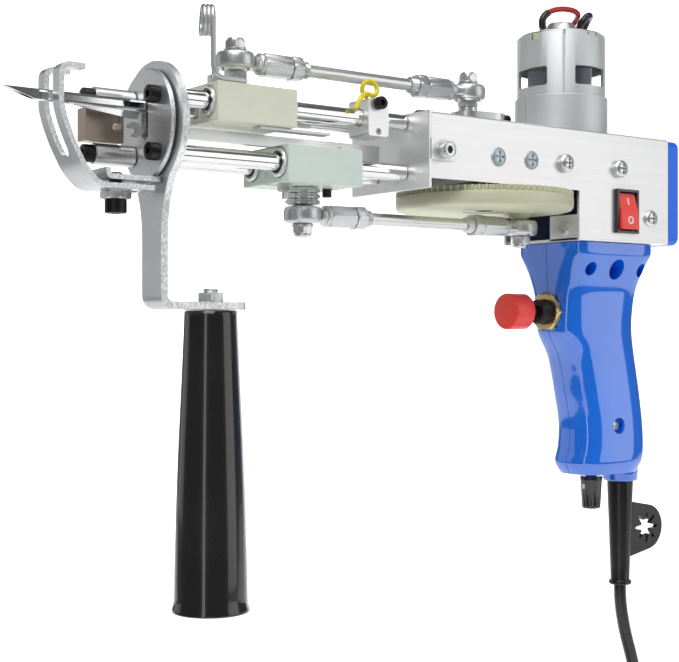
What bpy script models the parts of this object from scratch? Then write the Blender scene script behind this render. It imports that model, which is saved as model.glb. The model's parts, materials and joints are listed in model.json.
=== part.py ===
"""Handheld tufting machine, modelled as an assembly of separate pieces.

All lengths are metres. The machine frame has X running rearwards from the
front handle's axis, Y across it (the near side is -Y) and Z up from the level
of the upper grip. The root empty shifts that frame, so that the model's own
origin lies at the middle of the rear grip, where a hand holds it.
"""

import math

import bmesh
import bpy
from mathutils import Matrix, Vector

# Clearances, and the overrun that every cutter has past what it cuts
SEAT = 0.0003
RUNNING_GAP = 0.0003
OVERRUN = 0.002
WELD_DISTANCE = 0.000002
SHARP_ANGLE = math.radians(34)

# Crank train: the sliding blocks keep their place, and all that lies behind follows the crank's axis
UPPER_BLOCK_X = 0.0115
LINK_LENGTH = 0.1250
NEEDLE_THROW = 0.0100
CUTTER_THROW = 0.0230
CRANK_AXIS_X = UPPER_BLOCK_X + LINK_LENGTH + NEEDLE_THROW
LOWER_BLOCK_X = UPPER_BLOCK_X + NEEDLE_THROW + CUTTER_THROW
GEAR_MODULE = 0.0010
GEAR_TEETH = 80
PINION_TEETH = 20
TOOTH_TIP_WIDTH = 0.0006
TOOTH_ROOT_WIDTH = 0.0018
DEDENDUM = 0.00125
GEAR_BOTTOM_Z = 0.0565
GEAR_THICKNESS = 0.0064
PINION_THICKNESS = 0.0080
MOTOR_AXIS_X = CRANK_AXIS_X + GEAR_MODULE * (GEAR_TEETH + PINION_TEETH) / 2

# Where the hand holds the machine: the model's origin
GRIP_HOLD_FROM_CRANK = 0.0735
GRIP_HOLD_X = CRANK_AXIS_X + GRIP_HOLD_FROM_CRANK
GRIP_HOLD_Z = -0.0300

# Guide rods
ROD_RADIUS = 0.0036
ROD_SPREAD = 0.0102
UPPER_ROD_Z = 0.0901
LOWER_ROD_Z = 0.0684
ROD_FRONT_X = -0.0235

# Sliding blocks
BLOCK_LENGTH = 0.0370
BLOCK_HALF_WIDTH = 0.0174
BLOCK_HEIGHT = 0.0152
ROD_BELOW_TOP = 0.0070
BLOCK_EDGE = 0.0008
BUSH_RADIUS = 0.0060
BUSH_PROUD = 0.0014
BUSH_STEP = 0.0010
BUSH_STEP_RADIUS = 0.0052

# Rod ends and link rods
EYE_RADIUS = 0.0080
EYE_HALF = 0.0032
BALL_RADIUS = 0.0056
BALL_HALF = 0.0040
NECK_HALF_WIDTH = 0.0036
SHANK_FROM = 0.0105
SHANK_TO = 0.0258
SHANK_FLATS = 0.0090
JAM_NUT_FROM = 0.0261
JAM_NUT_TO = 0.0313
JAM_NUT_FLATS = 0.0095
STUB_TO = 0.0350
STUB_RADIUS = 0.0036
LINK_ROD_RADIUS = 0.0027
UPPER_LINK_Z = 0.1093
LOWER_LINK_Z = 0.0487
PIN_RADIUS = 0.0025
PIN_HEAD_FLATS = 0.0080
PIN_HEAD_HEIGHT = 0.0044
PIN_WASHER_RADIUS = 0.0046
PIN_WASHER_HEIGHT = 0.0010
UPPER_SPACER_FLATS = 0.0080
LOWER_SPACER_FLATS = 0.0128
LOWER_SPACER_RINGS = 3
SPACER_GROOVE = 0.0004
SPACER_COLLAR_RADIUS = 0.0044

# Locking screws and cap screws in the sliding blocks
LOCK_SCREW_RADIUS = 0.0015
LOCK_NUT_FLATS = 0.0055
LOCK_NUT_HEIGHT = 0.0034
LOCK_SCREW_LENGTH = 0.0064
LOCK_SCREW_INSET_X = 0.0040
LOCK_SCREW_OFFSET_Y = -0.0085
LOWER_STUD_RADIUS = 0.0021
LOWER_STUD_HEIGHT = 0.0036
LOWER_STUD_FROM_BLOCK = 0.0125
LOWER_STUD_X = LOWER_BLOCK_X + LOWER_STUD_FROM_BLOCK
LOWER_DOME_RADIUS = 0.0029
LOWER_DOME_HEIGHT = 0.0020
LOWER_DOME_FROM_BLOCK = 0.0165
LOWER_DOME_X = LOWER_BLOCK_X + LOWER_DOME_FROM_BLOCK
LOWER_DOME_Y = -0.0060

# Front disc and front bracket
DISC_FRONT_X = -0.0296
DISC_THICKNESS = 0.0020
DISC_RADIUS = 0.0215
DISC_Z = 0.0800
DISC_GAP = 0.0009
BRACKET_THICKNESS = 0.0030
BRACKET_RADIUS = 0.0248
SLOT_HALF_WIDTH = 0.0026
SLOT_BOTTOM_Z = 0.0738
SLOT_TOP_Z = 0.0902
TAB_LENGTH = 0.0200
TAB_HALF_WIDTH = 0.0093
TAB_THICKNESS = 0.0020
TAB_TOP_Z = 0.0590
TAB_LIP = 0.0022
ARM_HALF_WIDTH = 0.0078
FLANGE_TOP_Z = 0.0115
FLANGE_REAR_X = 0.0130
BEND_RADIUS = 0.0045
DISC_EDGE = 0.0005

# Screws in the disc
DISC_SCREW_RADIUS = 0.0020
CAP_HEAD_RADIUS = 0.0035
CAP_HEAD_HEIGHT = 0.0040
SOCKET_RADIUS = 0.0017
SOCKET_DEPTH = 0.0018
SPACER_TUBE_LENGTH = 0.0170
SPACER_TUBE_RADIUS = 0.0042
GUIDE_BLOCK_LENGTH = 0.0160
GUIDE_BLOCK_FRONT_X = -0.0515
GUIDE_BLOCK_NEAR_Y = 0.0062
GUIDE_BLOCK_FAR_Y = 0.0136
GUIDE_BLOCK_FRAME = 0.0014
GUIDE_BLOCK_RECESS = 0.0012
GUIDE_HOLE_RADIUS = 0.0017
GUIDE_HOLE_X = -0.0378

# Presser foot
FOOT_THICKNESS = 0.0020
FOOT_HALF_WIDTH = 0.00935
FOOT_SLOT_HALF_WIDTH = 0.0038
FOOT_SLOT_BOTTOM_Z = 0.0646
FOOT_BASE_TOP_Z = 0.0566
FOOT_BASE_REAR_X = -0.0302
FOOT_FRONT_X = -0.0684
FOOT_HOOK_LENGTH = 0.0095
FOOT_TOP_Z = 0.0978
FOOT_BEND_RADIUS = 0.0035
FOOT_HEEL_X = -0.0505
FOOT_SLOPE_TOP_Z = 0.0830
FOOT_SLOPE_SHARES = ((0.0, 0.0), (0.09, 0.20), (0.24, 0.44), (0.52, 0.78), (0.86, 1.0))
FOOT_TRAVEL = 0.0060
FOOT_RETURN = 0.0026
FOOT_SCREW_X = -0.0420
FOOT_SCREW_RADIUS = 0.0025
FOOT_SCREW_HEAD_RADIUS = 0.0042
FOOT_SCREW_HEAD_HEIGHT = 0.0050
FOOT_NUT_FLATS = 0.0080
FOOT_NUT_HEIGHT = 0.0036
FOOT_WASHER_RADIUS = 0.0058
FOOT_WASHER_HEIGHT = 0.0010
FOOT_SLOT_MARGIN = 0.0004

# Needle and the guide wire on the upper block
NEEDLE_TIP_X = -0.0880
NEEDLE_BEVEL_X = -0.0736
NEEDLE_TOP_Z = 0.0892
NEEDLE_HEIGHT = 0.0046
NEEDLE_HALF_WIDTH = 0.0017
NEEDLE_WALL = 0.0006
NEEDLE_SOCKET_DEPTH = 0.0100
NEEDLE_FIN_FRONT_X = -0.0620
NEEDLE_FIN_REAR_X = -0.0330
NEEDLE_FIN_DROP = 0.0030
NEEDLE_FIN_HALF = 0.0004
WIRE_RADIUS = 0.0010
WIRE_LEG_X = -0.0082
WIRE_LEG_Y = -0.0158
WIRE_FOOT_LENGTH = 0.0150
WIRE_BEND_RADIUS = 0.0050
WIRE_LEG_TOP_Z = 0.1214
WIRE_COIL_RADIUS = 0.0053
WIRE_COIL_PITCH = 0.0027
WIRE_COIL_TURNS = 2.6
WIRE_COIL_YAW = math.radians(-18)
WIRE_POINTS_PER_TURN = 9
STRAP_FROM_X = 0.0145
STRAP_TO_X = 0.0490
STRAP_NEAR_Y = -0.0140
STRAP_FAR_Y = -0.0085
STRAP_THICKNESS = 0.0010
STRAP_DROP = 0.0003
STRAP_PAD_INSET = 0.0015

# Cutter bar and blade
BAR_FRONT_X = -0.0270
BAR_TAIL_SHARE = 0.76
BAR_HALF_WIDTH = 0.0015
BAR_HEIGHT = 0.0046
BAR_TAIL_DROP = 0.0060
BLADE_FRONT_X = -0.0372
BLADE_HALF_WIDTH = 0.0007
BLADE_TOP_Z = 0.0805
BLADE_BOTTOM_Z = 0.0747
BLADE_LAP = 0.0060

# Rod clamp and yellow loop
CLAMP_FROM_ROD_END = 0.0240
CLAMP_LENGTH = 0.0106
CLAMP_HALF_WIDTH = 0.0070
CLAMP_TOP_Z = 0.0978
CLAMP_BOTTOM_Z = 0.0820
CLAMP_SLIT_HALF = 0.0005
CLAMP_SCREW_Z = 0.0953
CLAMP_SCREW_HEAD_RADIUS = 0.00275
CLAMP_SCREW_HEAD_HEIGHT = 0.0030
CLAMP_HOLE_RADIUS = 0.0014
CLAMP_HOLE_Z = 0.0840
LOOP_BAND_RADIUS = 0.0010
LOOP_RING_RADIUS = 0.0032
LOOP_TAIL_LENGTH = 0.0062

# Housing: a rectangular aluminium tube, cut away at the front underneath
BOX_FRONT_FROM_CRANK = -0.0541
BOX_FRONT_X = CRANK_AXIS_X + BOX_FRONT_FROM_CRANK
BOX_REAR_FROM_CRANK = 0.0980
BOX_REAR_X = CRANK_AXIS_X + BOX_REAR_FROM_CRANK
BOX_HALF_WIDTH = 0.0255
BOX_TOP_Z = 0.0937
BOX_BOTTOM_Z = 0.0423
BOX_WALL = 0.0014
WINDOW_REAR_FROM_CRANK = 0.0363
WINDOW_REAR_X = CRANK_AXIS_X + WINDOW_REAR_FROM_CRANK
WINDOW_TOP_Z = 0.0653
FLOOR_FRONT_FROM_CRANK = 0.0385
FLOOR_FRONT_X = CRANK_AXIS_X + FLOOR_FRONT_FROM_CRANK
UPSTAND_HEIGHT = 0.0110
UPSTAND_MARGIN = 0.0005
UPSTAND_NEAR_Y = -BOX_HALF_WIDTH + BOX_WALL + UPSTAND_MARGIN
UPSTAND_FAR_Y = -0.0040
SHAFT_HOLE_RADIUS = 0.0070
MOTOR_HOLE_MARGIN = 0.0009
MOTOR_HOLE_RADIUS = BOX_HALF_WIDTH - BOX_WALL - MOTOR_HOLE_MARGIN
COVER_THICKNESS = 0.0072
COVER_RADIUS = 0.0040
COVER_LIP_DEPTH = 0.0170
COVER_LIP_WALL = 0.0014

# Rod holder plate
HOLDER_THICKNESS = 0.0016
HOLDER_HALF_WIDTH = BOX_HALF_WIDTH + SEAT + HOLDER_THICKNESS
HOLDER_TOP_Z = 0.0938
HOLDER_BOTTOM_Z = 0.0608
HOLDER_TAB_TOP_Z = 0.0822
HOLDER_TAB_BOTTOM_Z = 0.0728
HOLDER_TAB_LENGTH = 0.0130
HOLDER_SCREW_FROM_CRANK = -0.0478
HOLDER_SCREW_X = CRANK_AXIS_X + HOLDER_SCREW_FROM_CRANK
HOLDER_SCREW_WASHER_RADIUS = 0.0046
HOLDER_SCREW_WASHER_HEIGHT = 0.0008
HOLDER_DOME_Y = -0.0130
HOLDER_DOME_RADIUS = 0.0034
HOLDER_DOME_HEIGHT = 0.0022
HOLDER_LEDGE_LENGTH = 0.0110

# What ends at the rod holder plate, or is measured from it
ROD_REAR_X = BOX_FRONT_X - HOLDER_THICKNESS - 2 * SEAT
CLAMP_FROM_X = ROD_REAR_X - CLAMP_FROM_ROD_END
CLAMP_TO_X = CLAMP_FROM_X + CLAMP_LENGTH
LOOP_TAIL_X = CLAMP_FROM_X - LOOP_TAIL_LENGTH

# Bearing block and main shaft
BEARING_FROM_FROM_CRANK = -0.0205
BEARING_FROM_X = CRANK_AXIS_X + BEARING_FROM_FROM_CRANK
BEARING_TO_FROM_CRANK = 0.0145
BEARING_TO_X = CRANK_AXIS_X + BEARING_TO_FROM_CRANK
BEARING_BOTTOM_Z = 0.0665
BEARING_TOP_Z = 0.0880
BEARING_SCREW_FRONT_FROM_CRANK = -0.0145
BEARING_SCREW_FRONT_X = CRANK_AXIS_X + BEARING_SCREW_FRONT_FROM_CRANK
BEARING_SCREW_REAR_FROM_CRANK = 0.0055
BEARING_SCREW_REAR_X = CRANK_AXIS_X + BEARING_SCREW_REAR_FROM_CRANK
SIDE_SCREW_Z = 0.0770
FLAT_HEAD_RADIUS = 0.0042
FLAT_HEAD_PROUD = 0.0005
SIDE_SCREW_RADIUS = 0.0020
SHAFT_RADIUS = 0.0040
SHAFT_BOTTOM_Z = 0.0566
SHAFT_TOP_Z = 0.1000
SHAFT_COLLAR_RADIUS = 0.0062

# Upper crank
CRANK_BOTTOM_Z = 0.0950
CRANK_HEIGHT = 0.0050
CRANK_HUB_RADIUS = 0.0100
CRANK_END_RADIUS = 0.0080
CRANK_SLIT_HALF = 0.0006
CRANK_SCREW_OFFSET = 0.0066
CRANK_SCREW_RADIUS = 0.0014
CRANK_SCREW_HEAD_RADIUS = 0.0021
CRANK_SCREW_HEAD_HEIGHT = 0.0026

# Motor
MOTOR_BOTTOM_Z = 0.0760
MOTOR_TOP_Z = 0.1415
FLUX_GAP = 0.00095
FLUX_RADIUS = MOTOR_HOLE_RADIUS - FLUX_GAP
FLUX_THICKNESS = 0.0011
MOTOR_RADIUS = FLUX_RADIUS - FLUX_THICKNESS
MOTOR_WALL = 0.0012
MOTOR_EDGE = 0.0018
VENT_TOP_Z = 0.1252
VENT_BOTTOM_Z = 0.1163
VENT_HALF_WIDTH = 0.0096
VENT_COUNT = 4
FLUX_TOP_Z = 0.1118
FLUX_ABOVE_BASE = 0.0090
FLUX_BOTTOM_Z = MOTOR_BOTTOM_Z + FLUX_ABOVE_BASE
FLUX_SEAM_HALF = 0.0004
FLUX_SEAM_DEPTH = 0.0005
CAP_PLATE_THICKNESS = 0.0016
CAP_BOSS_RADIUS = 0.0070
CAP_BOSS_HEIGHT = 0.0056
TERMINAL_OFFSET = 0.0150
TERMINAL_HALF_LENGTH = 0.0028
TERMINAL_HALF_WIDTH = 0.0016
TERMINAL_HEIGHT = 0.0043
ARMATURE_MARGIN = 0.00415
ARMATURE_RADIUS = MOTOR_RADIUS - ARMATURE_MARGIN
ARMATURE_BOTTOM_Z = 0.0840
ARMATURE_TOP_Z = 0.1080
FAN_MARGIN = 0.0005
FAN_RADIUS = ARMATURE_RADIUS - FAN_MARGIN
FAN_TOP_Z = 0.1260
FAN_HUB_RADIUS = 0.0060
FAN_BLADES = 5
FAN_BLADE_HALF = 0.0006
MOTOR_SHAFT_RADIUS = 0.0025
MOTOR_SHAFT_BOTTOM_Z = 0.0540
MOTOR_SHAFT_TOP_Z = 0.1440
MOTOR_NOSE_RADIUS = 0.0087
MOTOR_NOSE_HEIGHT = 0.0030

# Motor mount
MOUNT_FROM_FROM_CRANK = 0.0195
MOUNT_FROM_X = CRANK_AXIS_X + MOUNT_FROM_FROM_CRANK
MOUNT_TO_FROM_CRANK = 0.0705
MOUNT_TO_X = CRANK_AXIS_X + MOUNT_TO_FROM_CRANK
MOUNT_THICKNESS = 0.0022
MOUNT_FLANGE_HEIGHT = 0.0065
MOUNT_FLANGE_TOP_Z = MOTOR_BOTTOM_Z + MOUNT_FLANGE_HEIGHT
MOUNT_SCREW_FRONT_FROM_CRANK = 0.0263
MOUNT_SCREW_FRONT_X = CRANK_AXIS_X + MOUNT_SCREW_FRONT_FROM_CRANK
MOUNT_SCREW_REAR_FROM_CRANK = 0.0625
MOUNT_SCREW_REAR_X = CRANK_AXIS_X + MOUNT_SCREW_REAR_FROM_CRANK
PAN_HEAD_RADIUS = 0.0041
PAN_HEAD_HEIGHT = 0.0026
SPRING_WASHER_RADIUS = 0.0035
SPRING_WASHER_HEIGHT = 0.0012

# Rocker switch on the near wall
ROCKER_CENTRE_FROM_CRANK = 0.0675
ROCKER_CENTRE_X = CRANK_AXIS_X + ROCKER_CENTRE_FROM_CRANK
ROCKER_CENTRE_Z = 0.0570
ROCKER_FRAME_HALF_LENGTH = 0.0105
ROCKER_FRAME_HALF_WIDTH = 0.0075
ROCKER_FRAME_PROUD = 0.0020
ROCKER_BODY_DEPTH = 0.0120
ROCKER_BODY_MARGIN = 0.0010
ROCKER_KEY_HALF_LENGTH = 0.0084
ROCKER_KEY_HALF_WIDTH = 0.0054
ROCKER_KEY_PROUD = 0.0034
ROCKER_TILT = math.radians(11)
ROCKER_POCKET_DEPTH = 0.0062

# Wires between the motor and the inside of the housing
WIRE_LEAD_RADIUS = 0.0013
LEAD_END_Y = -BOX_HALF_WIDTH + ROCKER_BODY_DEPTH + SEAT
LEAD_STRAIGHT = 0.0024
# Routes of the two motor leads: X from the motor's axis, Y and Z, chosen by hand
RED_LEAD_ROUTE = (
    (-0.0150, -0.0030, 0.1480),
    (-0.0150, -0.0030, 0.1498),
    (-0.0136, -0.0034, 0.1518),
    (-0.0100, -0.0040, 0.1532),
    (-0.0040, -0.0035, 0.1540),
    (0.0030, -0.0010, 0.1540),
    (0.0090, 0.0040, 0.1530),
    (0.0130, 0.0100, 0.1505),
    (0.0150, 0.0160, 0.1460),
    (0.0154, 0.0196, 0.1390),
    (0.0152, 0.0206, 0.1300),
    (0.0152, 0.0206, 0.1150),
    (0.0152, 0.0206, 0.1050),
    (0.0158, 0.0202, 0.1005),
    (0.0188, 0.0170, 0.0973),
    (0.0238, 0.0080, 0.0962),
    (0.0286, 0.0006, 0.0956),
    (0.0304, -0.0020, 0.0926),
    (0.0300, -0.0046, 0.0840),
    (0.0290, -0.0062, 0.0760),
    (0.0268, -0.0074, 0.0670),
    (0.0238, -0.0088, 0.0600),
    (0.0225, LEAD_END_Y + LEAD_STRAIGHT, 0.0570),
    (0.0225, LEAD_END_Y, 0.0570),
)
BLACK_LEAD_ROUTE = (
    (0.0150, 0.0030, 0.1480),
    (0.0150, 0.0030, 0.1498),
    (0.0170, 0.0036, 0.1520),
    (0.0200, 0.0056, 0.1530),
    (0.0224, 0.0092, 0.1508),
    (0.0226, 0.0124, 0.1460),
    (0.0214, 0.0146, 0.1390),
    (0.0208, 0.0156, 0.1300),
    (0.0208, 0.0156, 0.1150),
    (0.0208, 0.0156, 0.1060),
    (0.0218, 0.0142, 0.1022),
    (0.0260, 0.0104, 0.0998),
    (0.0315, 0.0060, 0.0984),
    (0.0346, 0.0016, 0.0968),
    (0.0344, -0.0020, 0.0934),
    (0.0335, -0.0024, 0.0880),
    (0.0326, -0.0024, 0.0780),
    (0.0290, -0.0032, 0.0690),
    (0.0220, -0.0046, 0.0620),
    (0.0155, -0.0070, 0.0582),
    (0.0125, LEAD_END_Y + LEAD_STRAIGHT, 0.0570),
    (0.0125, LEAD_END_Y, 0.0570),
)
LEAD_STEP = 0.0078
LEAD_HOLE_RADIUS = 0.0060
LEAD_HOLE_FROM_CRANK = 0.0818
LEAD_HOLE_X = CRANK_AXIS_X + LEAD_HOLE_FROM_CRANK
LEAD_HOLE_Y = -0.0030

# Front handle
HANDLE_TOP_Z = 0.0082
HANDLE_BOTTOM_Z = -0.1120
HANDLE_TOP_RADIUS = 0.0104
HANDLE_BOTTOM_RADIUS = 0.0147
HANDLE_FOOT_RADIUS = 0.0157
HANDLE_FOOT_HEIGHT = 0.0050
HANDLE_SHOULDER = 0.0030
HANDLE_BOLT_RADIUS = 0.0030
HANDLE_BOLT_TOP_Z = 0.0168
HANDLE_NUT_FLATS = 0.0100
HANDLE_NUT_HEIGHT = 0.0034

# Rear grip: stations of its closed shells, from the top flange down
GRIP_TOP_Z = 0.0420
GRIP_FLANGE_HEIGHT = 0.0040
GRIP_FLANGE_FRONT_FROM_CRANK = 0.0400
GRIP_FLANGE_FRONT_X = CRANK_AXIS_X + GRIP_FLANGE_FRONT_FROM_CRANK
GRIP_FLANGE_REAR_FROM_CRANK = 0.0940
GRIP_FLANGE_REAR_X = CRANK_AXIS_X + GRIP_FLANGE_REAR_FROM_CRANK
GRIP_FLANGE_HALF_WIDTH = 0.0226
GRIP_WALL = 0.0026
GRIP_BOTTOM_Z = -0.0700
# Each station: height share from the bottom to the flange, front and rear shares of the
# flange's length, width share of the flange's half width, and how square the section is
GRIP_STATION_SHARES = (
    (1.000, 0.000, 1.000, 1.000, 6.0),
    (0.889, 0.013, 0.976, 0.841, 4.0),
    (0.815, 0.019, 0.965, 0.743, 3.4),
    (0.722, 0.022, 0.961, 0.699, 3.0),
    (0.639, 0.028, 0.969, 0.673, 2.9),
    (0.546, 0.135, 0.994, 0.650, 2.7),
    (0.463, 0.185, 1.028, 0.646, 2.6),
    (0.361, 0.230, 1.069, 0.646, 2.6),
    (0.231, 0.283, 1.106, 0.650, 2.6),
    (0.130, 0.276, 1.117, 0.664, 2.7),
    (0.056, 0.235, 1.102, 0.673, 2.8),
    (0.000, 0.294, 1.028, 0.593, 2.8),
)
GRIP_SIDES = 16
GRIP_SEAM_SHARE = 0.5
GRIP_PARTING = 0.00015
GRIP_BOSS_FROM_CRANK = 0.0918
GRIP_BOSS_X = CRANK_AXIS_X + GRIP_BOSS_FROM_CRANK
GRIP_BOSS_RADIUS = 0.0075
GRIP_BOSS_BOTTOM_Z = -0.0750
GRIP_SCREW_FROM_CRANK = 0.0753
GRIP_SCREW_X = CRANK_AXIS_X + GRIP_SCREW_FROM_CRANK
GRIP_SCREW_Z = -0.0463
GRIP_SCREW_WELL_RADIUS = 0.0040
GRIP_SCREW_WELL_DEPTH = 0.0040
GRIP_SCREW_HEAD_RADIUS = 0.0027
GRIP_SCREW_HEAD_HEIGHT = 0.0018
GRIP_SCREW_SHANK_RADIUS = 0.0013
WELL_Z = 0.0296
WELL_FRONT_FROM_CRANK = 0.0508
WELL_FRONT_X = CRANK_AXIS_X + WELL_FRONT_FROM_CRANK
WELL_MIDDLE_FROM_CRANK = 0.0680
WELL_MIDDLE_X = CRANK_AXIS_X + WELL_MIDDLE_FROM_CRANK
WELL_REAR_FROM_CRANK = 0.0861
WELL_REAR_X = CRANK_AXIS_X + WELL_REAR_FROM_CRANK
WELL_SMALL_RADIUS = 0.0032
WELL_LARGE_RADIUS = 0.0048
WELL_DEPTH = 0.0080

# Trigger button on the grip's front
TRIGGER_Z = 0.0092
TRIGGER_CAP_RADIUS = 0.0085
TRIGGER_CAP_FRONT_FROM_CRANK = 0.0135
TRIGGER_CAP_FRONT_X = CRANK_AXIS_X + TRIGGER_CAP_FRONT_FROM_CRANK
TRIGGER_CAP_LENGTH = 0.0115
TRIGGER_STEM_RADIUS = 0.0026
TRIGGER_TRAVEL = 0.0040
BUSHING_FRONT_FROM_CRANK = 0.0330
BUSHING_FRONT_X = CRANK_AXIS_X + BUSHING_FRONT_FROM_CRANK
BUSHING_RADIUS = 0.0058
BUSHING_REAR_FROM_CRANK = 0.0565
BUSHING_REAR_X = CRANK_AXIS_X + BUSHING_REAR_FROM_CRANK
BUSHING_BORE_RADIUS = 0.0030
TRIGGER_NUT_FLATS = 0.0158
TRIGGER_NUT_THICKNESS = 0.0028
GRIP_TRIGGER_SEAT_FROM_CRANK = 0.0419
GRIP_TRIGGER_SEAT_X = CRANK_AXIS_X + GRIP_TRIGGER_SEAT_FROM_CRANK
GRIP_TRIGGER_SEAT_RADIUS = 0.0096

# Speed knob below the grip
KNOB_FROM_CRANK = 0.0710
KNOB_X = CRANK_AXIS_X + KNOB_FROM_CRANK
KNOB_TOP_Z = -0.0715
KNOB_LENGTH = 0.0160
KNOB_TOP_RADIUS = 0.0055
KNOB_BOTTOM_RADIUS = 0.0045
KNOB_POINTER_HALF = 0.0006
KNOB_SHAFT_RADIUS = 0.0020
KNOB_SHAFT_TOP_Z = -0.0600
KNOB_BUSH_RADIUS = 0.0036

# Strain relief, its tag, and the cord
RELIEF_TOP_Z = -0.0753
RELIEF_BOTTOM_Z = -0.1272
RELIEF_TOP_RADIUS = 0.0065
RELIEF_BOTTOM_RADIUS = 0.0046
RELIEF_RING_RADIUS = 0.0056
RELIEF_RING_HEIGHT = 0.0022
TAG_HALF_THICKNESS = 0.0014
TAG_ROOT_HALF = 0.0150
TAG_END_RADIUS = 0.0114
TAG_END_ANGLE = math.radians(78)
TAG_END_STEPS = 9
TAG_REAR_FROM_CRANK = 0.1217
TAG_REAR_X = CRANK_AXIS_X + TAG_REAR_FROM_CRANK
TAG_HOLE_FROM_CRANK = 0.1100
TAG_HOLE_X = CRANK_AXIS_X + TAG_HOLE_FROM_CRANK
TAG_HOLE_Z = -0.1000
TAG_HOLE_OUTER = 0.0065
TAG_HOLE_INNER = 0.0038
TAG_HOLE_POINTS = 8
CORD_RADIUS = 0.0030
# The cord's route below the strain relief: X from the relief's axis, and Z, chosen by hand
CORD_ROUTE = (
    (0.0000, -0.1275),
    (0.0001, -0.1335),
    (0.0011, -0.1410),
    (0.0038, -0.1520),
    (0.0073, -0.1620),
    (0.0108, -0.1730),
    (0.0135, -0.1850),
    (0.0150, -0.1970),
    (0.0155, -0.2080),
    (0.0155, -0.2160),
)
CORD_STEP = 0.0060
COIL_TOP_RADIUS = 0.0435
COIL_PITCH = 0.0067
COIL_TURNS = 3
COIL_LAYER_PITCH = 0.0067
COIL_LOOP_POINTS = 15
COIL_CLIMB_TURNS = 0.5
COIL_TAIL = 0.0200
SOCKET_LENGTH = 0.0340
SOCKET_BODY_RADIUS = 0.0055
SOCKET_NECK_RADIUS = 0.0042
SOCKET_NECK_LENGTH = 0.0080
SOCKET_PORT_RADIUS = 0.0028
SOCKET_PORT_DEPTH = 0.0100

# Facets round a circle, by the size of the piece
FINE = 24
ROUND = 16
SMALL = 10
TINY = 8

# Small values shared by several pieces
SINK = 0.0005
ROD_CHAMFER = 0.0004
BEND_STEPS = 4
BOX_EDGE = 0.0010
COVER_RIM_DEPTH = 0.0030
COVER_SCREW_INSET = 0.0131
COVER_SCREW_Z = 0.0544
COVER_TONGUE_HALF = 0.0080
FOOT_SCREW_TIP = 0.0015
HANDLE_SWELL_SHARES = ((0.0, 0.06), (0.22, 0.31), (0.45, 0.60), (0.7, 0.85), (1.0, 1.0))
PIN_DEPTH = 0.0050
BALL_STEPS = 2
UPPER_NUT_SHARE = 0.4
FLUSH_SCREW_SHARE = 0.28
FLUSH_SCREW_Y = -0.0020
SHANK_BORE_DEPTH = 0.0060
NEEDLE_ROUND_SHARE = 0.75
NEEDLE_MOUTH_LENGTH = 0.0120
BAR_TAIL_GAP = 0.0010
BLADE_OUTLINE_SHARES = (
    (1.00, 0.34), (0.72, 0.30), (0.56, 0.14), (0.38, 0.0), (0.20, 0.04), (0.24, 0.22), (0.36, 0.34),
    (0.34, 0.52), (0.22, 0.58), (0.10, 0.52), (0.0, 0.62), (0.06, 0.84), (0.20, 1.0), (0.38, 0.96),
    (0.54, 0.78), (0.72, 0.68), (1.00, 0.70),
)
BLADE_TANG_LOW_SHARE = 0.38
BLADE_TANG_HIGH_SHARE = 0.66
WIRE_BEND_STEPS = 3
LOOP_STEPS = 12
LOOP_SIDE_STEP = 0.0036
ADDENDUM = 0.0009
CRANK_SCREW_SEAT = 0.0072
CAP_PLUG_DEPTH = 0.0030
ARMATURE_GAP = 0.0020
PINION_HUB_RADIUS = 0.0062
PINION_HUB_HEIGHT = 0.0040
ROCKER_PIVOT_DEPTH = 0.0012
ROCKER_KEY_SHARES = (
    (-1.0, 0.30), (-0.5, 0.34), (0.0, 0.62), (0.5, 0.34), (1.0, 0.30), (0.88, -0.88), (-0.88, -0.88),
)
GRIP_SCREW_WIDTH_SHARE = 0.65
TRIGGER_CAP_SHARES = (
    (1.0, 1.0), (1.0, 0.30), (0.94, 0.14), (0.80, 0.04), (0.60, 0.0), (0.0, 0.0),
)

# Shares of a dome's radius and height, from its crown to its rim
DOME_SHARES = ((0.0, 1.0), (0.6, 0.84), (1.0, 0.0))
LARGE_SPAN = 1.0


def clear_scene():
    """Removes every object that the scene holds."""
    for item in list(bpy.data.objects):
        bpy.data.objects.remove(item, do_unlink=True)


def add_solid(vertices, faces):
    """Makes a mesh object, with its faces turned outwards."""
    mesh = bpy.data.meshes.new("solid")
    mesh.from_pydata(vertices, [], faces)
    shape = bmesh.new()
    shape.from_mesh(mesh)
    bmesh.ops.recalc_face_normals(shape, faces=shape.faces)
    shape.to_mesh(mesh)
    shape.free()
    item = bpy.data.objects.new("solid", mesh)
    bpy.context.scene.collection.objects.link(item)
    return item


def box(low, high):
    """Box between two opposite corners."""
    vertices = []
    for x in (low[0], high[0]):
        for y in (low[1], high[1]):
            for z in (low[2], high[2]):
                vertices.append((x, y, z))
    faces = [(0, 1, 3, 2), (4, 6, 7, 5), (0, 4, 5, 1), (2, 3, 7, 6), (0, 2, 6, 4), (1, 5, 7, 3)]
    return add_solid(vertices, faces)


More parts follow.
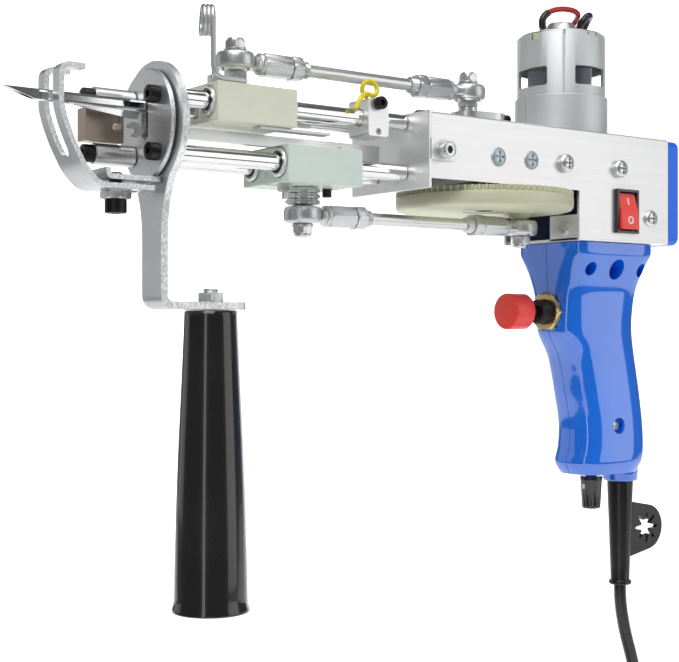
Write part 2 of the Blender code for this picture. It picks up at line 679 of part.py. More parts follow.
def turned(profile, origin, direction, sides, turn=0.0):
    """Solid of revolution from (radius, height) pairs, heights running along the direction.

    A zero radius is a point on the axis. A profile that starts and ends off the axis is a ring.
    """
    frame = Vector((0, 0, 1)).rotation_difference(Vector(direction)).to_matrix()
    start = Vector(origin)
    vertices = []
    rings = []
    for radius, height in profile:
        if radius == 0:
            rings.append([len(vertices)])
            vertices.append(start + frame @ Vector((0, 0, height)))
            continue
        ring = []
        for step in range(sides):
            angle = turn + 2 * math.pi * step / sides
            ring.append(len(vertices))
            across = Vector((radius * math.cos(angle), radius * math.sin(angle), height))
            vertices.append(start + frame @ across)
        rings.append(ring)
    pairs = list(zip(rings, rings[1:]))
    if len(rings[0]) > 1 and len(rings[-1]) > 1:
        pairs.append((rings[-1], rings[0]))
    faces = []
    for first, second in pairs:
        for step in range(sides):
            after = (step + 1) % sides
            if len(first) == 1:
                faces.append((first[0], second[step], second[after]))
            elif len(second) == 1:
                faces.append((first[step], first[after], second[0]))
            else:
                faces.append((first[step], first[after], second[after], second[step]))
    return add_solid(vertices, faces)


def cylinder(radius, start, direction, length, sides):
    """Plain round bar from a start point along a direction."""
    profile = ((0, 0), (radius, 0), (radius, length), (0, length))
    return turned(profile, start, direction, sides)


def hexagon(flats, start, direction, length, turn=0.0):
    """Hexagonal bar, sized across its flats."""
    radius = flats / 2 / math.cos(math.pi / 6)
    profile = ((0, 0), (radius, 0), (radius, length), (0, length))
    return turned(profile, start, direction, 6, turn)


def extruded(outline, low, high, axis):
    """Prism of an outline: (y, z) pairs across X, (x, z) pairs across Y or (x, y) pairs across Z."""
    vertices = []
    for level in (low, high):
        for first, second in outline:
            if axis == "X":
                vertices.append((level, first, second))
            elif axis == "Y":
                vertices.append((first, level, second))
            else:
                vertices.append((first, second, level))
    count = len(outline)
    faces = [tuple(range(count)), tuple(range(2 * count - 1, count - 1, -1))]
    for step in range(count):
        after = (step + 1) % count
        faces.append((step, after, count + after, count + step))
    return add_solid(vertices, faces)


def arc(centre, radius, start, end, steps):
    """Points on an arc between two angles, both ends included."""
    points = []
    for step in range(steps + 1):
        angle = start + (end - start) * step / steps
        points.append((centre[0] + radius * math.cos(angle), centre[1] + radius * math.sin(angle)))
    return points


def rounded_outline(low, high, radius, steps):
    """Outline of a rectangle with round corners."""
    quarter = math.pi / 2
    corners = (
        (high[0] - radius, high[1] - radius),
        (low[0] + radius, high[1] - radius),
        (low[0] + radius, low[1] + radius),
        (high[0] - radius, low[1] + radius),
    )
    points = []
    for number, corner in enumerate(corners):
        points.extend(arc(corner, radius, number * quarter, (number + 1) * quarter, steps))
    return points


def strip_outline(path, thickness):
    """Outline of a bent strip: the path is one face and the other lies to its left."""
    inner = []
    for number, point in enumerate(path):
        here = Vector(point)
        before = Vector(path[max(number - 1, 0)])
        after = Vector(path[min(number + 1, len(path) - 1)])
        first = (here - before).normalized() if number > 0 else (after - here).normalized()
        second = (after - here).normalized() if number < len(path) - 1 else first
        bisector = (first + second).normalized()
        normal = Vector((-bisector.y, bisector.x))
        stretch = thickness / max(normal.dot(Vector((-first.y, first.x))), 0.5)
        inner.append(tuple(here + normal * stretch))
    return list(path) + inner[::-1]


def combine(base, tool, operation):
    """Boolean of two solids; the tool is used up."""
    modifier = base.modifiers.new("Combine", "BOOLEAN")
    modifier.operation = operation
    modifier.solver = "EXACT"
    modifier.object = tool
    graph = bpy.context.evaluated_depsgraph_get()
    graph.update()
    result = bpy.data.meshes.new_from_object(base.evaluated_get(graph))
    base.modifiers.clear()
    base.data = result
    shape = bmesh.new()
    shape.from_mesh(result)
    bmesh.ops.remove_doubles(shape, verts=shape.verts, dist=WELD_DISTANCE)
    bmesh.ops.dissolve_degenerate(shape, edges=shape.edges, dist=WELD_DISTANCE)
    shape.to_mesh(result)
    shape.free()
    bpy.data.objects.remove(tool, do_unlink=True)
    return base


def join(base, *tools):
    """Union of a solid with others."""
    for tool in tools:
        combine(base, tool, "UNION")
    return base


def cut(base, *tools):
    """Solid less others."""
    for tool in tools:
        combine(base, tool, "DIFFERENCE")
    return base


def shared(base, tool):
    """What two solids have in common."""
    return combine(base, tool, "INTERSECT")


def eased(item, width):
    """Bevels every sharp edge of a plain solid."""
    shape = bmesh.new()
    shape.from_mesh(item.data)
    edges = [edge for edge in shape.edges if edge.calc_face_angle() > SHARP_ANGLE]
    bmesh.ops.bevel(shape, geom=edges, offset=width, segments=1, affect="EDGES", clamp_overlap=True)
    shape.to_mesh(item.data)
    shape.free()
    return item


def dome(radius, height, start, direction, sides):
    """Low round head on a flat seat."""
    profile = [(radius * across, height * up) for across, up in DOME_SHARES]
    return turned(profile + [(0, 0)], start, direction, sides)


def cap_screw(head_radius, head_height, shank_radius, shank_length, seat, direction, sides):
    """Socket cap screw: its head rises from the seat along the direction, its shank goes back."""
    socket = head_radius * SOCKET_RADIUS / CAP_HEAD_RADIUS
    depth = head_height * SOCKET_DEPTH / CAP_HEAD_HEIGHT
    profile = (
        (0, head_height - depth),
        (socket, head_height - depth),
        (socket, head_height),
        (head_radius, head_height),
        (head_radius, 0),
        (shank_radius, 0),
        (shank_radius, -shank_length),
        (0, -shank_length),
    )
    return turned(profile, seat, direction, sides)


def smooth_route(points, spacing):
    """Points at a steady spacing on a smooth curve through the route's own points."""
    route = [Vector(point) for point in points]
    samples = []
    for number in range(len(route) - 1):
        before = route[max(number - 1, 0)]
        start = route[number]
        end = route[number + 1]
        after = route[min(number + 2, len(route) - 1)]
        steps = max(1, round((end - start).length / spacing))
        for step in range(steps):
            share = step / steps
            square = share * share
            cube = square * share
            samples.append(
                (start * 2 + (end - before) * share
                 + (before * 2 - start * 5 + end * 4 - after) * square
                 + (start * 3 - before - end * 3 + after) * cube) / 2
            )
    samples.append(route[-1])
    return samples


def add_tube(points, radius, resolution):
    """Tube of one radius along points, as a curve with filled ends."""
    curve = bpy.data.curves.new("tube", "CURVE")
    curve.dimensions = "3D"
    curve.bevel_depth = radius
    curve.bevel_resolution = resolution
    curve.use_fill_caps = True
    spline = curve.splines.new("POLY")
    spline.points.add(len(points) - 1)
    for number, point in enumerate(points):
        spline.points[number].co = (point[0], point[1], point[2], 1)
    item = bpy.data.objects.new("tube", curve)
    bpy.context.scene.collection.objects.link(item)
    return item


def least_gap(points, radius, apart):
    """Smallest clear distance between stretches of a tube that lie apart along it."""
    travelled = [0.0]
    for first, second in zip(points, points[1:]):
        travelled.append(travelled[-1] + (Vector(second) - Vector(first)).length)
    least = LARGE_SPAN
    for number in range(len(points) - 1):
        start = Vector(points[number])
        run = Vector(points[number + 1]) - start
        for other in range(len(points)):
            if abs(travelled[other] - travelled[number]) < apart:
                continue
            if abs(travelled[other] - travelled[number + 1]) < apart:
                continue
            point = Vector(points[other])
            share = min(max((point - start).dot(run) / run.length_squared, 0), 1)
            least = min(least, (point - start - run * share).length - 2 * radius)
    return least


def add_holder(name, place, root):
    """Empty on a joint's axis, which carries the pieces that move there."""
    holder = bpy.data.objects.new(name, None)
    bpy.context.scene.collection.objects.link(holder)
    holder.parent = root
    holder.location = place
    return holder


def finish(item, name, holder, look):
    """Names a piece, hangs it on its holder and gives it its material."""
    item.name = name
    item.data.name = name
    shift = Vector((0, 0, 0)) if holder.parent is None else Vector(holder.location)
    item.data.transform(Matrix.Translation(-shift))
    item.parent = holder
    colour, roughness, metallic = look
    material = bpy.data.materials.new(name)
    material.use_nodes = True
    shader = material.node_tree.nodes["Principled BSDF"]
    shader.inputs["Base Color"].default_value = (*colour, 1)
    shader.inputs["Roughness"].default_value = roughness
    shader.inputs["Metallic"].default_value = metallic
    item.data.materials.clear()
    item.data.materials.append(material)
    if item.type == "MESH":
        item.data.shade_smooth()
        item.data.set_sharp_from_angle(angle=SHARP_ANGLE)
    return item


# Looks: colour, roughness and metalness
ALUMINIUM = ((0.72, 0.73, 0.74), 0.32, 1.0)
ZINC = ((0.50, 0.50, 0.47), 0.42, 1.0)
STEEL = ((0.56, 0.56, 0.57), 0.28, 1.0)
CHROME = ((0.80, 0.80, 0.81), 0.10, 1.0)
BLACK_STEEL = ((0.03, 0.03, 0.035), 0.40, 0.8)
BRASS = ((0.62, 0.45, 0.20), 0.30, 1.0)
OLIVE_NYLON = ((0.42, 0.45, 0.26), 0.50, 0.0)
GREEN_NYLON = ((0.36, 0.44, 0.27), 0.50, 0.0)
CREAM_NYLON = ((0.62, 0.66, 0.50), 0.50, 0.0)
BRONZE = ((0.36, 0.26, 0.17), 0.40, 1.0)
BLACK_PLASTIC = ((0.015, 0.015, 0.017), 0.35, 0.0)
BLUE_PLASTIC = ((0.010, 0.075, 0.30), 0.22, 0.0)
RED_PLASTIC = ((0.55, 0.015, 0.020), 0.25, 0.0)
YELLOW_PLASTIC = ((0.80, 0.58, 0.03), 0.45, 0.0)
COPPER = ((0.60, 0.28, 0.14), 0.35, 1.0)
RED_WIRE = ((0.45, 0.01, 0.015), 0.40, 0.0)


def rod(front_seat, length, side, level, name, holder):
    """Guide rod with its front screw's shank and head, and the spigot behind it."""
    head_front = front_seat - CAP_HEAD_HEIGHT
    socket_floor = head_front + SOCKET_DEPTH
    profile = (
        (0, socket_floor),
        (SOCKET_RADIUS, socket_floor),
        (SOCKET_RADIUS, head_front),
        (CAP_HEAD_RADIUS, head_front),
        (CAP_HEAD_RADIUS, front_seat),
        (DISC_SCREW_RADIUS, front_seat),
        (DISC_SCREW_RADIUS, ROD_FRONT_X),
        (ROD_RADIUS - ROD_CHAMFER, ROD_FRONT_X),
        (ROD_RADIUS, ROD_FRONT_X + ROD_CHAMFER),
        (ROD_RADIUS, ROD_FRONT_X + length),
        (DISC_SCREW_RADIUS, ROD_FRONT_X + length),
        (DISC_SCREW_RADIUS, BOX_FRONT_X - SEAT),
        (0, BOX_FRONT_X - SEAT),
    )
    item = turned(profile, (0, side * ROD_SPREAD, level), (1, 0, 0), SMALL)
    finish(item, name, holder, CHROME)


def make_rods(frame):
    """Four guide rods; the far pair's screws are longer and hold the spacer tubes."""
    near_seat = DISC_FRONT_X - SEAT
    far_seat = DISC_FRONT_X - 2 * SEAT - SPACER_TUBE_LENGTH
    length = ROD_REAR_X - ROD_FRONT_X
    rod(near_seat, length, -1, UPPER_ROD_Z, "rod_upper_near", frame)
    rod(near_seat, length, -1, LOWER_ROD_Z, "rod_lower_near", frame)
    rod(far_seat, length, 1, UPPER_ROD_Z, "rod_upper_far", frame)
    rod(far_seat, length, 1, LOWER_ROD_Z, "rod_lower_far", frame)


def make_spacers(frame):
    """Two spacer tubes on the far screws, and the thread guide block between them."""
    front = DISC_FRONT_X - SEAT - SPACER_TUBE_LENGTH
    profile = (
        (DISC_SCREW_RADIUS + SEAT, 0),
        (SPACER_TUBE_RADIUS, 0),
        (SPACER_TUBE_RADIUS, SPACER_TUBE_LENGTH),
        (DISC_SCREW_RADIUS + SEAT, SPACER_TUBE_LENGTH),
    )
    for name, level in (("spacer_upper", UPPER_ROD_Z), ("spacer_lower", LOWER_ROD_Z)):
        item = turned(profile, (front, ROD_SPREAD, level), (1, 0, 0), SMALL)
        finish(item, name, frame, STEEL)
    low_z = LOWER_ROD_Z + SPACER_TUBE_RADIUS + SEAT
    high_z = UPPER_ROD_Z - SPACER_TUBE_RADIUS - SEAT
    rear = GUIDE_BLOCK_FRONT_X + GUIDE_BLOCK_LENGTH
    block = box((GUIDE_BLOCK_FRONT_X, GUIDE_BLOCK_NEAR_Y, low_z), (rear, GUIDE_BLOCK_FAR_Y, high_z))
    frame_width = GUIDE_BLOCK_FRAME
    cut(
        block,
        box(
            (GUIDE_BLOCK_FRONT_X + frame_width, GUIDE_BLOCK_NEAR_Y - OVERRUN, low_z + frame_width),
            (rear - frame_width, GUIDE_BLOCK_NEAR_Y + GUIDE_BLOCK_RECESS, high_z - frame_width),
        ),
        cylinder(
            GUIDE_HOLE_RADIUS,
            (GUIDE_HOLE_X, GUIDE_BLOCK_NEAR_Y - OVERRUN, (low_z + high_z) / 2),
            (0, 1, 0),
            GUIDE_BLOCK_FAR_Y - GUIDE_BLOCK_NEAR_Y + 2 * OVERRUN,
            TINY,
        ),
    )
    finish(block, "guide_block", frame, BRONZE)


def rod_holes(start, length, clearance):
    """Cutters for the four rod screws, along X."""
    tools = []
    for side in (-1, 1):
        for level in (UPPER_ROD_Z, LOWER_ROD_Z):
            place = (start, side * ROD_SPREAD, level)
            tools.append(cylinder(DISC_SCREW_RADIUS + clearance, place, (1, 0, 0), length, TINY))
    return tools


def travel_slot(front, rear):
    """Cutter for the slot that the needle and the cutter bar run through."""
    return box((front, -SLOT_HALF_WIDTH, SLOT_BOTTOM_Z), (rear, SLOT_HALF_WIDTH, SLOT_TOP_Z))


def make_front_plates(frame):
    """Front disc with its tab, and the round bracket whose arm carries the front handle."""
    disc_rear = DISC_FRONT_X + DISC_THICKNESS
    profile = (
        (0, 0),
        (DISC_RADIUS - DISC_EDGE, 0),
        (DISC_RADIUS, DISC_EDGE),
        (DISC_RADIUS, DISC_THICKNESS),
        (0, DISC_THICKNESS),
    )
    disc = turned(profile, (DISC_FRONT_X, 0, DISC_Z), (1, 0, 0), FINE)
    tab_front = DISC_FRONT_X - TAB_LENGTH
    tab_bottom = TAB_TOP_Z - TAB_THICKNESS
    path = (
        (tab_front, TAB_TOP_Z + TAB_LIP),
        (tab_front, tab_bottom),
        (disc_rear, tab_bottom),
        (disc_rear, DISC_Z - DISC_RADIUS / 2),
        (DISC_FRONT_X, DISC_Z - DISC_RADIUS / 2),
        (DISC_FRONT_X, TAB_TOP_Z),
        (tab_front + TAB_THICKNESS, TAB_TOP_Z),
        (tab_front + TAB_THICKNESS, TAB_TOP_Z + TAB_LIP),
    )
    join(disc, extruded(path, -TAB_HALF_WIDTH, TAB_HALF_WIDTH, "Y"))
    depth = DISC_THICKNESS + 2 * OVERRUN
    cut(disc, travel_slot(DISC_FRONT_X - OVERRUN, disc_rear + OVERRUN))
    cut(disc, *rod_holes(DISC_FRONT_X - OVERRUN, depth, SEAT))
    screw_hole = (FOOT_SCREW_X, 0, tab_bottom - OVERRUN)
    cut(disc, cylinder(FOOT_SCREW_RADIUS + SEAT, screw_hole, (0, 0, 1), TAB_THICKNESS + 2 * OVERRUN, TINY))
    finish(disc, "front_disc", frame, ZINC)

    front = disc_rear + DISC_GAP
    rear = front + BRACKET_THICKNESS
    profile = (
        (0, 0),
        (BRACKET_RADIUS, 0),
        (BRACKET_RADIUS, BRACKET_THICKNESS - DISC_EDGE),
        (BRACKET_RADIUS - DISC_EDGE, BRACKET_THICKNESS),
        (0, BRACKET_THICKNESS),
    )
    bracket = turned(profile, (front, 0, DISC_Z), (1, 0, 0), FINE)
    flange_bottom = FLANGE_TOP_Z - BRACKET_THICKNESS
    inner_radius = BEND_RADIUS - BRACKET_THICKNESS
    centre = (front + BEND_RADIUS, flange_bottom + BEND_RADIUS)
    path = [(front, DISC_Z)]
    path += arc(centre, BEND_RADIUS, math.pi, math.pi * 3 / 2, BEND_STEPS)
    path += [(FLANGE_REAR_X, flange_bottom), (FLANGE_REAR_X, FLANGE_TOP_Z)]
    path += arc(centre, inner_radius, math.pi * 3 / 2, math.pi, BEND_STEPS)
    path += [(rear, DISC_Z)]
    join(bracket, extruded(path, -ARM_HALF_WIDTH, ARM_HALF_WIDTH, "Y"))
    depth = BRACKET_THICKNESS + 2 * OVERRUN
    cut(bracket, travel_slot(front - OVERRUN, rear + OVERRUN))
    cut(bracket, *rod_holes(front - OVERRUN, depth, SEAT))
    bolt_hole = (0, 0, flange_bottom - OVERRUN)
    cut(bracket, cylinder(HANDLE_BOLT_RADIUS + SEAT, bolt_hole, (0, 0, 1), depth, SMALL))
    finish(bracket, "front_bracket", frame, ZINC)


def make_foot(frame, foot_slide):
    """Presser foot, bent from one strip and split into two prongs, and the screw that clamps it."""
    base_bottom = FOOT_BASE_TOP_Z - FOOT_THICKNESS
    hook_end = FOOT_FRONT_X + FOOT_HOOK_LENGTH
    bend = (FOOT_FRONT_X + FOOT_BEND_RADIUS, FOOT_TOP_Z - FOOT_BEND_RADIUS)
    path = [(hook_end, FOOT_TOP_Z)]
    path += arc(bend, FOOT_BEND_RADIUS, math.pi / 2, math.pi, BEND_STEPS)
    for along, down in FOOT_SLOPE_SHARES:
        path.append((
            FOOT_FRONT_X + along * (FOOT_HEEL_X - FOOT_FRONT_X),
            FOOT_SLOPE_TOP_Z - down * (FOOT_SLOPE_TOP_Z - base_bottom),
        ))
    path.append((FOOT_BASE_REAR_X, base_bottom))
    outline = strip_outline(path, FOOT_THICKNESS)
    foot = extruded(outline, -FOOT_HALF_WIDTH, FOOT_HALF_WIDTH, "Y")
    slot_half = FOOT_SCREW_RADIUS + FOOT_SLOT_MARGIN
    slot_front = FOOT_SCREW_X - FOOT_RETURN
    slot_rear = FOOT_SCREW_X + FOOT_TRAVEL
    slot = arc((slot_rear, 0), slot_half, -math.pi / 2, math.pi / 2, BEND_STEPS)
    slot += arc((slot_front, 0), slot_half, math.pi / 2, math.pi * 3 / 2, BEND_STEPS)
    cut(
        foot,
        box(
            (FOOT_FRONT_X - OVERRUN, -FOOT_SLOT_HALF_WIDTH, FOOT_SLOT_BOTTOM_Z),
            (FOOT_HEEL_X, FOOT_SLOT_HALF_WIDTH, FOOT_TOP_Z + OVERRUN),
        ),
        extruded(slot, base_bottom - OVERRUN, FOOT_BASE_TOP_Z + OVERRUN, "Z"),
    )
    finish(foot, "presser_foot", foot_slide, ZINC)

    washer_top = base_bottom - SEAT
    nut_top = washer_top - FOOT_WASHER_HEIGHT
    head_top = nut_top - FOOT_NUT_HEIGHT
    shank = TAB_TOP_Z + FOOT_SCREW_TIP - head_top
    screw = cap_screw(
        FOOT_SCREW_HEAD_RADIUS, FOOT_SCREW_HEAD_HEIGHT, FOOT_SCREW_RADIUS, shank,
        (FOOT_SCREW_X, 0, head_top), (0, 0, -1), SMALL,
    )
    join(
        screw,
        hexagon(FOOT_NUT_FLATS, (FOOT_SCREW_X, 0, head_top - SINK), (0, 0, 1), FOOT_NUT_HEIGHT + 2 * SINK),
        cylinder(FOOT_WASHER_RADIUS, (FOOT_SCREW_X, 0, nut_top), (0, 0, 1), FOOT_WASHER_HEIGHT, SMALL),
    )
    finish(screw, "foot_screw", frame, BLACK_STEEL)


def make_front_handle(frame):
    """Turned front handle, with the bolt that stands up through the bracket's flange."""
    length = HANDLE_TOP_Z - HANDLE_BOTTOM_Z
    foot_top = HANDLE_BOTTOM_Z + HANDLE_FOOT_HEIGHT
    edge = HANDLE_SHOULDER / 2
    profile = [
        (0, HANDLE_BOLT_TOP_Z),
        (HANDLE_BOLT_RADIUS, HANDLE_BOLT_TOP_Z),
        (HANDLE_BOLT_RADIUS, HANDLE_TOP_Z),
        (HANDLE_TOP_RADIUS - edge, HANDLE_TOP_Z),
        (HANDLE_TOP_RADIUS, HANDLE_TOP_Z - edge),
    ]
    for share, swell in HANDLE_SWELL_SHARES:
        profile.append((
            HANDLE_TOP_RADIUS + swell * (HANDLE_BOTTOM_RADIUS - HANDLE_TOP_RADIUS),
            HANDLE_TOP_Z - HANDLE_SHOULDER - share * (length - HANDLE_SHOULDER - HANDLE_FOOT_HEIGHT),
        ))
    profile += [
        (HANDLE_FOOT_RADIUS, foot_top - edge / 2),
        (HANDLE_FOOT_RADIUS, HANDLE_BOTTOM_Z + edge),
        (HANDLE_FOOT_RADIUS - edge, HANDLE_BOTTOM_Z),
        (0, HANDLE_BOTTOM_Z),
    ]
    handle = turned(profile, (0, 0, 0), (0, 0, 1), ROUND)
    join(handle, hexagon(HANDLE_NUT_FLATS, (0, 0, FLANGE_TOP_Z + SEAT), (0, 0, 1), HANDLE_NUT_HEIGHT))
    finish(handle, "front_handle", frame, BLACK_PLASTIC)


def make_holder_plate(frame):
    """Plate across the tube's front end that holds the rods, with its tabs, ledge and screws."""
    front = BOX_FRONT_X - SEAT - HOLDER_THICKNESS
    rear = BOX_FRONT_X - SEAT
    outline = rounded_outline(
        (-HOLDER_HALF_WIDTH, HOLDER_BOTTOM_Z), (HOLDER_HALF_WIDTH, HOLDER_TOP_Z), BLOCK_EDGE, 1
    )
    plate = extruded(outline, front, rear, "X")
    tab_inner = BOX_HALF_WIDTH + SEAT
    tab_rear = BOX_FRONT_X + HOLDER_TAB_LENGTH
    for side in (-1, 1):
        near, far = sorted((side * tab_inner, side * HOLDER_HALF_WIDTH))
        join(plate, box((front + SINK, near, HOLDER_TAB_BOTTOM_Z), (tab_rear, far, HOLDER_TAB_TOP_Z)))
        washer_seat = (HOLDER_SCREW_X, side * (HOLDER_HALF_WIDTH - SINK), SIDE_SCREW_Z)
        washer_height = HOLDER_SCREW_WASHER_HEIGHT + SINK
        washer = cylinder(HOLDER_SCREW_WASHER_RADIUS, washer_seat, (0, side, 0), washer_height, SMALL)
        head_seat = (HOLDER_SCREW_X, side * (HOLDER_HALF_WIDTH + HOLDER_SCREW_WASHER_HEIGHT), SIDE_SCREW_Z)
        shank = HOLDER_HALF_WIDTH + HOLDER_SCREW_WASHER_HEIGHT - BOX_HALF_WIDTH + 2 * BOX_WALL
        screw = cap_screw(
            CAP_HEAD_RADIUS, PAN_HEAD_HEIGHT, SIDE_SCREW_RADIUS, shank, head_seat, (0, side, 0), SMALL
        )
        join(plate, washer, screw)
    ledge_top = BOX_TOP_Z - BOX_WALL - SEAT
    ledge_near = HOLDER_DOME_Y - HOLDER_LEDGE_LENGTH / 2
    ledge_far = HOLDER_DOME_Y + HOLDER_LEDGE_LENGTH / 2
    ledge_rear = BOX_FRONT_X + HOLDER_LEDGE_LENGTH
    dome_x = BOX_FRONT_X + HOLDER_LEDGE_LENGTH / 2
    stem = (dome_x, HOLDER_DOME_Y, ledge_top - SINK)
    ledge_bottom = ledge_top - HOLDER_THICKNESS
    dome_seat = (dome_x, HOLDER_DOME_Y, BOX_TOP_Z + SEAT)
    join(
        plate,
        box((front + SINK, ledge_near, ledge_bottom), (ledge_rear, ledge_far, ledge_top)),
        cylinder(SIDE_SCREW_RADIUS, stem, (0, 0, 1), BOX_WALL + 2 * SEAT + 2 * SINK, TINY),
        dome(HOLDER_DOME_RADIUS, HOLDER_DOME_HEIGHT, dome_seat, (0, 0, 1), SMALL),
    )
    cut(plate, *rod_holes(front - OVERRUN, HOLDER_THICKNESS + 2 * OVERRUN, SEAT))
    cut(plate, cylinder(
        CLAMP_HOLE_RADIUS, (front - OVERRUN, 0, SIDE_SCREW_Z), (1, 0, 0),
        HOLDER_THICKNESS + 2 * OVERRUN, TINY,
    ))
    finish(plate, "rod_holder_plate", frame, ALUMINIUM)


def make_housing(frame):
    """Rectangular aluminium tube, cut away underneath at the front, with its upstand and holes."""
    low = (-BOX_HALF_WIDTH, BOX_BOTTOM_Z)
    high = (BOX_HALF_WIDTH, BOX_TOP_Z)
    inner_low = (-BOX_HALF_WIDTH + BOX_WALL, BOX_BOTTOM_Z + BOX_WALL)
    inner_high = (BOX_HALF_WIDTH - BOX_WALL, BOX_TOP_Z - BOX_WALL)
    shell = extruded(rounded_outline(low, high, BOX_EDGE, 1), BOX_FRONT_X, BOX_REAR_X, "X")
    inner = rounded_outline(inner_low, inner_high, BOX_EDGE / 2, 1)
    cut(shell, extruded(inner, BOX_FRONT_X - OVERRUN, BOX_REAR_X + OVERRUN, "X"))
    wide = BOX_HALF_WIDTH + OVERRUN
    cut(shell, box(
        (BOX_FRONT_X - OVERRUN, -wide, BOX_BOTTOM_Z - OVERRUN),
        (WINDOW_REAR_X, wide, WINDOW_TOP_Z),
    ))
    cut(shell, box(
        (WINDOW_REAR_X - OVERRUN, -wide + BOX_WALL + OVERRUN, BOX_BOTTOM_Z - OVERRUN),
        (FLOOR_FRONT_X, wide - BOX_WALL - OVERRUN, BOX_BOTTOM_Z + BOX_WALL + OVERRUN),
    ))
    floor_top = BOX_BOTTOM_Z + BOX_WALL
    upstand_top = floor_top + UPSTAND_HEIGHT
    middle = (UPSTAND_NEAR_Y + UPSTAND_FAR_Y) / 2
    join(shell, box(
        (FLOOR_FRONT_X, UPSTAND_NEAR_Y, floor_top - SINK),
        (FLOOR_FRONT_X + BOX_WALL, UPSTAND_FAR_Y, upstand_top),
    ))
    nut_place = (FLOOR_FRONT_X + SINK, middle, floor_top + UPSTAND_HEIGHT / 2)
    join(shell, hexagon(LOCK_NUT_FLATS, nut_place, (-1, 0, 0), LOCK_NUT_HEIGHT / 2 + SINK))
    deep = BOX_WALL + 2 * OVERRUN
    top = BOX_TOP_Z - BOX_WALL - OVERRUN
    cut(
        shell,
        cylinder(SHAFT_HOLE_RADIUS, (CRANK_AXIS_X, 0, top), (0, 0, 1), deep, ROUND),
        cylinder(MOTOR_HOLE_RADIUS, (MOTOR_AXIS_X, 0, top), (0, 0, 1), deep, FINE),
        cylinder(LEAD_HOLE_RADIUS, (LEAD_HOLE_X, LEAD_HOLE_Y, top), (0, 0, 1), deep, SMALL),
        cylinder(
            SIDE_SCREW_RADIUS + SEAT,
            (BOX_FRONT_X + HOLDER_LEDGE_LENGTH / 2, HOLDER_DOME_Y, top), (0, 0, 1), deep, TINY,
        ),
    )
    screw_places = (
        (HOLDER_SCREW_X, SIDE_SCREW_Z),
        (BEARING_SCREW_FRONT_X, SIDE_SCREW_Z),
        (BEARING_SCREW_REAR_X, SIDE_SCREW_Z),
        (MOUNT_SCREW_FRONT_X, SIDE_SCREW_Z),
        (MOUNT_SCREW_REAR_X, SIDE_SCREW_Z),
        (BOX_REAR_X - COVER_SCREW_INSET, COVER_SCREW_Z),
    )
    for side in (-1, 1):
        start = side * (BOX_HALF_WIDTH + OVERRUN)
        for x, z in screw_places:
            cut(shell, cylinder(SIDE_SCREW_RADIUS + SEAT, (x, start, z), (0, -side, 0), deep, TINY))
    half_length = ROCKER_FRAME_HALF_LENGTH - ROCKER_BODY_MARGIN + SEAT
    half_width = ROCKER_FRAME_HALF_WIDTH - ROCKER_BODY_MARGIN + SEAT
    cut(shell, box(
        (ROCKER_CENTRE_X - half_width, -wide, ROCKER_CENTRE_Z - half_length),
        (ROCKER_CENTRE_X + half_width, -wide + deep, ROCKER_CENTRE_Z + half_length),
    ))
    finish(shell, "housing_shell", frame, ALUMINIUM)


def make_rear_cover(frame):
    """Blue end cover with a short rim, and two side tongues that its screws hold."""
    front = BOX_REAR_X + SEAT
    rear = front + COVER_THICKNESS
    low = (-BOX_HALF_WIDTH, BOX_BOTTOM_Z)
    high = (BOX_HALF_WIDTH, BOX_TOP_Z)
    cover = extruded(rounded_outline(low, high, COVER_RADIUS, 3), front, rear, "X")
    eased(cover, COVER_LIP_WALL / 2)
    fit = BOX_WALL + SEAT
    rim_low = (-BOX_HALF_WIDTH + fit, BOX_BOTTOM_Z + fit)
    rim_high = (BOX_HALF_WIDTH - fit, BOX_TOP_Z - fit)
    hollow = fit + COVER_LIP_WALL
    hollow_low = (-BOX_HALF_WIDTH + hollow, BOX_BOTTOM_Z + hollow)
    hollow_high = (BOX_HALF_WIDTH - hollow, BOX_TOP_Z - hollow)
    rim_front = front - COVER_RIM_DEPTH
    join(cover, extruded(rounded_outline(rim_low, rim_high, BOX_EDGE, 1), rim_front, front + SINK, "X"))
    recess_rear = rear - COVER_RADIUS / 2
    pocket = extruded(
        rounded_outline(hollow_low, hollow_high, BOX_EDGE, 1), rim_front - OVERRUN, recess_rear, "X"
    )
    cut(cover, pocket)
    tongue_front = BOX_REAR_X - COVER_LIP_DEPTH
    screw_x = BOX_REAR_X - COVER_SCREW_INSET
    for side in (-1, 1):
        outer = side * (BOX_HALF_WIDTH - fit)
        inner = side * (BOX_HALF_WIDTH - hollow)
        near, far = sorted((outer, inner))
        join(cover, box(
            (tongue_front, near, COVER_SCREW_Z - COVER_TONGUE_HALF),
            (front + SINK, far, COVER_SCREW_Z + COVER_TONGUE_HALF),
        ))
        seat = (screw_x, side * (BOX_HALF_WIDTH + SEAT), COVER_SCREW_Z)
        stem = (screw_x, side * (BOX_HALF_WIDTH + SEAT + SINK), COVER_SCREW_Z)
        join(
            cover,
            dome(PAN_HEAD_RADIUS, PAN_HEAD_HEIGHT, seat, (0, side, 0), SMALL),
            cylinder(SIDE_SCREW_RADIUS, stem, (0, -side, 0), hollow, TINY),
        )
    finish(cover, "rear_cover", frame, BLUE_PLASTIC)


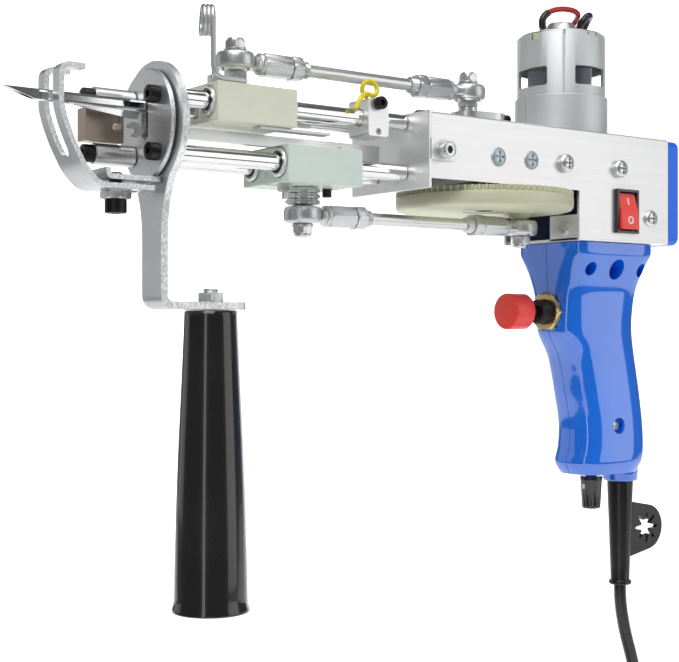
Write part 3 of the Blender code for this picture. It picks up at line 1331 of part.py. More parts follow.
def make_bearing_block(frame):
    """Block inside the tube that carries the main shaft, with its two bearings and side screws."""
    half = BOX_HALF_WIDTH - BOX_WALL - SEAT
    block = box((BEARING_FROM_X, -half, BEARING_BOTTOM_Z), (BEARING_TO_X, half, BEARING_TOP_Z))
    eased(block, BLOCK_EDGE)
    depth = BEARING_TOP_Z - BEARING_BOTTOM_Z
    start = (CRANK_AXIS_X, 0, BEARING_BOTTOM_Z - OVERRUN)
    cut(block, cylinder(SHAFT_RADIUS + RUNNING_GAP, start, (0, 0, 1), depth + 2 * OVERRUN, SMALL))
    for side in (-1, 1):
        for x in (BEARING_SCREW_FRONT_X, BEARING_SCREW_REAR_X):
            seat = (x, side * (BOX_HALF_WIDTH + SEAT), SIDE_SCREW_Z)
            profile = (
                (0, FLAT_HEAD_PROUD),
                (FLAT_HEAD_RADIUS, FLAT_HEAD_PROUD),
                (FLAT_HEAD_RADIUS, 0),
                (SIDE_SCREW_RADIUS, 0),
                (SIDE_SCREW_RADIUS, -2 * BOX_WALL - 2 * SEAT),
                (0, -2 * BOX_WALL - 2 * SEAT),
            )
            join(block, turned(profile, seat, (0, side, 0), SMALL))
    finish(block, "bearing_block", frame, ALUMINIUM)


def make_block(name, holder, centre_x, rod_z, look, extras):
    """Sliding block with its two bush bores and its edges eased."""
    top = rod_z + ROD_BELOW_TOP
    low = (centre_x - BLOCK_LENGTH / 2, -BLOCK_HALF_WIDTH, top - BLOCK_HEIGHT)
    high = (centre_x + BLOCK_LENGTH / 2, BLOCK_HALF_WIDTH, top)
    block = eased(box(low, high), BLOCK_EDGE)
    bore = BUSH_RADIUS + SEAT
    for side in (-1, 1):
        start = (low[0] - OVERRUN, side * ROD_SPREAD, rod_z)
        cut(block, cylinder(bore, start, (1, 0, 0), BLOCK_LENGTH + 2 * OVERRUN, ROUND))
    extras(block, low, high)
    finish(block, name, holder, look)


def lock_screw(x, seat_z, up):
    """Small locking screw with its nut on a block's face, to be joined to the block."""
    nut = hexagon(LOCK_NUT_FLATS, (x, LOCK_SCREW_OFFSET_Y, seat_z - up * SINK), (0, 0, up), LOCK_NUT_HEIGHT)
    start = (x, LOCK_SCREW_OFFSET_Y, seat_z)
    return join(nut, cylinder(LOCK_SCREW_RADIUS, start, (0, 0, up), LOCK_SCREW_LENGTH, TINY))


def upper_block_extras(block, low, high):
    """Needle socket, link pin hole, locking screw, flush screw and the strap underneath."""
    needle_bottom = NEEDLE_TOP_Z - NEEDLE_HEIGHT
    cut(
        block,
        box(
            (low[0] - OVERRUN, -NEEDLE_HALF_WIDTH - SEAT, needle_bottom - SEAT),
            (low[0] + NEEDLE_SOCKET_DEPTH, NEEDLE_HALF_WIDTH + SEAT, NEEDLE_TOP_Z + SEAT),
        ),
        cylinder(
            PIN_RADIUS + SEAT, (UPPER_BLOCK_X, 0, high[2] - PIN_DEPTH - SEAT), (0, 0, 1),
            PIN_DEPTH + SEAT + OVERRUN, SMALL,
        ),
    )
    join(block, lock_screw(low[0] + LOCK_SCREW_INSET_X, high[2], 1))
    strap_top = low[2] - STRAP_DROP
    strap = box(
        (STRAP_FROM_X, STRAP_NEAR_Y, strap_top - STRAP_THICKNESS),
        (STRAP_TO_X, STRAP_FAR_Y, strap_top),
    )
    pad = box(
        (STRAP_FROM_X + STRAP_PAD_INSET, STRAP_NEAR_Y + STRAP_PAD_INSET, strap_top - STRAP_THICKNESS / 2),
        (high[0] - STRAP_PAD_INSET, STRAP_FAR_Y - STRAP_PAD_INSET, low[2] + STRAP_DROP),
    )
    join(strap, pad)
    join(block, strap)
    flush = (UPPER_BLOCK_X + BLOCK_LENGTH * FLUSH_SCREW_SHARE, FLUSH_SCREW_Y, high[2] - SINK)
    join(block, cylinder(LOWER_STUD_RADIUS, flush, (0, 0, 1), 2 * SINK, SMALL))


def lower_block_extras(block, low, high):
    """Link pin hole, locking screw, stud and dome screw underneath."""
    cut(block, cylinder(
        PIN_RADIUS + SEAT, (LOWER_BLOCK_X, 0, low[2] - OVERRUN), (0, 0, 1), PIN_DEPTH + SEAT + OVERRUN, SMALL
    ))
    join(block, lock_screw(low[0] + LOCK_SCREW_INSET_X, low[2], -1))
    stud = (LOWER_STUD_X, 0, low[2] + SINK)
    join(
        block,
        cylinder(LOWER_STUD_RADIUS, stud, (0, 0, -1), LOWER_STUD_HEIGHT + SINK, SMALL),
        dome(
            LOWER_DOME_RADIUS, LOWER_DOME_HEIGHT + SINK,
            (LOWER_DOME_X - LOWER_DOME_RADIUS, LOWER_DOME_Y, low[2] + SINK), (0, 0, -1), SMALL,
        ),
    )


def make_bushes(prefix, holder, centre_x, rod_z):
    """Two flanged-looking bushes pressed through a block; each stands proud at both ends."""
    half = BLOCK_LENGTH / 2 + BUSH_PROUD
    step = BUSH_STEP
    bore = ROD_RADIUS + RUNNING_GAP
    profile = (
        (bore, -half),
        (BUSH_STEP_RADIUS, -half),
        (BUSH_RADIUS, -half + step),
        (BUSH_RADIUS, half - step),
        (BUSH_STEP_RADIUS, half),
        (bore, half),
    )
    for side, word in ((-1, "near"), (1, "far")):
        item = turned(profile, (centre_x, side * ROD_SPREAD, rod_z), (1, 0, 0), ROUND)
        finish(item, prefix + "_bush_" + word, holder, BLACK_PLASTIC)


def link_pin(x, seat_z, eye_z, up, spacer, depth):
    """Bolt, ball and spacers of one rod end; the direction up is 1 or -1 from its seat."""
    axis = (0, 0, up)
    reach = abs(eye_z - seat_z)
    ball_low = reach - BALL_HALF
    profile = [(0, -depth), (PIN_RADIUS, -depth), (PIN_RADIUS, ball_low)]
    for step in range(BALL_STEPS + 1):
        height = -BALL_HALF + 2 * BALL_HALF * step / BALL_STEPS
        profile.append((math.sqrt(BALL_RADIUS ** 2 - height ** 2), reach + height))
    head_seat = reach + BALL_HALF
    profile += [
        (PIN_WASHER_RADIUS, head_seat),
        (PIN_WASHER_RADIUS, head_seat + PIN_WASHER_HEIGHT),
        (PIN_RADIUS, head_seat + PIN_WASHER_HEIGHT),
        (PIN_RADIUS, head_seat + PIN_WASHER_HEIGHT + PIN_HEAD_HEIGHT),
        (0, head_seat + PIN_WASHER_HEIGHT + PIN_HEAD_HEIGHT),
    ]
    pin = turned(profile, (x, 0, seat_z), axis, SMALL)
    head_start = (x, 0, seat_z + up * (head_seat + PIN_WASHER_HEIGHT - SINK))
    join(pin, hexagon(PIN_HEAD_FLATS, head_start, axis, PIN_HEAD_HEIGHT + SINK, math.pi / 6))
    spacer(pin, x, seat_z, up, ball_low)
    return pin


def upper_spacer(pin, x, seat_z, up, length):
    """Round collar on the seat and a hexagon nut above it."""
    nut_height = length * UPPER_NUT_SHARE
    collar_length = length - nut_height
    collar = cylinder(SPACER_COLLAR_RADIUS, (x, 0, seat_z + up * SEAT), (0, 0, up), collar_length, SMALL)
    nut_start = (x, 0, seat_z + up * (length - nut_height))
    join(pin, collar, hexagon(UPPER_SPACER_FLATS, nut_start, (0, 0, up), nut_height - SPACER_GROOVE))


def lower_spacer(pin, x, seat_z, up, length):
    """Stack of hexagon rings with a groove between each two."""
    pitch = (length - SEAT) / LOWER_SPACER_RINGS
    for ring in range(LOWER_SPACER_RINGS):
        start = (x, 0, seat_z + up * (SEAT + ring * pitch))
        join(pin, hexagon(LOWER_SPACER_FLATS, start, (0, 0, up), pitch - SPACER_GROOVE))


def rear_lower_spacer(pin, x, seat_z, up, length):
    """Plain collar between the gear's underside and the ball."""
    collar_length = length - SEAT - SPACER_GROOVE
    join(pin, cylinder(SPACER_COLLAR_RADIUS, (x, 0, seat_z + up * SEAT), (0, 0, up), collar_length, SMALL))


def make_rod_end(name, holder, eye_x, eye_z, towards):
    """Rod end: a round eye, a neck and a hexagon shank with a blind bore; towards is 1 or -1."""
    eye = turned(
        (
            (BALL_RADIUS + RUNNING_GAP, -EYE_HALF),
            (EYE_RADIUS, -EYE_HALF),
            (EYE_RADIUS, EYE_HALF),
            (BALL_RADIUS + RUNNING_GAP, EYE_HALF),
        ),
        (eye_x, 0, eye_z), (0, 0, 1), ROUND,
    )
    axis = (towards, 0, 0)
    neck_from = BALL_RADIUS + RUNNING_GAP + (EYE_RADIUS - BALL_RADIUS) / 2
    low, high = sorted((eye_x + towards * neck_from, eye_x + towards * (SHANK_FROM + SINK)))
    neck = box(
        (low, -NECK_HALF_WIDTH, eye_z - EYE_HALF + ROD_CHAMFER),
        (high, NECK_HALF_WIDTH, eye_z + EYE_HALF - ROD_CHAMFER),
    )
    shank = hexagon(
        SHANK_FLATS, (eye_x + towards * SHANK_FROM, 0, eye_z), axis, SHANK_TO - SHANK_FROM, math.pi / 6
    )
    join(eye, neck, shank)
    bore_from = eye_x + towards * (SHANK_TO - SHANK_BORE_DEPTH)
    cut(eye, cylinder(
        LINK_ROD_RADIUS + SEAT, (bore_from, 0, eye_z), axis, SHANK_BORE_DEPTH + OVERRUN, SMALL
    ))
    finish(eye, name, holder, ZINC)


def make_link_rod(name, holder, front_x, level):
    """Link rod with a threaded stub and a jam nut at each end."""
    inner = SHANK_TO - SHANK_BORE_DEPTH + SEAT
    profile = (
        (0, inner),
        (LINK_ROD_RADIUS, inner),
        (LINK_ROD_RADIUS, JAM_NUT_FROM),
        (STUB_RADIUS, JAM_NUT_FROM),
        (STUB_RADIUS, STUB_TO),
        (LINK_ROD_RADIUS, STUB_TO),
        (LINK_ROD_RADIUS, LINK_LENGTH - STUB_TO),
        (STUB_RADIUS, LINK_LENGTH - STUB_TO),
        (STUB_RADIUS, LINK_LENGTH - JAM_NUT_FROM),
        (LINK_ROD_RADIUS, LINK_LENGTH - JAM_NUT_FROM),
        (LINK_ROD_RADIUS, LINK_LENGTH - inner),
        (0, LINK_LENGTH - inner),
    )
    item = turned(profile, (front_x, 0, level), (1, 0, 0), SMALL)
    width = JAM_NUT_TO - JAM_NUT_FROM
    front = (front_x + JAM_NUT_FROM, 0, level)
    rear = (front_x + LINK_LENGTH - JAM_NUT_TO, 0, level)
    join(item, hexagon(JAM_NUT_FLATS, front, (1, 0, 0), width, math.pi / 6))
    join(item, hexagon(JAM_NUT_FLATS, rear, (1, 0, 0), width, math.pi / 6))
    finish(item, name, holder, STEEL)


def make_needle(holder):
    """Hollow needle with a slanted cut at its tip and a thin fin underneath."""
    rear = UPPER_BLOCK_X - BLOCK_LENGTH / 2 + NEEDLE_SOCKET_DEPTH - SEAT
    bottom = NEEDLE_TOP_Z - NEEDLE_HEIGHT
    outline = rounded_outline(
        (-NEEDLE_HALF_WIDTH, bottom), (NEEDLE_HALF_WIDTH, NEEDLE_TOP_Z),
        NEEDLE_HALF_WIDTH * NEEDLE_ROUND_SHARE, 3,
    )
    needle = extruded(outline, NEEDLE_TIP_X, rear, "X")
    wall = NEEDLE_WALL
    inner_half = NEEDLE_HALF_WIDTH - wall
    inner = rounded_outline(
        (-inner_half, bottom + wall), (inner_half, NEEDLE_TOP_Z - wall), inner_half * NEEDLE_ROUND_SHARE, 2
    )
    cut(needle, extruded(inner, NEEDLE_TIP_X - OVERRUN, rear - NEEDLE_SOCKET_DEPTH, "X"))
    slope = (NEEDLE_BEVEL_X - NEEDLE_TIP_X) / NEEDLE_HEIGHT
    wedge = (
        (NEEDLE_TIP_X - OVERRUN, NEEDLE_TOP_Z + OVERRUN / slope),
        (NEEDLE_TIP_X - OVERRUN, bottom - OVERRUN),
        (NEEDLE_BEVEL_X + OVERRUN * slope, bottom - OVERRUN),
    )
    cut(needle, extruded(wedge, -NEEDLE_HALF_WIDTH - OVERRUN, NEEDLE_HALF_WIDTH + OVERRUN, "Y"))
    mouth_rear = NEEDLE_FIN_REAR_X + NEEDLE_MOUTH_LENGTH
    fin = (
        (NEEDLE_FIN_FRONT_X, bottom + wall / 2),
        (NEEDLE_FIN_REAR_X - NEEDLE_FIN_DROP, bottom - NEEDLE_FIN_DROP),
        (NEEDLE_FIN_REAR_X, bottom - NEEDLE_FIN_DROP),
        (NEEDLE_FIN_REAR_X + NEEDLE_FIN_DROP / 2, bottom + wall / 2),
    )
    join(needle, extruded(fin, -NEEDLE_FIN_HALF, NEEDLE_FIN_HALF, "Y"))
    cut(needle, box(
        (NEEDLE_FIN_REAR_X + NEEDLE_FIN_DROP, -inner_half, NEEDLE_TOP_Z - 2 * wall),
        (mouth_rear, inner_half, NEEDLE_TOP_Z + OVERRUN),
    ))
    finish(needle, "needle", holder, CHROME)


def make_cutter(holder):
    """Cutter bar on the lower block, with its dropped tail, and the hooked scissor blade."""
    bottom = LOWER_ROD_Z + ROD_BELOW_TOP + SEAT
    top = bottom + BAR_HEIGHT
    tail_front = LOWER_BLOCK_X + BLOCK_LENGTH / 2 + BAR_TAIL_GAP
    bar_rear = tail_front + BAR_TAIL_SHARE * (ROD_REAR_X - tail_front)
    outline = (
        (BAR_FRONT_X, bottom),
        (tail_front, bottom),
        (tail_front, bottom - BAR_TAIL_DROP),
        (bar_rear, bottom - BAR_TAIL_DROP),
        (bar_rear, top),
        (BAR_FRONT_X, top),
    )
    bar = extruded(outline, -BAR_HALF_WIDTH, BAR_HALF_WIDTH, "Y")
    slot = BLADE_HALF_WIDTH + SEAT
    blade_rear = BAR_FRONT_X + BLADE_LAP
    cut(bar, box((BAR_FRONT_X - OVERRUN, -slot, bottom - OVERRUN), (blade_rear + SEAT, slot, top + OVERRUN)))
    finish(bar, "cutter_bar", holder, STEEL)
    length = BAR_FRONT_X - BLADE_FRONT_X
    height = BLADE_TOP_Z - BLADE_BOTTOM_Z
    points = []
    for along, up in BLADE_OUTLINE_SHARES:
        points.append((BLADE_FRONT_X + along * length, BLADE_BOTTOM_Z + up * height))
    tang_low = BLADE_BOTTOM_Z + BLADE_TANG_LOW_SHARE * height
    tang_high = BLADE_BOTTOM_Z + BLADE_TANG_HIGH_SHARE * height
    points += [(blade_rear, tang_low), (blade_rear, tang_high)]
    blade = extruded(points, -BLADE_HALF_WIDTH, BLADE_HALF_WIDTH, "Y")
    finish(blade, "scissor_blade", holder, STEEL)


def make_yarn_guide(holder):
    """Guide wire: a foot along the block's top, a leg, and an open coil for the yarn."""
    foot_z = UPPER_ROD_Z + ROD_BELOW_TOP + SEAT + WIRE_RADIUS
    radius = WIRE_BEND_RADIUS
    foot_end = WIRE_LEG_X + WIRE_FOOT_LENGTH
    points = [(foot_end, WIRE_LEG_Y, foot_z), ((foot_end + WIRE_LEG_X + radius) / 2, WIRE_LEG_Y, foot_z)]
    centre = (WIRE_LEG_X + radius, foot_z + radius)
    for x, z in arc(centre, radius, -math.pi / 2, -math.pi, WIRE_BEND_STEPS):
        points.append((x, WIRE_LEG_Y, z))
    points.append((WIRE_LEG_X, WIRE_LEG_Y, (foot_z + radius + WIRE_LEG_TOP_Z) / 2))
    across = Vector((-math.sin(WIRE_COIL_YAW), math.cos(WIRE_COIL_YAW), 0))
    forward = Vector((-math.cos(WIRE_COIL_YAW), -math.sin(WIRE_COIL_YAW), 0))
    middle = Vector((WIRE_LEG_X, WIRE_LEG_Y, WIRE_LEG_TOP_Z)) + across * WIRE_COIL_RADIUS
    steps = round(WIRE_COIL_TURNS * WIRE_POINTS_PER_TURN)
    coil = []
    for step in range(steps + 1):
        angle = 2 * math.pi * step / WIRE_POINTS_PER_TURN
        side = across * (-math.cos(angle) * WIRE_COIL_RADIUS)
        rise = Vector((0, 0, math.sin(angle) * WIRE_COIL_RADIUS))
        run = forward * (WIRE_COIL_PITCH * angle / 2 / math.pi)
        coil.append(middle + side + rise + run)
    print("yarn guide's least gap to itself", least_gap(coil, WIRE_RADIUS, 4 * WIRE_COIL_RADIUS))
    finish(add_tube(points + coil, WIRE_RADIUS, 1), "yarn_guide", holder, ZINC)


def make_rod_clamp(frame):
    """Split clamp on the near upper rod with its pinch screw, and the yellow cable loop on it."""
    low_y = -ROD_SPREAD - CLAMP_HALF_WIDTH
    high_y = -ROD_SPREAD + CLAMP_HALF_WIDTH
    middle_x = (CLAMP_FROM_X + CLAMP_TO_X) / 2
    block = box((CLAMP_FROM_X, low_y, CLAMP_BOTTOM_Z), (CLAMP_TO_X, high_y, CLAMP_TOP_Z))
    eased(block, BLOCK_EDGE)
    length = CLAMP_TO_X - CLAMP_FROM_X + 2 * OVERRUN
    bore_start = (CLAMP_FROM_X - OVERRUN, -ROD_SPREAD, UPPER_ROD_Z)
    cut(
        block,
        cylinder(ROD_RADIUS + SEAT, bore_start, (1, 0, 0), length, SMALL),
        box(
            (CLAMP_FROM_X - OVERRUN, -ROD_SPREAD - CLAMP_SLIT_HALF, UPPER_ROD_Z),
            (CLAMP_TO_X + OVERRUN, -ROD_SPREAD + CLAMP_SLIT_HALF, CLAMP_TOP_Z + OVERRUN),
        ),
        cylinder(CLAMP_HOLE_RADIUS, (middle_x, low_y - OVERRUN, CLAMP_HOLE_Z), (0, 1, 0), 2 * OVERRUN, TINY),
    )
    seat = (middle_x, low_y - SINK / 2, CLAMP_SCREW_Z + SINK)
    join(block, cap_screw(
        CLAMP_SCREW_HEAD_RADIUS, CLAMP_SCREW_HEAD_HEIGHT, CRANK_SCREW_RADIUS,
        CLAMP_HALF_WIDTH * 2 - BLOCK_EDGE, seat, (0, -1, 0), SMALL,
    ))
    finish(block, "rod_clamp", frame, ALUMINIUM)
    seat_z = CLAMP_TOP_Z + SEAT + LOOP_BAND_RADIUS
    start_y = low_y + LOOP_BAND_RADIUS + BLOCK_EDGE
    points = [
        (LOOP_TAIL_X, start_y - LOOP_BAND_RADIUS, seat_z - 2 * LOOP_RING_RADIUS),
        ((LOOP_TAIL_X + CLAMP_FROM_X) / 2, start_y - LOOP_BAND_RADIUS / 2, seat_z - LOOP_RING_RADIUS / 2),
        (CLAMP_FROM_X, start_y, seat_z + LOOP_BAND_RADIUS / 2),
    ]
    for step in range(LOOP_STEPS + 1):
        angle = 2 * math.pi * step / LOOP_STEPS - math.pi / 2
        points.append((
            CLAMP_FROM_X + LOOP_RING_RADIUS + LOOP_RING_RADIUS * math.cos(angle),
            start_y + LOOP_SIDE_STEP * step / LOOP_STEPS,
            seat_z + LOOP_RING_RADIUS * (1 + math.sin(angle)),
        ))
    route = smooth_route(points, LOOP_RING_RADIUS)
    print("cable loop's least gap to itself", least_gap(route, LOOP_BAND_RADIUS, 3 * LOOP_RING_RADIUS))
    finish(add_tube(route, LOOP_BAND_RADIUS, 1), "cable_loop", frame, YELLOW_PLASTIC)


def gear_outline(teeth, turn):
    """Outline of a spur gear with straight-sided teeth, narrowest at their tips."""
    pitch_radius = GEAR_MODULE * teeth / 2
    points = []
    for tooth in range(teeth):
        middle = turn + 2 * math.pi * tooth / teeth
        for radius, half in (
            (pitch_radius - DEDENDUM, -TOOTH_ROOT_WIDTH / 2),
            (pitch_radius + ADDENDUM, -TOOTH_TIP_WIDTH / 2),
            (pitch_radius + ADDENDUM, TOOTH_TIP_WIDTH / 2),
            (pitch_radius - DEDENDUM, TOOTH_ROOT_WIDTH / 2),
        ):
            angle = middle + half / radius
            points.append((radius * math.cos(angle), radius * math.sin(angle)))
    return points


def shifted(outline, centre_x):
    """Outline moved along X."""
    return [(x + centre_x, y) for x, y in outline]


def make_crank(holder):
    """Main shaft, the large gear below and the split crank arm above."""
    collar_low = GEAR_BOTTOM_Z + GEAR_THICKNESS + SEAT
    collar_high = BEARING_BOTTOM_Z - SEAT
    profile = (
        (0, SHAFT_BOTTOM_Z),
        (SHAFT_RADIUS - ROD_CHAMFER, SHAFT_BOTTOM_Z),
        (SHAFT_RADIUS, SHAFT_BOTTOM_Z + ROD_CHAMFER),
        (SHAFT_RADIUS, collar_low),
        (SHAFT_COLLAR_RADIUS, collar_low),
        (SHAFT_COLLAR_RADIUS, collar_high),
        (SHAFT_RADIUS, collar_high),
        (SHAFT_RADIUS, SHAFT_TOP_Z - ROD_CHAMFER),
        (SHAFT_RADIUS - ROD_CHAMFER, SHAFT_TOP_Z),
        (0, SHAFT_TOP_Z),
    )
    finish(turned(profile, (CRANK_AXIS_X, 0, 0), (0, 0, 1), SMALL), "main_shaft", holder, STEEL)
    gear_top = GEAR_BOTTOM_Z + GEAR_THICKNESS
    gear = extruded(shifted(gear_outline(GEAR_TEETH, 0), CRANK_AXIS_X), GEAR_BOTTOM_Z, gear_top, "Z")
    start = (CRANK_AXIS_X, 0, GEAR_BOTTOM_Z - OVERRUN)
    cut(gear, cylinder(SHAFT_RADIUS + SEAT, start, (0, 0, 1), GEAR_THICKNESS + 2 * OVERRUN, SMALL))
    finish(gear, "drive_gear", holder, CREAM_NYLON)
    pin_x = CRANK_AXIS_X - NEEDLE_THROW
    top = CRANK_BOTTOM_Z + CRANK_HEIGHT
    hub = arc((CRANK_AXIS_X, 0), CRANK_HUB_RADIUS, -math.pi / 2, math.pi / 2, BEND_STEPS * 2)
    nose = arc((pin_x, 0), CRANK_END_RADIUS, math.pi / 2, math.pi * 3 / 2, BEND_STEPS * 2)
    arm = eased(extruded(hub + nose, CRANK_BOTTOM_Z, top, "Z"), ROD_CHAMFER)
    under = CRANK_BOTTOM_Z - OVERRUN
    tall = CRANK_HEIGHT + 2 * OVERRUN
    cut(
        arm,
        cylinder(SHAFT_RADIUS + SEAT, (CRANK_AXIS_X, 0, under), (0, 0, 1), tall, SMALL),
        box(
            (CRANK_AXIS_X, -CRANK_SLIT_HALF, under),
            (CRANK_AXIS_X + CRANK_HUB_RADIUS + OVERRUN, CRANK_SLIT_HALF, under + tall),
        ),
    )
    across = CRANK_HUB_RADIUS - CRANK_SCREW_RADIUS
    seat = (CRANK_AXIS_X + CRANK_SCREW_OFFSET, -CRANK_SCREW_SEAT, CRANK_BOTTOM_Z + CRANK_HEIGHT / 2)
    join(arm, cap_screw(
        CRANK_SCREW_HEAD_RADIUS, CRANK_SCREW_HEAD_HEIGHT, CRANK_SCREW_RADIUS,
        across + CRANK_SCREW_SEAT - SINK, seat, (0, -1, 0), TINY,
    ))
    finish(arm, "upper_crank", holder, STEEL)


def make_motor(frame, motor_spin):
    """Motor: can with vents, flux ring, end cap, rotor inside, pinion, and its two leads."""
    centre = (MOTOR_AXIS_X, 0, 0)
    inner = MOTOR_RADIUS - MOTOR_WALL
    hole = MOTOR_SHAFT_RADIUS + RUNNING_GAP
    nose_bottom = MOTOR_BOTTOM_Z - MOTOR_NOSE_HEIGHT
    profile = (
        (hole, nose_bottom),
        (MOTOR_NOSE_RADIUS, nose_bottom),
        (MOTOR_NOSE_RADIUS, MOTOR_BOTTOM_Z),
        (MOTOR_RADIUS - MOTOR_EDGE, MOTOR_BOTTOM_Z),
        (MOTOR_RADIUS, MOTOR_BOTTOM_Z + MOTOR_EDGE),
        (MOTOR_RADIUS, MOTOR_TOP_Z),
        (inner, MOTOR_TOP_Z),
        (inner, MOTOR_BOTTOM_Z + MOTOR_EDGE),
        (hole, MOTOR_BOTTOM_Z + MOTOR_EDGE),
    )
    can = turned(profile, centre, (0, 0, 1), FINE)
    for vent in range(VENT_COUNT):
        angle = 2 * math.pi * vent / VENT_COUNT
        tool = box(
            (inner / 2, -VENT_HALF_WIDTH, VENT_BOTTOM_Z),
            (MOTOR_RADIUS + OVERRUN, VENT_HALF_WIDTH, VENT_TOP_Z),
        )
        tool.data.transform(Matrix.Translation(Vector(centre)) @ Matrix.Rotation(angle, 4, "Z"))
        cut(can, tool)
    finish(can, "motor_can", frame, STEEL)

    low = MOTOR_RADIUS + SEAT
    profile = (
        (low, FLUX_BOTTOM_Z),
        (FLUX_RADIUS, FLUX_BOTTOM_Z),
        (FLUX_RADIUS, FLUX_TOP_Z),
        (low, FLUX_TOP_Z),
    )
    ring = turned(profile, centre, (0, 0, 1), FINE)
    seam_low = FLUX_BOTTOM_Z - OVERRUN
    cut(ring, box(
        (MOTOR_AXIS_X - FLUX_SEAM_HALF, -FLUX_RADIUS - OVERRUN, seam_low),
        (MOTOR_AXIS_X + FLUX_SEAM_HALF, -FLUX_RADIUS + FLUX_SEAM_DEPTH, FLUX_TOP_Z + OVERRUN),
    ))
    finish(ring, "motor_flux_ring", frame, ZINC)

    plate_bottom = MOTOR_TOP_Z + SEAT
    plate_top = plate_bottom + CAP_PLATE_THICKNESS
    boss_top = plate_top + CAP_BOSS_HEIGHT
    edge = CAP_PLATE_THICKNESS / 2
    rim = MOTOR_RADIUS - edge
    plug = inner - SEAT
    plug_bottom = MOTOR_TOP_Z - CAP_PLUG_DEPTH
    profile = (
        (0, plate_bottom + CAP_PLATE_THICKNESS + CAP_BOSS_HEIGHT / 2),
        (hole, plate_bottom + CAP_PLATE_THICKNESS + CAP_BOSS_HEIGHT / 2),
        (hole, plug_bottom),
        (plug, plug_bottom),
        (plug, plate_bottom),
        (rim, plate_bottom),
        (rim, plate_top - edge),
        (rim - edge, plate_top),
        (CAP_BOSS_RADIUS, plate_top),
        (CAP_BOSS_RADIUS, boss_top - edge),
        (CAP_BOSS_RADIUS - edge, boss_top),
        (0, boss_top),
    )
    cap = turned(profile, centre, (0, 0, 1), FINE)
    for side in (-1, 1):
        x = MOTOR_AXIS_X + side * TERMINAL_OFFSET
        y = side * RED_LEAD_ROUTE[0][1] * -1
        join(cap, box(
            (x - TERMINAL_HALF_LENGTH, y - TERMINAL_HALF_WIDTH, plate_top - SINK),
            (x + TERMINAL_HALF_LENGTH, y + TERMINAL_HALF_WIDTH, plate_top + TERMINAL_HEIGHT),
        ))
    finish(cap, "motor_end_cap", frame, ZINC)

    profile = (
        (0, MOTOR_SHAFT_BOTTOM_Z),
        (MOTOR_SHAFT_RADIUS, MOTOR_SHAFT_BOTTOM_Z),
        (MOTOR_SHAFT_RADIUS, ARMATURE_BOTTOM_Z),
        (ARMATURE_RADIUS, ARMATURE_BOTTOM_Z),
        (ARMATURE_RADIUS, ARMATURE_TOP_Z),
        (FAN_HUB_RADIUS, ARMATURE_TOP_Z),
        (FAN_HUB_RADIUS, FAN_TOP_Z + ARMATURE_GAP),
        (MOTOR_SHAFT_RADIUS, FAN_TOP_Z + ARMATURE_GAP),
        (MOTOR_SHAFT_RADIUS, MOTOR_SHAFT_TOP_Z),
        (0, MOTOR_SHAFT_TOP_Z),
    )
    rotor = turned(profile, centre, (0, 0, 1), ROUND)
    disc_bottom = VENT_BOTTOM_Z - ARMATURE_GAP
    join(rotor, cylinder(FAN_RADIUS, (MOTOR_AXIS_X, 0, disc_bottom), (0, 0, 1), ARMATURE_GAP / 2, ROUND))
    for blade in range(FAN_BLADES):
        tool = box(
            (FAN_HUB_RADIUS - SINK, -FAN_BLADE_HALF, disc_bottom + SINK),
            (FAN_RADIUS - SINK, FAN_BLADE_HALF, FAN_TOP_Z),
        )
        turn = Matrix.Rotation(2 * math.pi * blade / FAN_BLADES, 4, "Z")
        tool.data.transform(Matrix.Translation(Vector(centre)) @ turn)
        join(rotor, tool)
    finish(rotor, "rotor", motor_spin, COPPER)

    bottom = GEAR_BOTTOM_Z + (GEAR_THICKNESS - PINION_THICKNESS) / 2
    turn = math.pi + math.pi / PINION_TEETH
    outline = shifted(gear_outline(PINION_TEETH, turn), MOTOR_AXIS_X)
    pinion = extruded(outline, bottom, bottom + PINION_THICKNESS, "Z")
    start = (MOTOR_AXIS_X, 0, bottom - OVERRUN)
    cut(pinion, cylinder(MOTOR_SHAFT_RADIUS + SEAT, start, (0, 0, 1), PINION_THICKNESS + 2 * OVERRUN, SMALL))
    hub_top = (MOTOR_AXIS_X, 0, bottom + PINION_THICKNESS - SINK)
    hub = turned(
        (
            (MOTOR_SHAFT_RADIUS + SEAT, 0),
            (PINION_HUB_RADIUS, 0),
            (PINION_HUB_RADIUS, PINION_HUB_HEIGHT + SINK),
            (MOTOR_SHAFT_RADIUS + SEAT, PINION_HUB_HEIGHT + SINK),
        ),
        hub_top, (0, 0, 1), SMALL,
    )
    join(pinion, hub)
    finish(pinion, "pinion", motor_spin, BRASS)

    for name, route, look in (
        ("motor_wire_red", RED_LEAD_ROUTE, RED_WIRE), ("motor_wire_black", BLACK_LEAD_ROUTE, BLACK_PLASTIC),
    ):
        points = [(MOTOR_AXIS_X + x, y, z) for x, y, z in route]
        finish(add_tube(smooth_route(points, LEAD_STEP), WIRE_LEAD_RADIUS, 2), name, frame, look)


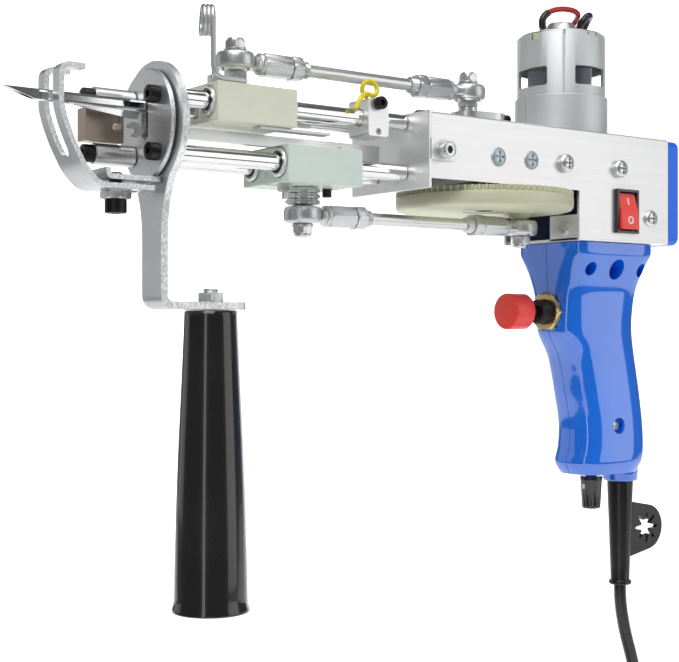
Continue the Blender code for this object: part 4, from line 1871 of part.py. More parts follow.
def make_motor_mount(frame):
    """Mount plate under the motor, bent up at both sides, with the pan screws through the tube."""
    top = MOTOR_BOTTOM_Z - SEAT
    bottom = top - MOUNT_THICKNESS
    half = BOX_HALF_WIDTH - BOX_WALL - SEAT
    inner = half - MOUNT_THICKNESS
    outline = (
        (-half, bottom),
        (half, bottom),
        (half, MOUNT_FLANGE_TOP_Z),
        (inner, MOUNT_FLANGE_TOP_Z),
        (inner, top),
        (-inner, top),
        (-inner, MOUNT_FLANGE_TOP_Z),
        (-half, MOUNT_FLANGE_TOP_Z),
    )
    plate = extruded(outline, MOUNT_FROM_X, MOUNT_TO_X, "X")
    start = (MOTOR_AXIS_X, 0, bottom - OVERRUN)
    cut(plate, cylinder(MOTOR_NOSE_RADIUS + SEAT, start, (0, 0, 1), MOUNT_THICKNESS + 2 * OVERRUN, ROUND))
    for side in (-1, 1):
        for x in (MOUNT_SCREW_FRONT_X, MOUNT_SCREW_REAR_X):
            seat = BOX_HALF_WIDTH + SEAT
            washer = cylinder(
                SPRING_WASHER_RADIUS, (x, side * seat, SIDE_SCREW_Z), (0, side, 0),
                SPRING_WASHER_HEIGHT + SINK, SMALL,
            )
            head = (x, side * (seat + SPRING_WASHER_HEIGHT), SIDE_SCREW_Z)
            stem = (x, side * (seat + SINK), SIDE_SCREW_Z)
            join(
                washer,
                dome(PAN_HEAD_RADIUS, PAN_HEAD_HEIGHT, head, (0, side, 0), SMALL),
                cylinder(SIDE_SCREW_RADIUS, stem, (0, -side, 0), BOX_WALL + 2 * SEAT + 2 * SINK, TINY),
            )
            join(plate, washer)
    finish(plate, "motor_mount_plate", frame, ZINC)


def make_rocker(frame, rocker_tilt):
    """Rocker switch: its housing through the near wall, and the red key in its pocket."""
    wall = -BOX_HALF_WIDTH - SEAT
    face = wall - ROCKER_FRAME_PROUD
    length = ROCKER_FRAME_HALF_LENGTH
    width = ROCKER_FRAME_HALF_WIDTH
    margin = ROCKER_BODY_MARGIN
    flange = eased(box(
        (ROCKER_CENTRE_X - width, face, ROCKER_CENTRE_Z - length),
        (ROCKER_CENTRE_X + width, wall, ROCKER_CENTRE_Z + length),
    ), BLOCK_EDGE / 2)
    body_inner = -BOX_HALF_WIDTH + ROCKER_BODY_DEPTH
    body = box(
        (ROCKER_CENTRE_X - width + margin, wall - SINK, ROCKER_CENTRE_Z - length + margin),
        (ROCKER_CENTRE_X + width - margin, body_inner, ROCKER_CENTRE_Z + length - margin),
    )
    join(flange, body)
    pocket_length = ROCKER_KEY_HALF_LENGTH + SEAT
    pocket_width = ROCKER_KEY_HALF_WIDTH + SEAT
    cut(flange, box(
        (ROCKER_CENTRE_X - pocket_width, face - OVERRUN, ROCKER_CENTRE_Z - pocket_length),
        (ROCKER_CENTRE_X + pocket_width, face + ROCKER_POCKET_DEPTH, ROCKER_CENTRE_Z + pocket_length),
    ))
    finish(flange, "rocker_housing", frame, BLACK_PLASTIC)
    pivot = (ROCKER_CENTRE_X, face + ROCKER_PIVOT_DEPTH, ROCKER_CENTRE_Z)
    points = []
    for along, out in ROCKER_KEY_SHARES:
        points.append((-out * ROCKER_KEY_PROUD, along * ROCKER_KEY_HALF_LENGTH))
    key = extruded(points, -ROCKER_KEY_HALF_WIDTH, ROCKER_KEY_HALF_WIDTH, "X")
    turn = Matrix.Rotation(-ROCKER_TILT, 4, "X")
    key.data.transform(Matrix.Translation(pivot) @ turn)
    finish(key, "rocker", rocker_tilt, RED_PLASTIC)


def grip_ring(station, inset):
    """One section of the grip, as points round a squarish oval; the inset thins it for the hollow."""
    height, front_share, rear_share, width_share, square = station
    span = GRIP_FLANGE_REAR_X - GRIP_FLANGE_FRONT_X
    front = GRIP_FLANGE_FRONT_X + front_share * span + inset
    rear = GRIP_FLANGE_FRONT_X + rear_share * span - inset
    half_width = width_share * GRIP_FLANGE_HALF_WIDTH - inset
    level = GRIP_BOTTOM_Z + height * (GRIP_TOP_Z - GRIP_FLANGE_HEIGHT - GRIP_BOTTOM_Z)
    middle = (front + rear) / 2
    half_length = (rear - front) / 2
    points = []
    for step in range(GRIP_SIDES):
        angle = 2 * math.pi * (step + GRIP_SEAM_SHARE) / GRIP_SIDES
        x = abs(math.cos(angle)) ** (2 / square) * math.copysign(1, math.cos(angle))
        y = abs(math.sin(angle)) ** (2 / square) * math.copysign(1, math.sin(angle))
        points.append((middle + half_length * x, half_width * y, level))
    return points


def lofted(rings):
    """Closed solid through rings of equal count."""
    vertices = [point for ring in rings for point in ring]
    count = len(rings[0])
    faces = [tuple(range(count)), tuple(range(len(vertices) - 1, len(vertices) - count - 1, -1))]
    for number in range(len(rings) - 1):
        base = number * count
        for step in range(count):
            after = (step + 1) % count
            faces.append((base + step, base + after, base + count + after))
            faces.append((base + step, base + count + after, base + count + step))
    return add_solid(vertices, faces)


def make_grip_body():
    """Whole grip before it is parted: outer shape, hollow, bosses and holes."""
    outer = [grip_ring(station, 0) for station in GRIP_STATION_SHARES]
    flange_top = [(x, y, GRIP_TOP_Z) for x, y, level in outer[0]]
    body = lofted([flange_top] + outer)
    inner = []
    for station in GRIP_STATION_SHARES[::3]:
        ring = grip_ring(station, GRIP_WALL)
        if ring[0][2] > GRIP_BOTTOM_Z + 2 * GRIP_WALL:
            inner.append(ring)
    lid = [(x, y, GRIP_TOP_Z + OVERRUN) for x, y, level in inner[0]]
    floor = [(x, y, GRIP_BOTTOM_Z + GRIP_WALL) for x, y, level in inner[-1]]
    cut(body, lofted([lid] + inner + [floor]))
    screw_outer = GRIP_FLANGE_HALF_WIDTH * GRIP_SCREW_WIDTH_SHARE
    boss_height = GRIP_BOTTOM_Z + 2 * GRIP_WALL - GRIP_BOSS_BOTTOM_Z
    join(
        body,
        cylinder(
            GRIP_SCREW_WELL_RADIUS + GRIP_WALL / 2,
            (GRIP_SCREW_X, -screw_outer + GRIP_WALL / 2, GRIP_SCREW_Z),
            (0, 1, 0), 2 * screw_outer - GRIP_WALL, SMALL,
        ),
        cylinder(GRIP_BOSS_RADIUS, (GRIP_BOSS_X, 0, GRIP_BOSS_BOTTOM_Z), (0, 0, 1), boss_height, SMALL),
        cylinder(
            KNOB_BUSH_RADIUS, (KNOB_X, 0, KNOB_TOP_Z + SEAT), (0, 0, 1),
            GRIP_BOTTOM_Z + GRIP_WALL - KNOB_TOP_Z, SMALL,
        ),
    )
    bush_length = KNOB_SHAFT_TOP_Z - KNOB_TOP_Z
    well_length = GRIP_FLANGE_HALF_WIDTH - WELL_DEPTH
    cut(
        body,
        cylinder(KNOB_SHAFT_RADIUS + SEAT, (KNOB_X, 0, KNOB_TOP_Z - OVERRUN), (0, 0, 1), bush_length, SMALL),
        cylinder(
            GRIP_TRIGGER_SEAT_RADIUS, (GRIP_TRIGGER_SEAT_X, 0, TRIGGER_Z), (-1, 0, 0),
            GRIP_TRIGGER_SEAT_RADIUS, ROUND,
        ),
        cylinder(
            BUSHING_RADIUS + SEAT, (GRIP_TRIGGER_SEAT_X - OVERRUN, 0, TRIGGER_Z), (1, 0, 0),
            BUSHING_REAR_X - GRIP_TRIGGER_SEAT_X + OVERRUN + SEAT, SMALL,
        ),
    )
    wells = (
        (WELL_FRONT_X, WELL_SMALL_RADIUS),
        (WELL_MIDDLE_X, WELL_LARGE_RADIUS),
        (WELL_REAR_X, WELL_SMALL_RADIUS),
    )
    for x, radius in wells:
        start = (x, -GRIP_FLANGE_HALF_WIDTH - OVERRUN, WELL_Z)
        cut(body, cylinder(radius, start, (0, 1, 0), well_length, SMALL))
    return body


def make_grip(frame):
    """Two grip shells that meet at the middle, with the screw between them."""
    wide = GRIP_FLANGE_HALF_WIDTH + OVERRUN
    reach = GRIP_FLANGE_REAR_X + GRIP_FLANGE_HALF_WIDTH
    low_z = GRIP_BOSS_BOTTOM_Z - OVERRUN
    high_z = GRIP_TOP_Z + OVERRUN
    front = GRIP_FLANGE_FRONT_X - OVERRUN
    screw_outer = GRIP_FLANGE_HALF_WIDTH * GRIP_SCREW_WIDTH_SHARE
    floor_y = -screw_outer + GRIP_SCREW_WELL_DEPTH
    near = cut(make_grip_body(), box((front, -GRIP_PARTING, low_z), (reach, wide, high_z)))
    cut(near, cylinder(
        GRIP_SCREW_WELL_RADIUS, (GRIP_SCREW_X, floor_y, GRIP_SCREW_Z), (0, -1, 0), screw_outer, SMALL
    ))
    join(near, cap_screw(
        GRIP_SCREW_HEAD_RADIUS, GRIP_SCREW_HEAD_HEIGHT, GRIP_SCREW_SHANK_RADIUS,
        -floor_y + GRIP_SCREW_WELL_DEPTH, (GRIP_SCREW_X, floor_y - SINK / 2, GRIP_SCREW_Z),
        (0, -1, 0), SMALL,
    ))
    finish(near, "grip_shell_near", frame, BLUE_PLASTIC)
    far = cut(make_grip_body(), box((front, -wide, low_z), (reach, GRIP_PARTING, high_z)))
    cut(far, cylinder(
        GRIP_SCREW_SHANK_RADIUS + SEAT, (GRIP_SCREW_X, 0, GRIP_SCREW_Z), (0, 1, 0),
        GRIP_SCREW_WELL_DEPTH + OVERRUN, SMALL,
    ))
    finish(far, "grip_shell_far", frame, BLUE_PLASTIC)


def make_trigger(frame, trigger_press):
    """Push button on its stem, and the threaded bushing with its nut that guides it."""
    rear = TRIGGER_CAP_FRONT_X + TRIGGER_CAP_LENGTH
    profile = []
    for across, up in reversed(TRIGGER_CAP_SHARES):
        profile.append((across * TRIGGER_CAP_RADIUS, TRIGGER_CAP_FRONT_X + up * TRIGGER_CAP_LENGTH))
    profile += [
        (TRIGGER_STEM_RADIUS, rear),
        (TRIGGER_STEM_RADIUS, BUSHING_REAR_X - TRIGGER_TRAVEL - SEAT),
        (0, BUSHING_REAR_X - TRIGGER_TRAVEL - SEAT),
    ]
    item = turned(profile, (0, 0, TRIGGER_Z), (1, 0, 0), ROUND)
    finish(item, "trigger_button", trigger_press, RED_PLASTIC)
    profile = (
        (BUSHING_BORE_RADIUS, BUSHING_FRONT_X),
        (BUSHING_RADIUS - ROD_CHAMFER, BUSHING_FRONT_X),
        (BUSHING_RADIUS, BUSHING_FRONT_X + ROD_CHAMFER),
        (BUSHING_RADIUS, BUSHING_REAR_X),
        (BUSHING_BORE_RADIUS, BUSHING_REAR_X),
    )
    bushing = turned(profile, (0, 0, TRIGGER_Z), (1, 0, 0), SMALL)
    nut_rear = GRIP_TRIGGER_SEAT_X - SEAT
    nut_seat = (nut_rear, 0, TRIGGER_Z)
    nut = hexagon(TRIGGER_NUT_FLATS, nut_seat, (-1, 0, 0), TRIGGER_NUT_THICKNESS, math.pi / 6)
    bore_start = (nut_rear + OVERRUN, 0, TRIGGER_Z)
    cut(nut, cylinder(
        BUSHING_RADIUS - ROD_CHAMFER, bore_start, (-1, 0, 0), TRIGGER_NUT_THICKNESS + 2 * OVERRUN, SMALL
    ))
    join(bushing, nut)
    finish(bushing, "trigger_bushing", frame, BLACK_STEEL)


def make_knob(knob_turn):
    """Speed knob with its pointer ridge and the shaft that goes up into the grip."""
    bottom = KNOB_TOP_Z - KNOB_LENGTH
    edge = KNOB_POINTER_HALF
    profile = (
        (0, KNOB_SHAFT_TOP_Z),
        (KNOB_SHAFT_RADIUS, KNOB_SHAFT_TOP_Z),
        (KNOB_SHAFT_RADIUS, KNOB_TOP_Z),
        (KNOB_TOP_RADIUS, KNOB_TOP_Z),
        (KNOB_BOTTOM_RADIUS, bottom + edge),
        (KNOB_BOTTOM_RADIUS - edge, bottom),
        (0, bottom),
    )
    knob = turned(profile, (KNOB_X, 0, 0), (0, 0, 1), SMALL)
    reach = KNOB_TOP_RADIUS + edge / 2
    join(knob, box((KNOB_X - reach, -edge, bottom + edge), (KNOB_X, edge, KNOB_TOP_Z - edge)))
    finish(knob, "speed_knob", knob_turn, BLACK_PLASTIC)


def make_strain_relief(frame):
    """Smooth strain relief that tapers down to a ring, with the flat tag behind it."""
    profile = (
        (0, RELIEF_TOP_Z),
        (RELIEF_TOP_RADIUS, RELIEF_TOP_Z),
        (RELIEF_BOTTOM_RADIUS, RELIEF_BOTTOM_Z + RELIEF_RING_HEIGHT),
        (RELIEF_RING_RADIUS, RELIEF_BOTTOM_Z + RELIEF_RING_HEIGHT),
        (RELIEF_RING_RADIUS, RELIEF_BOTTOM_Z),
        (0, RELIEF_BOTTOM_Z),
    )
    relief = turned(profile, (GRIP_BOSS_X, 0, 0), (0, 0, 1), SMALL)
    end_centre = (TAG_REAR_X - TAG_END_RADIUS, TAG_HOLE_Z)
    outline = [(GRIP_BOSS_X, TAG_HOLE_Z - TAG_ROOT_HALF)]
    outline += arc(end_centre, TAG_END_RADIUS, -TAG_END_ANGLE, TAG_END_ANGLE, TAG_END_STEPS)
    outline.append((GRIP_BOSS_X, TAG_HOLE_Z + TAG_ROOT_HALF))
    tag = extruded(outline, -TAG_HALF_THICKNESS, TAG_HALF_THICKNESS, "Y")
    star = []
    for point in range(2 * TAG_HOLE_POINTS):
        angle = math.pi * point / TAG_HOLE_POINTS
        radius = TAG_HOLE_OUTER if point % 2 == 0 else TAG_HOLE_INNER
        star.append((TAG_HOLE_X + radius * math.cos(angle), TAG_HOLE_Z + radius * math.sin(angle)))
    wide = TAG_HALF_THICKNESS + OVERRUN
    cut(tag, extruded(star, -wide, wide, "Y"))
    join(relief, tag)
    finish(relief, "strain_relief", frame, BLACK_PLASTIC)


def make_cord(frame):
    """Cord from the strain relief, its spare length in a hanging coil, and the socket on its end."""
    route = [(GRIP_BOSS_X + x, 0, z) for x, z in CORD_ROUTE]
    free = smooth_route(route, CORD_STEP)
    finish(add_tube(free, CORD_RADIUS, 2), "cord", frame, BLACK_PLASTIC)
    top_x, middle_y, top_z = route[-1]
    centre_x = top_x - COIL_TOP_RADIUS
    start_z = top_z - SEAT
    straight = 2 * CORD_RADIUS
    turns = 2 * COIL_TURNS
    climb_from = COIL_TURNS - COIL_CLIMB_TURNS / 2
    steps = round(turns * COIL_LOOP_POINTS)
    coil = [Vector((top_x, 0, start_z)), Vector((top_x, 0, start_z - straight))]
    start_z -= straight
    for step in range(1, steps + 1):
        turn = step / COIL_LOOP_POINTS
        radius = COIL_TOP_RADIUS - COIL_PITCH * min(turn, turns - turn)
        share = min(max((turn - climb_from) / COIL_CLIMB_TURNS, 0), 1)
        layer = (1 - math.cos(math.pi * share)) / 2
        angle = 2 * math.pi * turn
        coil.append(Vector((
            centre_x + radius * math.cos(angle),
            layer * COIL_LAYER_PITCH,
            start_z - radius * math.sin(angle),
        )))
    end = coil[-1].copy()
    tail_steps = round(COIL_TAIL / straight)
    for step in range(1, tail_steps + 1):
        coil.append(end - Vector((0, 0, COIL_TAIL * step / tail_steps)))
    print("coil's least gap to itself", least_gap(coil, CORD_RADIUS, 6 * CORD_RADIUS))
    free_length = sum((b - a).length for a, b in zip(free, free[1:]))
    coil_length = sum((b - a).length for a, b in zip(coil, coil[1:]))
    print("cord length", free_length, coil_length)
    finish(add_tube(coil, CORD_RADIUS, 1), "cord_coil", frame, BLACK_PLASTIC)
    neck_top = coil[-1].z - SEAT
    body_top = neck_top - SOCKET_NECK_LENGTH
    bottom = neck_top - SOCKET_LENGTH
    edge = SOCKET_BODY_RADIUS - SOCKET_NECK_RADIUS
    profile = (
        (0, neck_top),
        (SOCKET_NECK_RADIUS, neck_top),
        (SOCKET_NECK_RADIUS, body_top),
        (SOCKET_BODY_RADIUS, body_top - edge),
        (SOCKET_BODY_RADIUS, bottom),
        (SOCKET_PORT_RADIUS, bottom),
        (SOCKET_PORT_RADIUS, bottom + SOCKET_PORT_DEPTH),
        (0, bottom + SOCKET_PORT_DEPTH),
    )
    socket = turned(profile, (coil[-1].x, coil[-1].y, 0), (0, 0, 1), SMALL)
    finish(socket, "cord_socket", frame, BLACK_PLASTIC)


def make_links(upper_swing, lower_swing, needle_carriage, cutter_carriage):
    """Both links with their rod ends, and the four pins they turn on."""
    block_top = UPPER_ROD_Z + ROD_BELOW_TOP
    block_bottom = LOWER_ROD_Z + ROD_BELOW_TOP - BLOCK_HEIGHT
    upper_rear = UPPER_BLOCK_X + LINK_LENGTH
    lower_rear = LOWER_BLOCK_X + LINK_LENGTH
    crank_top = CRANK_BOTTOM_Z + CRANK_HEIGHT
    make_link_rod("upper_link_rod", upper_swing, UPPER_BLOCK_X, UPPER_LINK_Z)
    make_rod_end("upper_rod_end_front", upper_swing, UPPER_BLOCK_X, UPPER_LINK_Z, 1)
    make_rod_end("upper_rod_end_rear", upper_swing, upper_rear, UPPER_LINK_Z, -1)
    make_link_rod("lower_link_rod", lower_swing, LOWER_BLOCK_X, LOWER_LINK_Z)
    make_rod_end("lower_rod_end_front", lower_swing, LOWER_BLOCK_X, LOWER_LINK_Z, 1)
    make_rod_end("lower_rod_end_rear", lower_swing, lower_rear, LOWER_LINK_Z, -1)
    pin = link_pin(UPPER_BLOCK_X, block_top, UPPER_LINK_Z, 1, upper_spacer, PIN_DEPTH)
    finish(pin, "upper_pin_front", needle_carriage, STEEL)
    pin = link_pin(upper_rear, crank_top, UPPER_LINK_Z, 1, upper_spacer, -SEAT)
    finish(pin, "upper_pin_rear", upper_swing, STEEL)
    pin = link_pin(LOWER_BLOCK_X, block_bottom, LOWER_LINK_Z, -1, lower_spacer, PIN_DEPTH)
    finish(pin, "lower_pin_front", cutter_carriage, STEEL)
    pin = link_pin(lower_rear, GEAR_BOTTOM_Z, LOWER_LINK_Z, -1, rear_lower_spacer, -SEAT)
    finish(pin, "lower_pin_rear", lower_swing, STEEL)


def main():
    """Builds the whole machine."""
    clear_scene()
    frame = bpy.data.objects.new("machine", None)
    bpy.context.scene.collection.objects.link(frame)
    frame.location = (-GRIP_HOLD_X, 0, -GRIP_HOLD_Z)
    crank_spin = add_holder("crank_axis", (CRANK_AXIS_X, 0, GEAR_BOTTOM_Z), frame)
    motor_spin = add_holder("motor_axis", (MOTOR_AXIS_X, 0, MOTOR_BOTTOM_Z), frame)
    needle_carriage = add_holder("needle_carriage", (UPPER_BLOCK_X, 0, UPPER_ROD_Z), frame)
    cutter_carriage = add_holder("cutter_carriage", (LOWER_BLOCK_X, 0, LOWER_ROD_Z), frame)
    upper_swing = add_holder("upper_link_pivot", (UPPER_BLOCK_X, 0, UPPER_LINK_Z), frame)
    lower_swing = add_holder("lower_link_pivot", (LOWER_BLOCK_X, 0, LOWER_LINK_Z), frame)
    trigger_press = add_holder("trigger_axis", (TRIGGER_CAP_FRONT_X, 0, TRIGGER_Z), frame)
    pivot_y = -BOX_HALF_WIDTH - SEAT - ROCKER_FRAME_PROUD + ROCKER_PIVOT_DEPTH
    rocker_tilt = add_holder("rocker_axis", (ROCKER_CENTRE_X, pivot_y, ROCKER_CENTRE_Z), frame)
    knob_turn = add_holder("knob_axis", (KNOB_X, 0, KNOB_TOP_Z), frame)
    foot_slide = add_holder("foot_slide", (FOOT_SCREW_X, 0, FOOT_BASE_TOP_Z), frame)

    make_rods(frame)
    make_spacers(frame)
    make_front_plates(frame)
    make_foot(frame, foot_slide)
    make_front_handle(frame)
    make_holder_plate(frame)
    make_housing(frame)
    make_rear_cover(frame)
    make_bearing_block(frame)
    make_block("upper_block", needle_carriage, UPPER_BLOCK_X, UPPER_ROD_Z, OLIVE_NYLON, upper_block_extras)
    make_block("lower_block", cutter_carriage, LOWER_BLOCK_X, LOWER_ROD_Z, GREEN_NYLON, lower_block_extras)
    make_bushes("upper", needle_carriage, UPPER_BLOCK_X, UPPER_ROD_Z)
    make_bushes("lower", cutter_carriage, LOWER_BLOCK_X, LOWER_ROD_Z)
    make_links(upper_swing, lower_swing, needle_carriage, cutter_carriage)
    make_needle(needle_carriage)
    make_cutter(cutter_carriage)
    make_yarn_guide(needle_carriage)
    make_rod_clamp(frame)
    make_crank(crank_spin)
    make_motor(frame, motor_spin)
    make_motor_mount(frame)
    make_rocker(frame, rocker_tilt)
    make_grip(frame)
    make_trigger(frame, trigger_press)
    make_knob(knob_turn)
    make_strain_relief(frame)
    make_cord(frame)
    bpy.context.view_layer.update()
    for holder in (
        crank_spin, motor_spin, needle_carriage, cutter_carriage, upper_swing,
        lower_swing, trigger_press, rocker_tilt, knob_turn, foot_slide,
    ):
        print(holder.name, [round(value, 6) for value in holder.matrix_world.translation])


main()
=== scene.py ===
"""Looks of the handheld tufting machine: fine pieces, finishes, cord, light and camera.

Pieces are worked out in machine millimetres: X runs rearwards from the front handle's axis,
Y away from the camera, and Z up from the camera's level.
"""

import json
import logging
import math
from dataclasses import dataclass
from enum import Enum
from typing import Iterable, Optional, Sequence, Union

import bpy
import bmesh
import numpy as np
from mathutils import Matrix, Vector
from mathutils.geometry import tessellate_polygon

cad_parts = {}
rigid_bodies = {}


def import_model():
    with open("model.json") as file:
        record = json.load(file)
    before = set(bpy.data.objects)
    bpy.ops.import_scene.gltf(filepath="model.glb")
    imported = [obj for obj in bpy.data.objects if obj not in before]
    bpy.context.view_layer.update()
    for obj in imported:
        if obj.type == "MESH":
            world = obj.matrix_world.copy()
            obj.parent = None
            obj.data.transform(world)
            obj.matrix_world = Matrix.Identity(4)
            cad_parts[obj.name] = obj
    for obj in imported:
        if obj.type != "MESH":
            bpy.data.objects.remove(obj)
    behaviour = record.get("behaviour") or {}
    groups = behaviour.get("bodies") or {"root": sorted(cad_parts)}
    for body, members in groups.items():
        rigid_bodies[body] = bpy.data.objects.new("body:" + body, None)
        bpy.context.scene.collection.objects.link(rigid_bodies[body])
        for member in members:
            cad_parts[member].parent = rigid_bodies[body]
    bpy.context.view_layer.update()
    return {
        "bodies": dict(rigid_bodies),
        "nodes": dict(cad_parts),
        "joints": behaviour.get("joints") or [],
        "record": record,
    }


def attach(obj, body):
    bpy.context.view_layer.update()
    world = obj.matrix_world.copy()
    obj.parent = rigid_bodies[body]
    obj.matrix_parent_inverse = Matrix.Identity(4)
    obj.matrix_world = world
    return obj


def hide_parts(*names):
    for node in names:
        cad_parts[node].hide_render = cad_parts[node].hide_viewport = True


LOG = logging.getLogger("tufting_machine")
MM = 0.001  # metres in a millimetre
SHIFT = np.array((-220.0, 0.0, 30.0))  # from machine millimetres to the row frame's
MERGE = 2e-7  # metres within which two points are one
TURN = 2 * math.pi
CORNER = math.pi / 6  # puts a hexagon's corner where a flat's middle would be
Radius = Union[float, np.ndarray]
Row = tuple[Radius, float]
Point = Sequence[float]


class Axis(Enum):
    """Axis of the machine, with the order that puts (first, second, along) on it."""

    X = (1, 2, 0)
    Y = (2, 0, 1)
    Z = (0, 1, 2)


class Grain(Enum):
    """Way in which a finish varies over its surface."""

    BRUSHED = "fine scratches along X"
    TURNED = "faint marks of the lathe"
    SHEET = "plated sheet with grainy sheared edges"
    MACHINED = "milling marks in plastic"
    MOULDED = "moulded plastic with fine orange peel"
    RUBBER = "soft plastic with a dull skin"


@dataclass(frozen=True)
class Finish:
    """Looks of one material slot."""

    colour: tuple[float, float, float]
    roughness: float
    metallic: float
    grain: Grain
    mottle: float = 0.10
    relief: float = 0.10
    coat: float = 0.0


FINISHES = {
    "brushed aluminium": Finish((0.84, 0.84, 0.84), 0.38, 0.85, Grain.BRUSHED, 0.07, 0.16),
    "zinc plate": Finish((0.64, 0.65, 0.655), 0.36, 0.88, Grain.SHEET, 0.14, 0.20),
    "bright steel": Finish((0.72, 0.73, 0.72), 0.30, 0.92, Grain.TURNED, 0.07, 0.06),
    "satin steel": Finish((0.66, 0.68, 0.68), 0.50, 0.55, Grain.TURNED, 0.05, 0.06),
    "chrome": Finish((0.80, 0.80, 0.80), 0.09, 1.0, Grain.TURNED, 0.04, 0.02),
    "black steel": Finish((0.030, 0.029, 0.030), 0.36, 0.75, Grain.TURNED, 0.20, 0.12),
    "brass": Finish((0.60, 0.44, 0.20), 0.28, 1.0, Grain.TURNED, 0.12, 0.08),
    "blue zinc": Finish((0.52, 0.59, 0.63), 0.38, 0.7, Grain.TURNED, 0.14, 0.10),
    "olive nylon": Finish((0.72, 0.74, 0.60), 0.42, 0.0, Grain.MACHINED, 0.05, 0.07),
    "green nylon": Finish((0.66, 0.75, 0.68), 0.42, 0.0, Grain.MACHINED, 0.05, 0.07),
    "cream nylon": Finish((0.60, 0.61, 0.43), 0.46, 0.0, Grain.MACHINED, 0.06, 0.08),
    "bronze": Finish((0.46, 0.38, 0.32), 0.34, 0.85, Grain.TURNED, 0.22, 0.12),
    "black plastic": Finish((0.012, 0.011, 0.012), 0.20, 0.0, Grain.MOULDED, 0.20, 0.04, 0.4),
    "blue plastic": Finish((0.0, 0.165, 0.84), 0.14, 0.0, Grain.MOULDED, 0.04, 0.03, 0.9),
    "blue cover": Finish((0.0, 0.150, 0.84), 0.36, 0.0, Grain.MOULDED, 0.04, 0.05),
    "red plastic": Finish((0.92, 0.060, 0.045), 0.34, 0.0, Grain.MOULDED, 0.06, 0.05),
    "yellow plastic": Finish((0.82, 0.68, 0.015), 0.40, 0.0, Grain.MOULDED, 0.08, 0.08),
    "black rubber": Finish((0.016, 0.016, 0.017), 0.25, 0.0, Grain.RUBBER, 0.24, 0.14),
    "red wire": Finish((0.50, 0.012, 0.015), 0.38, 0.0, Grain.RUBBER, 0.12, 0.10),
    "armature": Finish((0.62, 0.62, 0.70), 0.46, 0.1, Grain.TURNED, 0.20, 0.12),
    "white mark": Finish((0.80, 0.80, 0.79), 0.36, 0.0, Grain.MOULDED, 0.04, 0.04),
}


class Value:
    """One number output of a shader node, on which plain arithmetic adds Math nodes."""

    def __init__(self, net: "Net", socket: bpy.types.NodeSocket) -> None:
        self.net = net
        self.socket = socket

    def _math(self, operation: str, first: object, second: object) -> "Value":
        """Adds a Math node on two inputs, each a Value or a number, and returns its output."""
        return self.net.node("ShaderNodeMath", {"operation": operation}, {0: first, 1: second})

    def __add__(self, other: object) -> "Value":
        return self._math("ADD", self, other)

    __radd__ = __add__

    def __sub__(self, other: object) -> "Value":
        return self._math("SUBTRACT", self, other)

    def __rsub__(self, other: object) -> "Value":
        return self._math("SUBTRACT", other, self)

    def __mul__(self, other: object) -> "Value":
        return self._math("MULTIPLY", self, other)

    __rmul__ = __mul__

    def over(self, low: float, high: float) -> "Value":
        """Eased share that rises smoothly from 0 at low to 1 at high."""
        settings = {"interpolation_type": "SMOOTHSTEP"}
        return self.net.node("ShaderNodeMapRange", settings, {"Value": self, 1: low, 2: high})


class Net:
    """Node tree of one material."""

    def __init__(self, name: str) -> None:
        self.material = bpy.data.materials.new(name)
        self.material.use_nodes = True
        self.tree = self.material.node_tree
        self.tree.nodes.clear()
        self.place = self.node("ShaderNodeTexCoord", {}, {}, "Object")

    def node(self, kind: str, settings: dict, inputs: dict, output: object = 0) -> Value:
        """Adds one node.

        Args:
            kind: the node's type.
            settings: its properties, which are set first.
            inputs: its sockets by name or number, as values, links or numbers.
            output: name or number of the output that is wanted.

        Returns:
            That output.
        """
        item = self.tree.nodes.new(kind)
        for key, setting in settings.items():
            setattr(item, key, setting)
        for key, content in inputs.items():
            if isinstance(content, Value):
                self.tree.links.new(content.socket, item.inputs[key])
            else:
                item.inputs[key].default_value = content
        return Value(self, item.outputs[output])

    def noise(self, scale: tuple[float, float, float], detail: float, rough: float = 0.5) -> Value:
        """Noise in object coordinates.

        Args:
            scale: waves per metre along X, Y and Z.
            detail: octaves.
            rough: strength of the finer octaves.

        Returns:
            The noise, about 0.5 on average.
        """
        stretched = self.node(
            "ShaderNodeVectorMath", {"operation": "MULTIPLY"}, {0: self.place, 1: scale}
        )
        inputs = {"Vector": stretched, "Scale": 1.0, "Detail": detail, "Roughness": rough}
        return self.node("ShaderNodeTexNoise", {}, inputs)

    def mix(self, share: object, first: object, second: object) -> Value:
        """Mixes two colours, each a link or plain numbers, by the share of the second."""
        inputs = {0: share, 6: first, 7: second}
        return self.node("ShaderNodeMix", {"data_type": "RGBA"}, inputs, 2)

    def close(self, surface: Value) -> None:
        """Leads a surface's shader to the material's output."""
        item = self.tree.nodes.new("ShaderNodeOutputMaterial")
        self.tree.links.new(surface.socket, item.inputs["Surface"])


def tinted(colour: Point, factor: float) -> tuple[float, float, float, float]:
    """Multiplies a linear colour by a factor, up to 1, and gives it an alpha of 1."""
    red, green, blue = (min(1.0, part * factor) for part in colour)
    return (red, green, blue, 1.0)


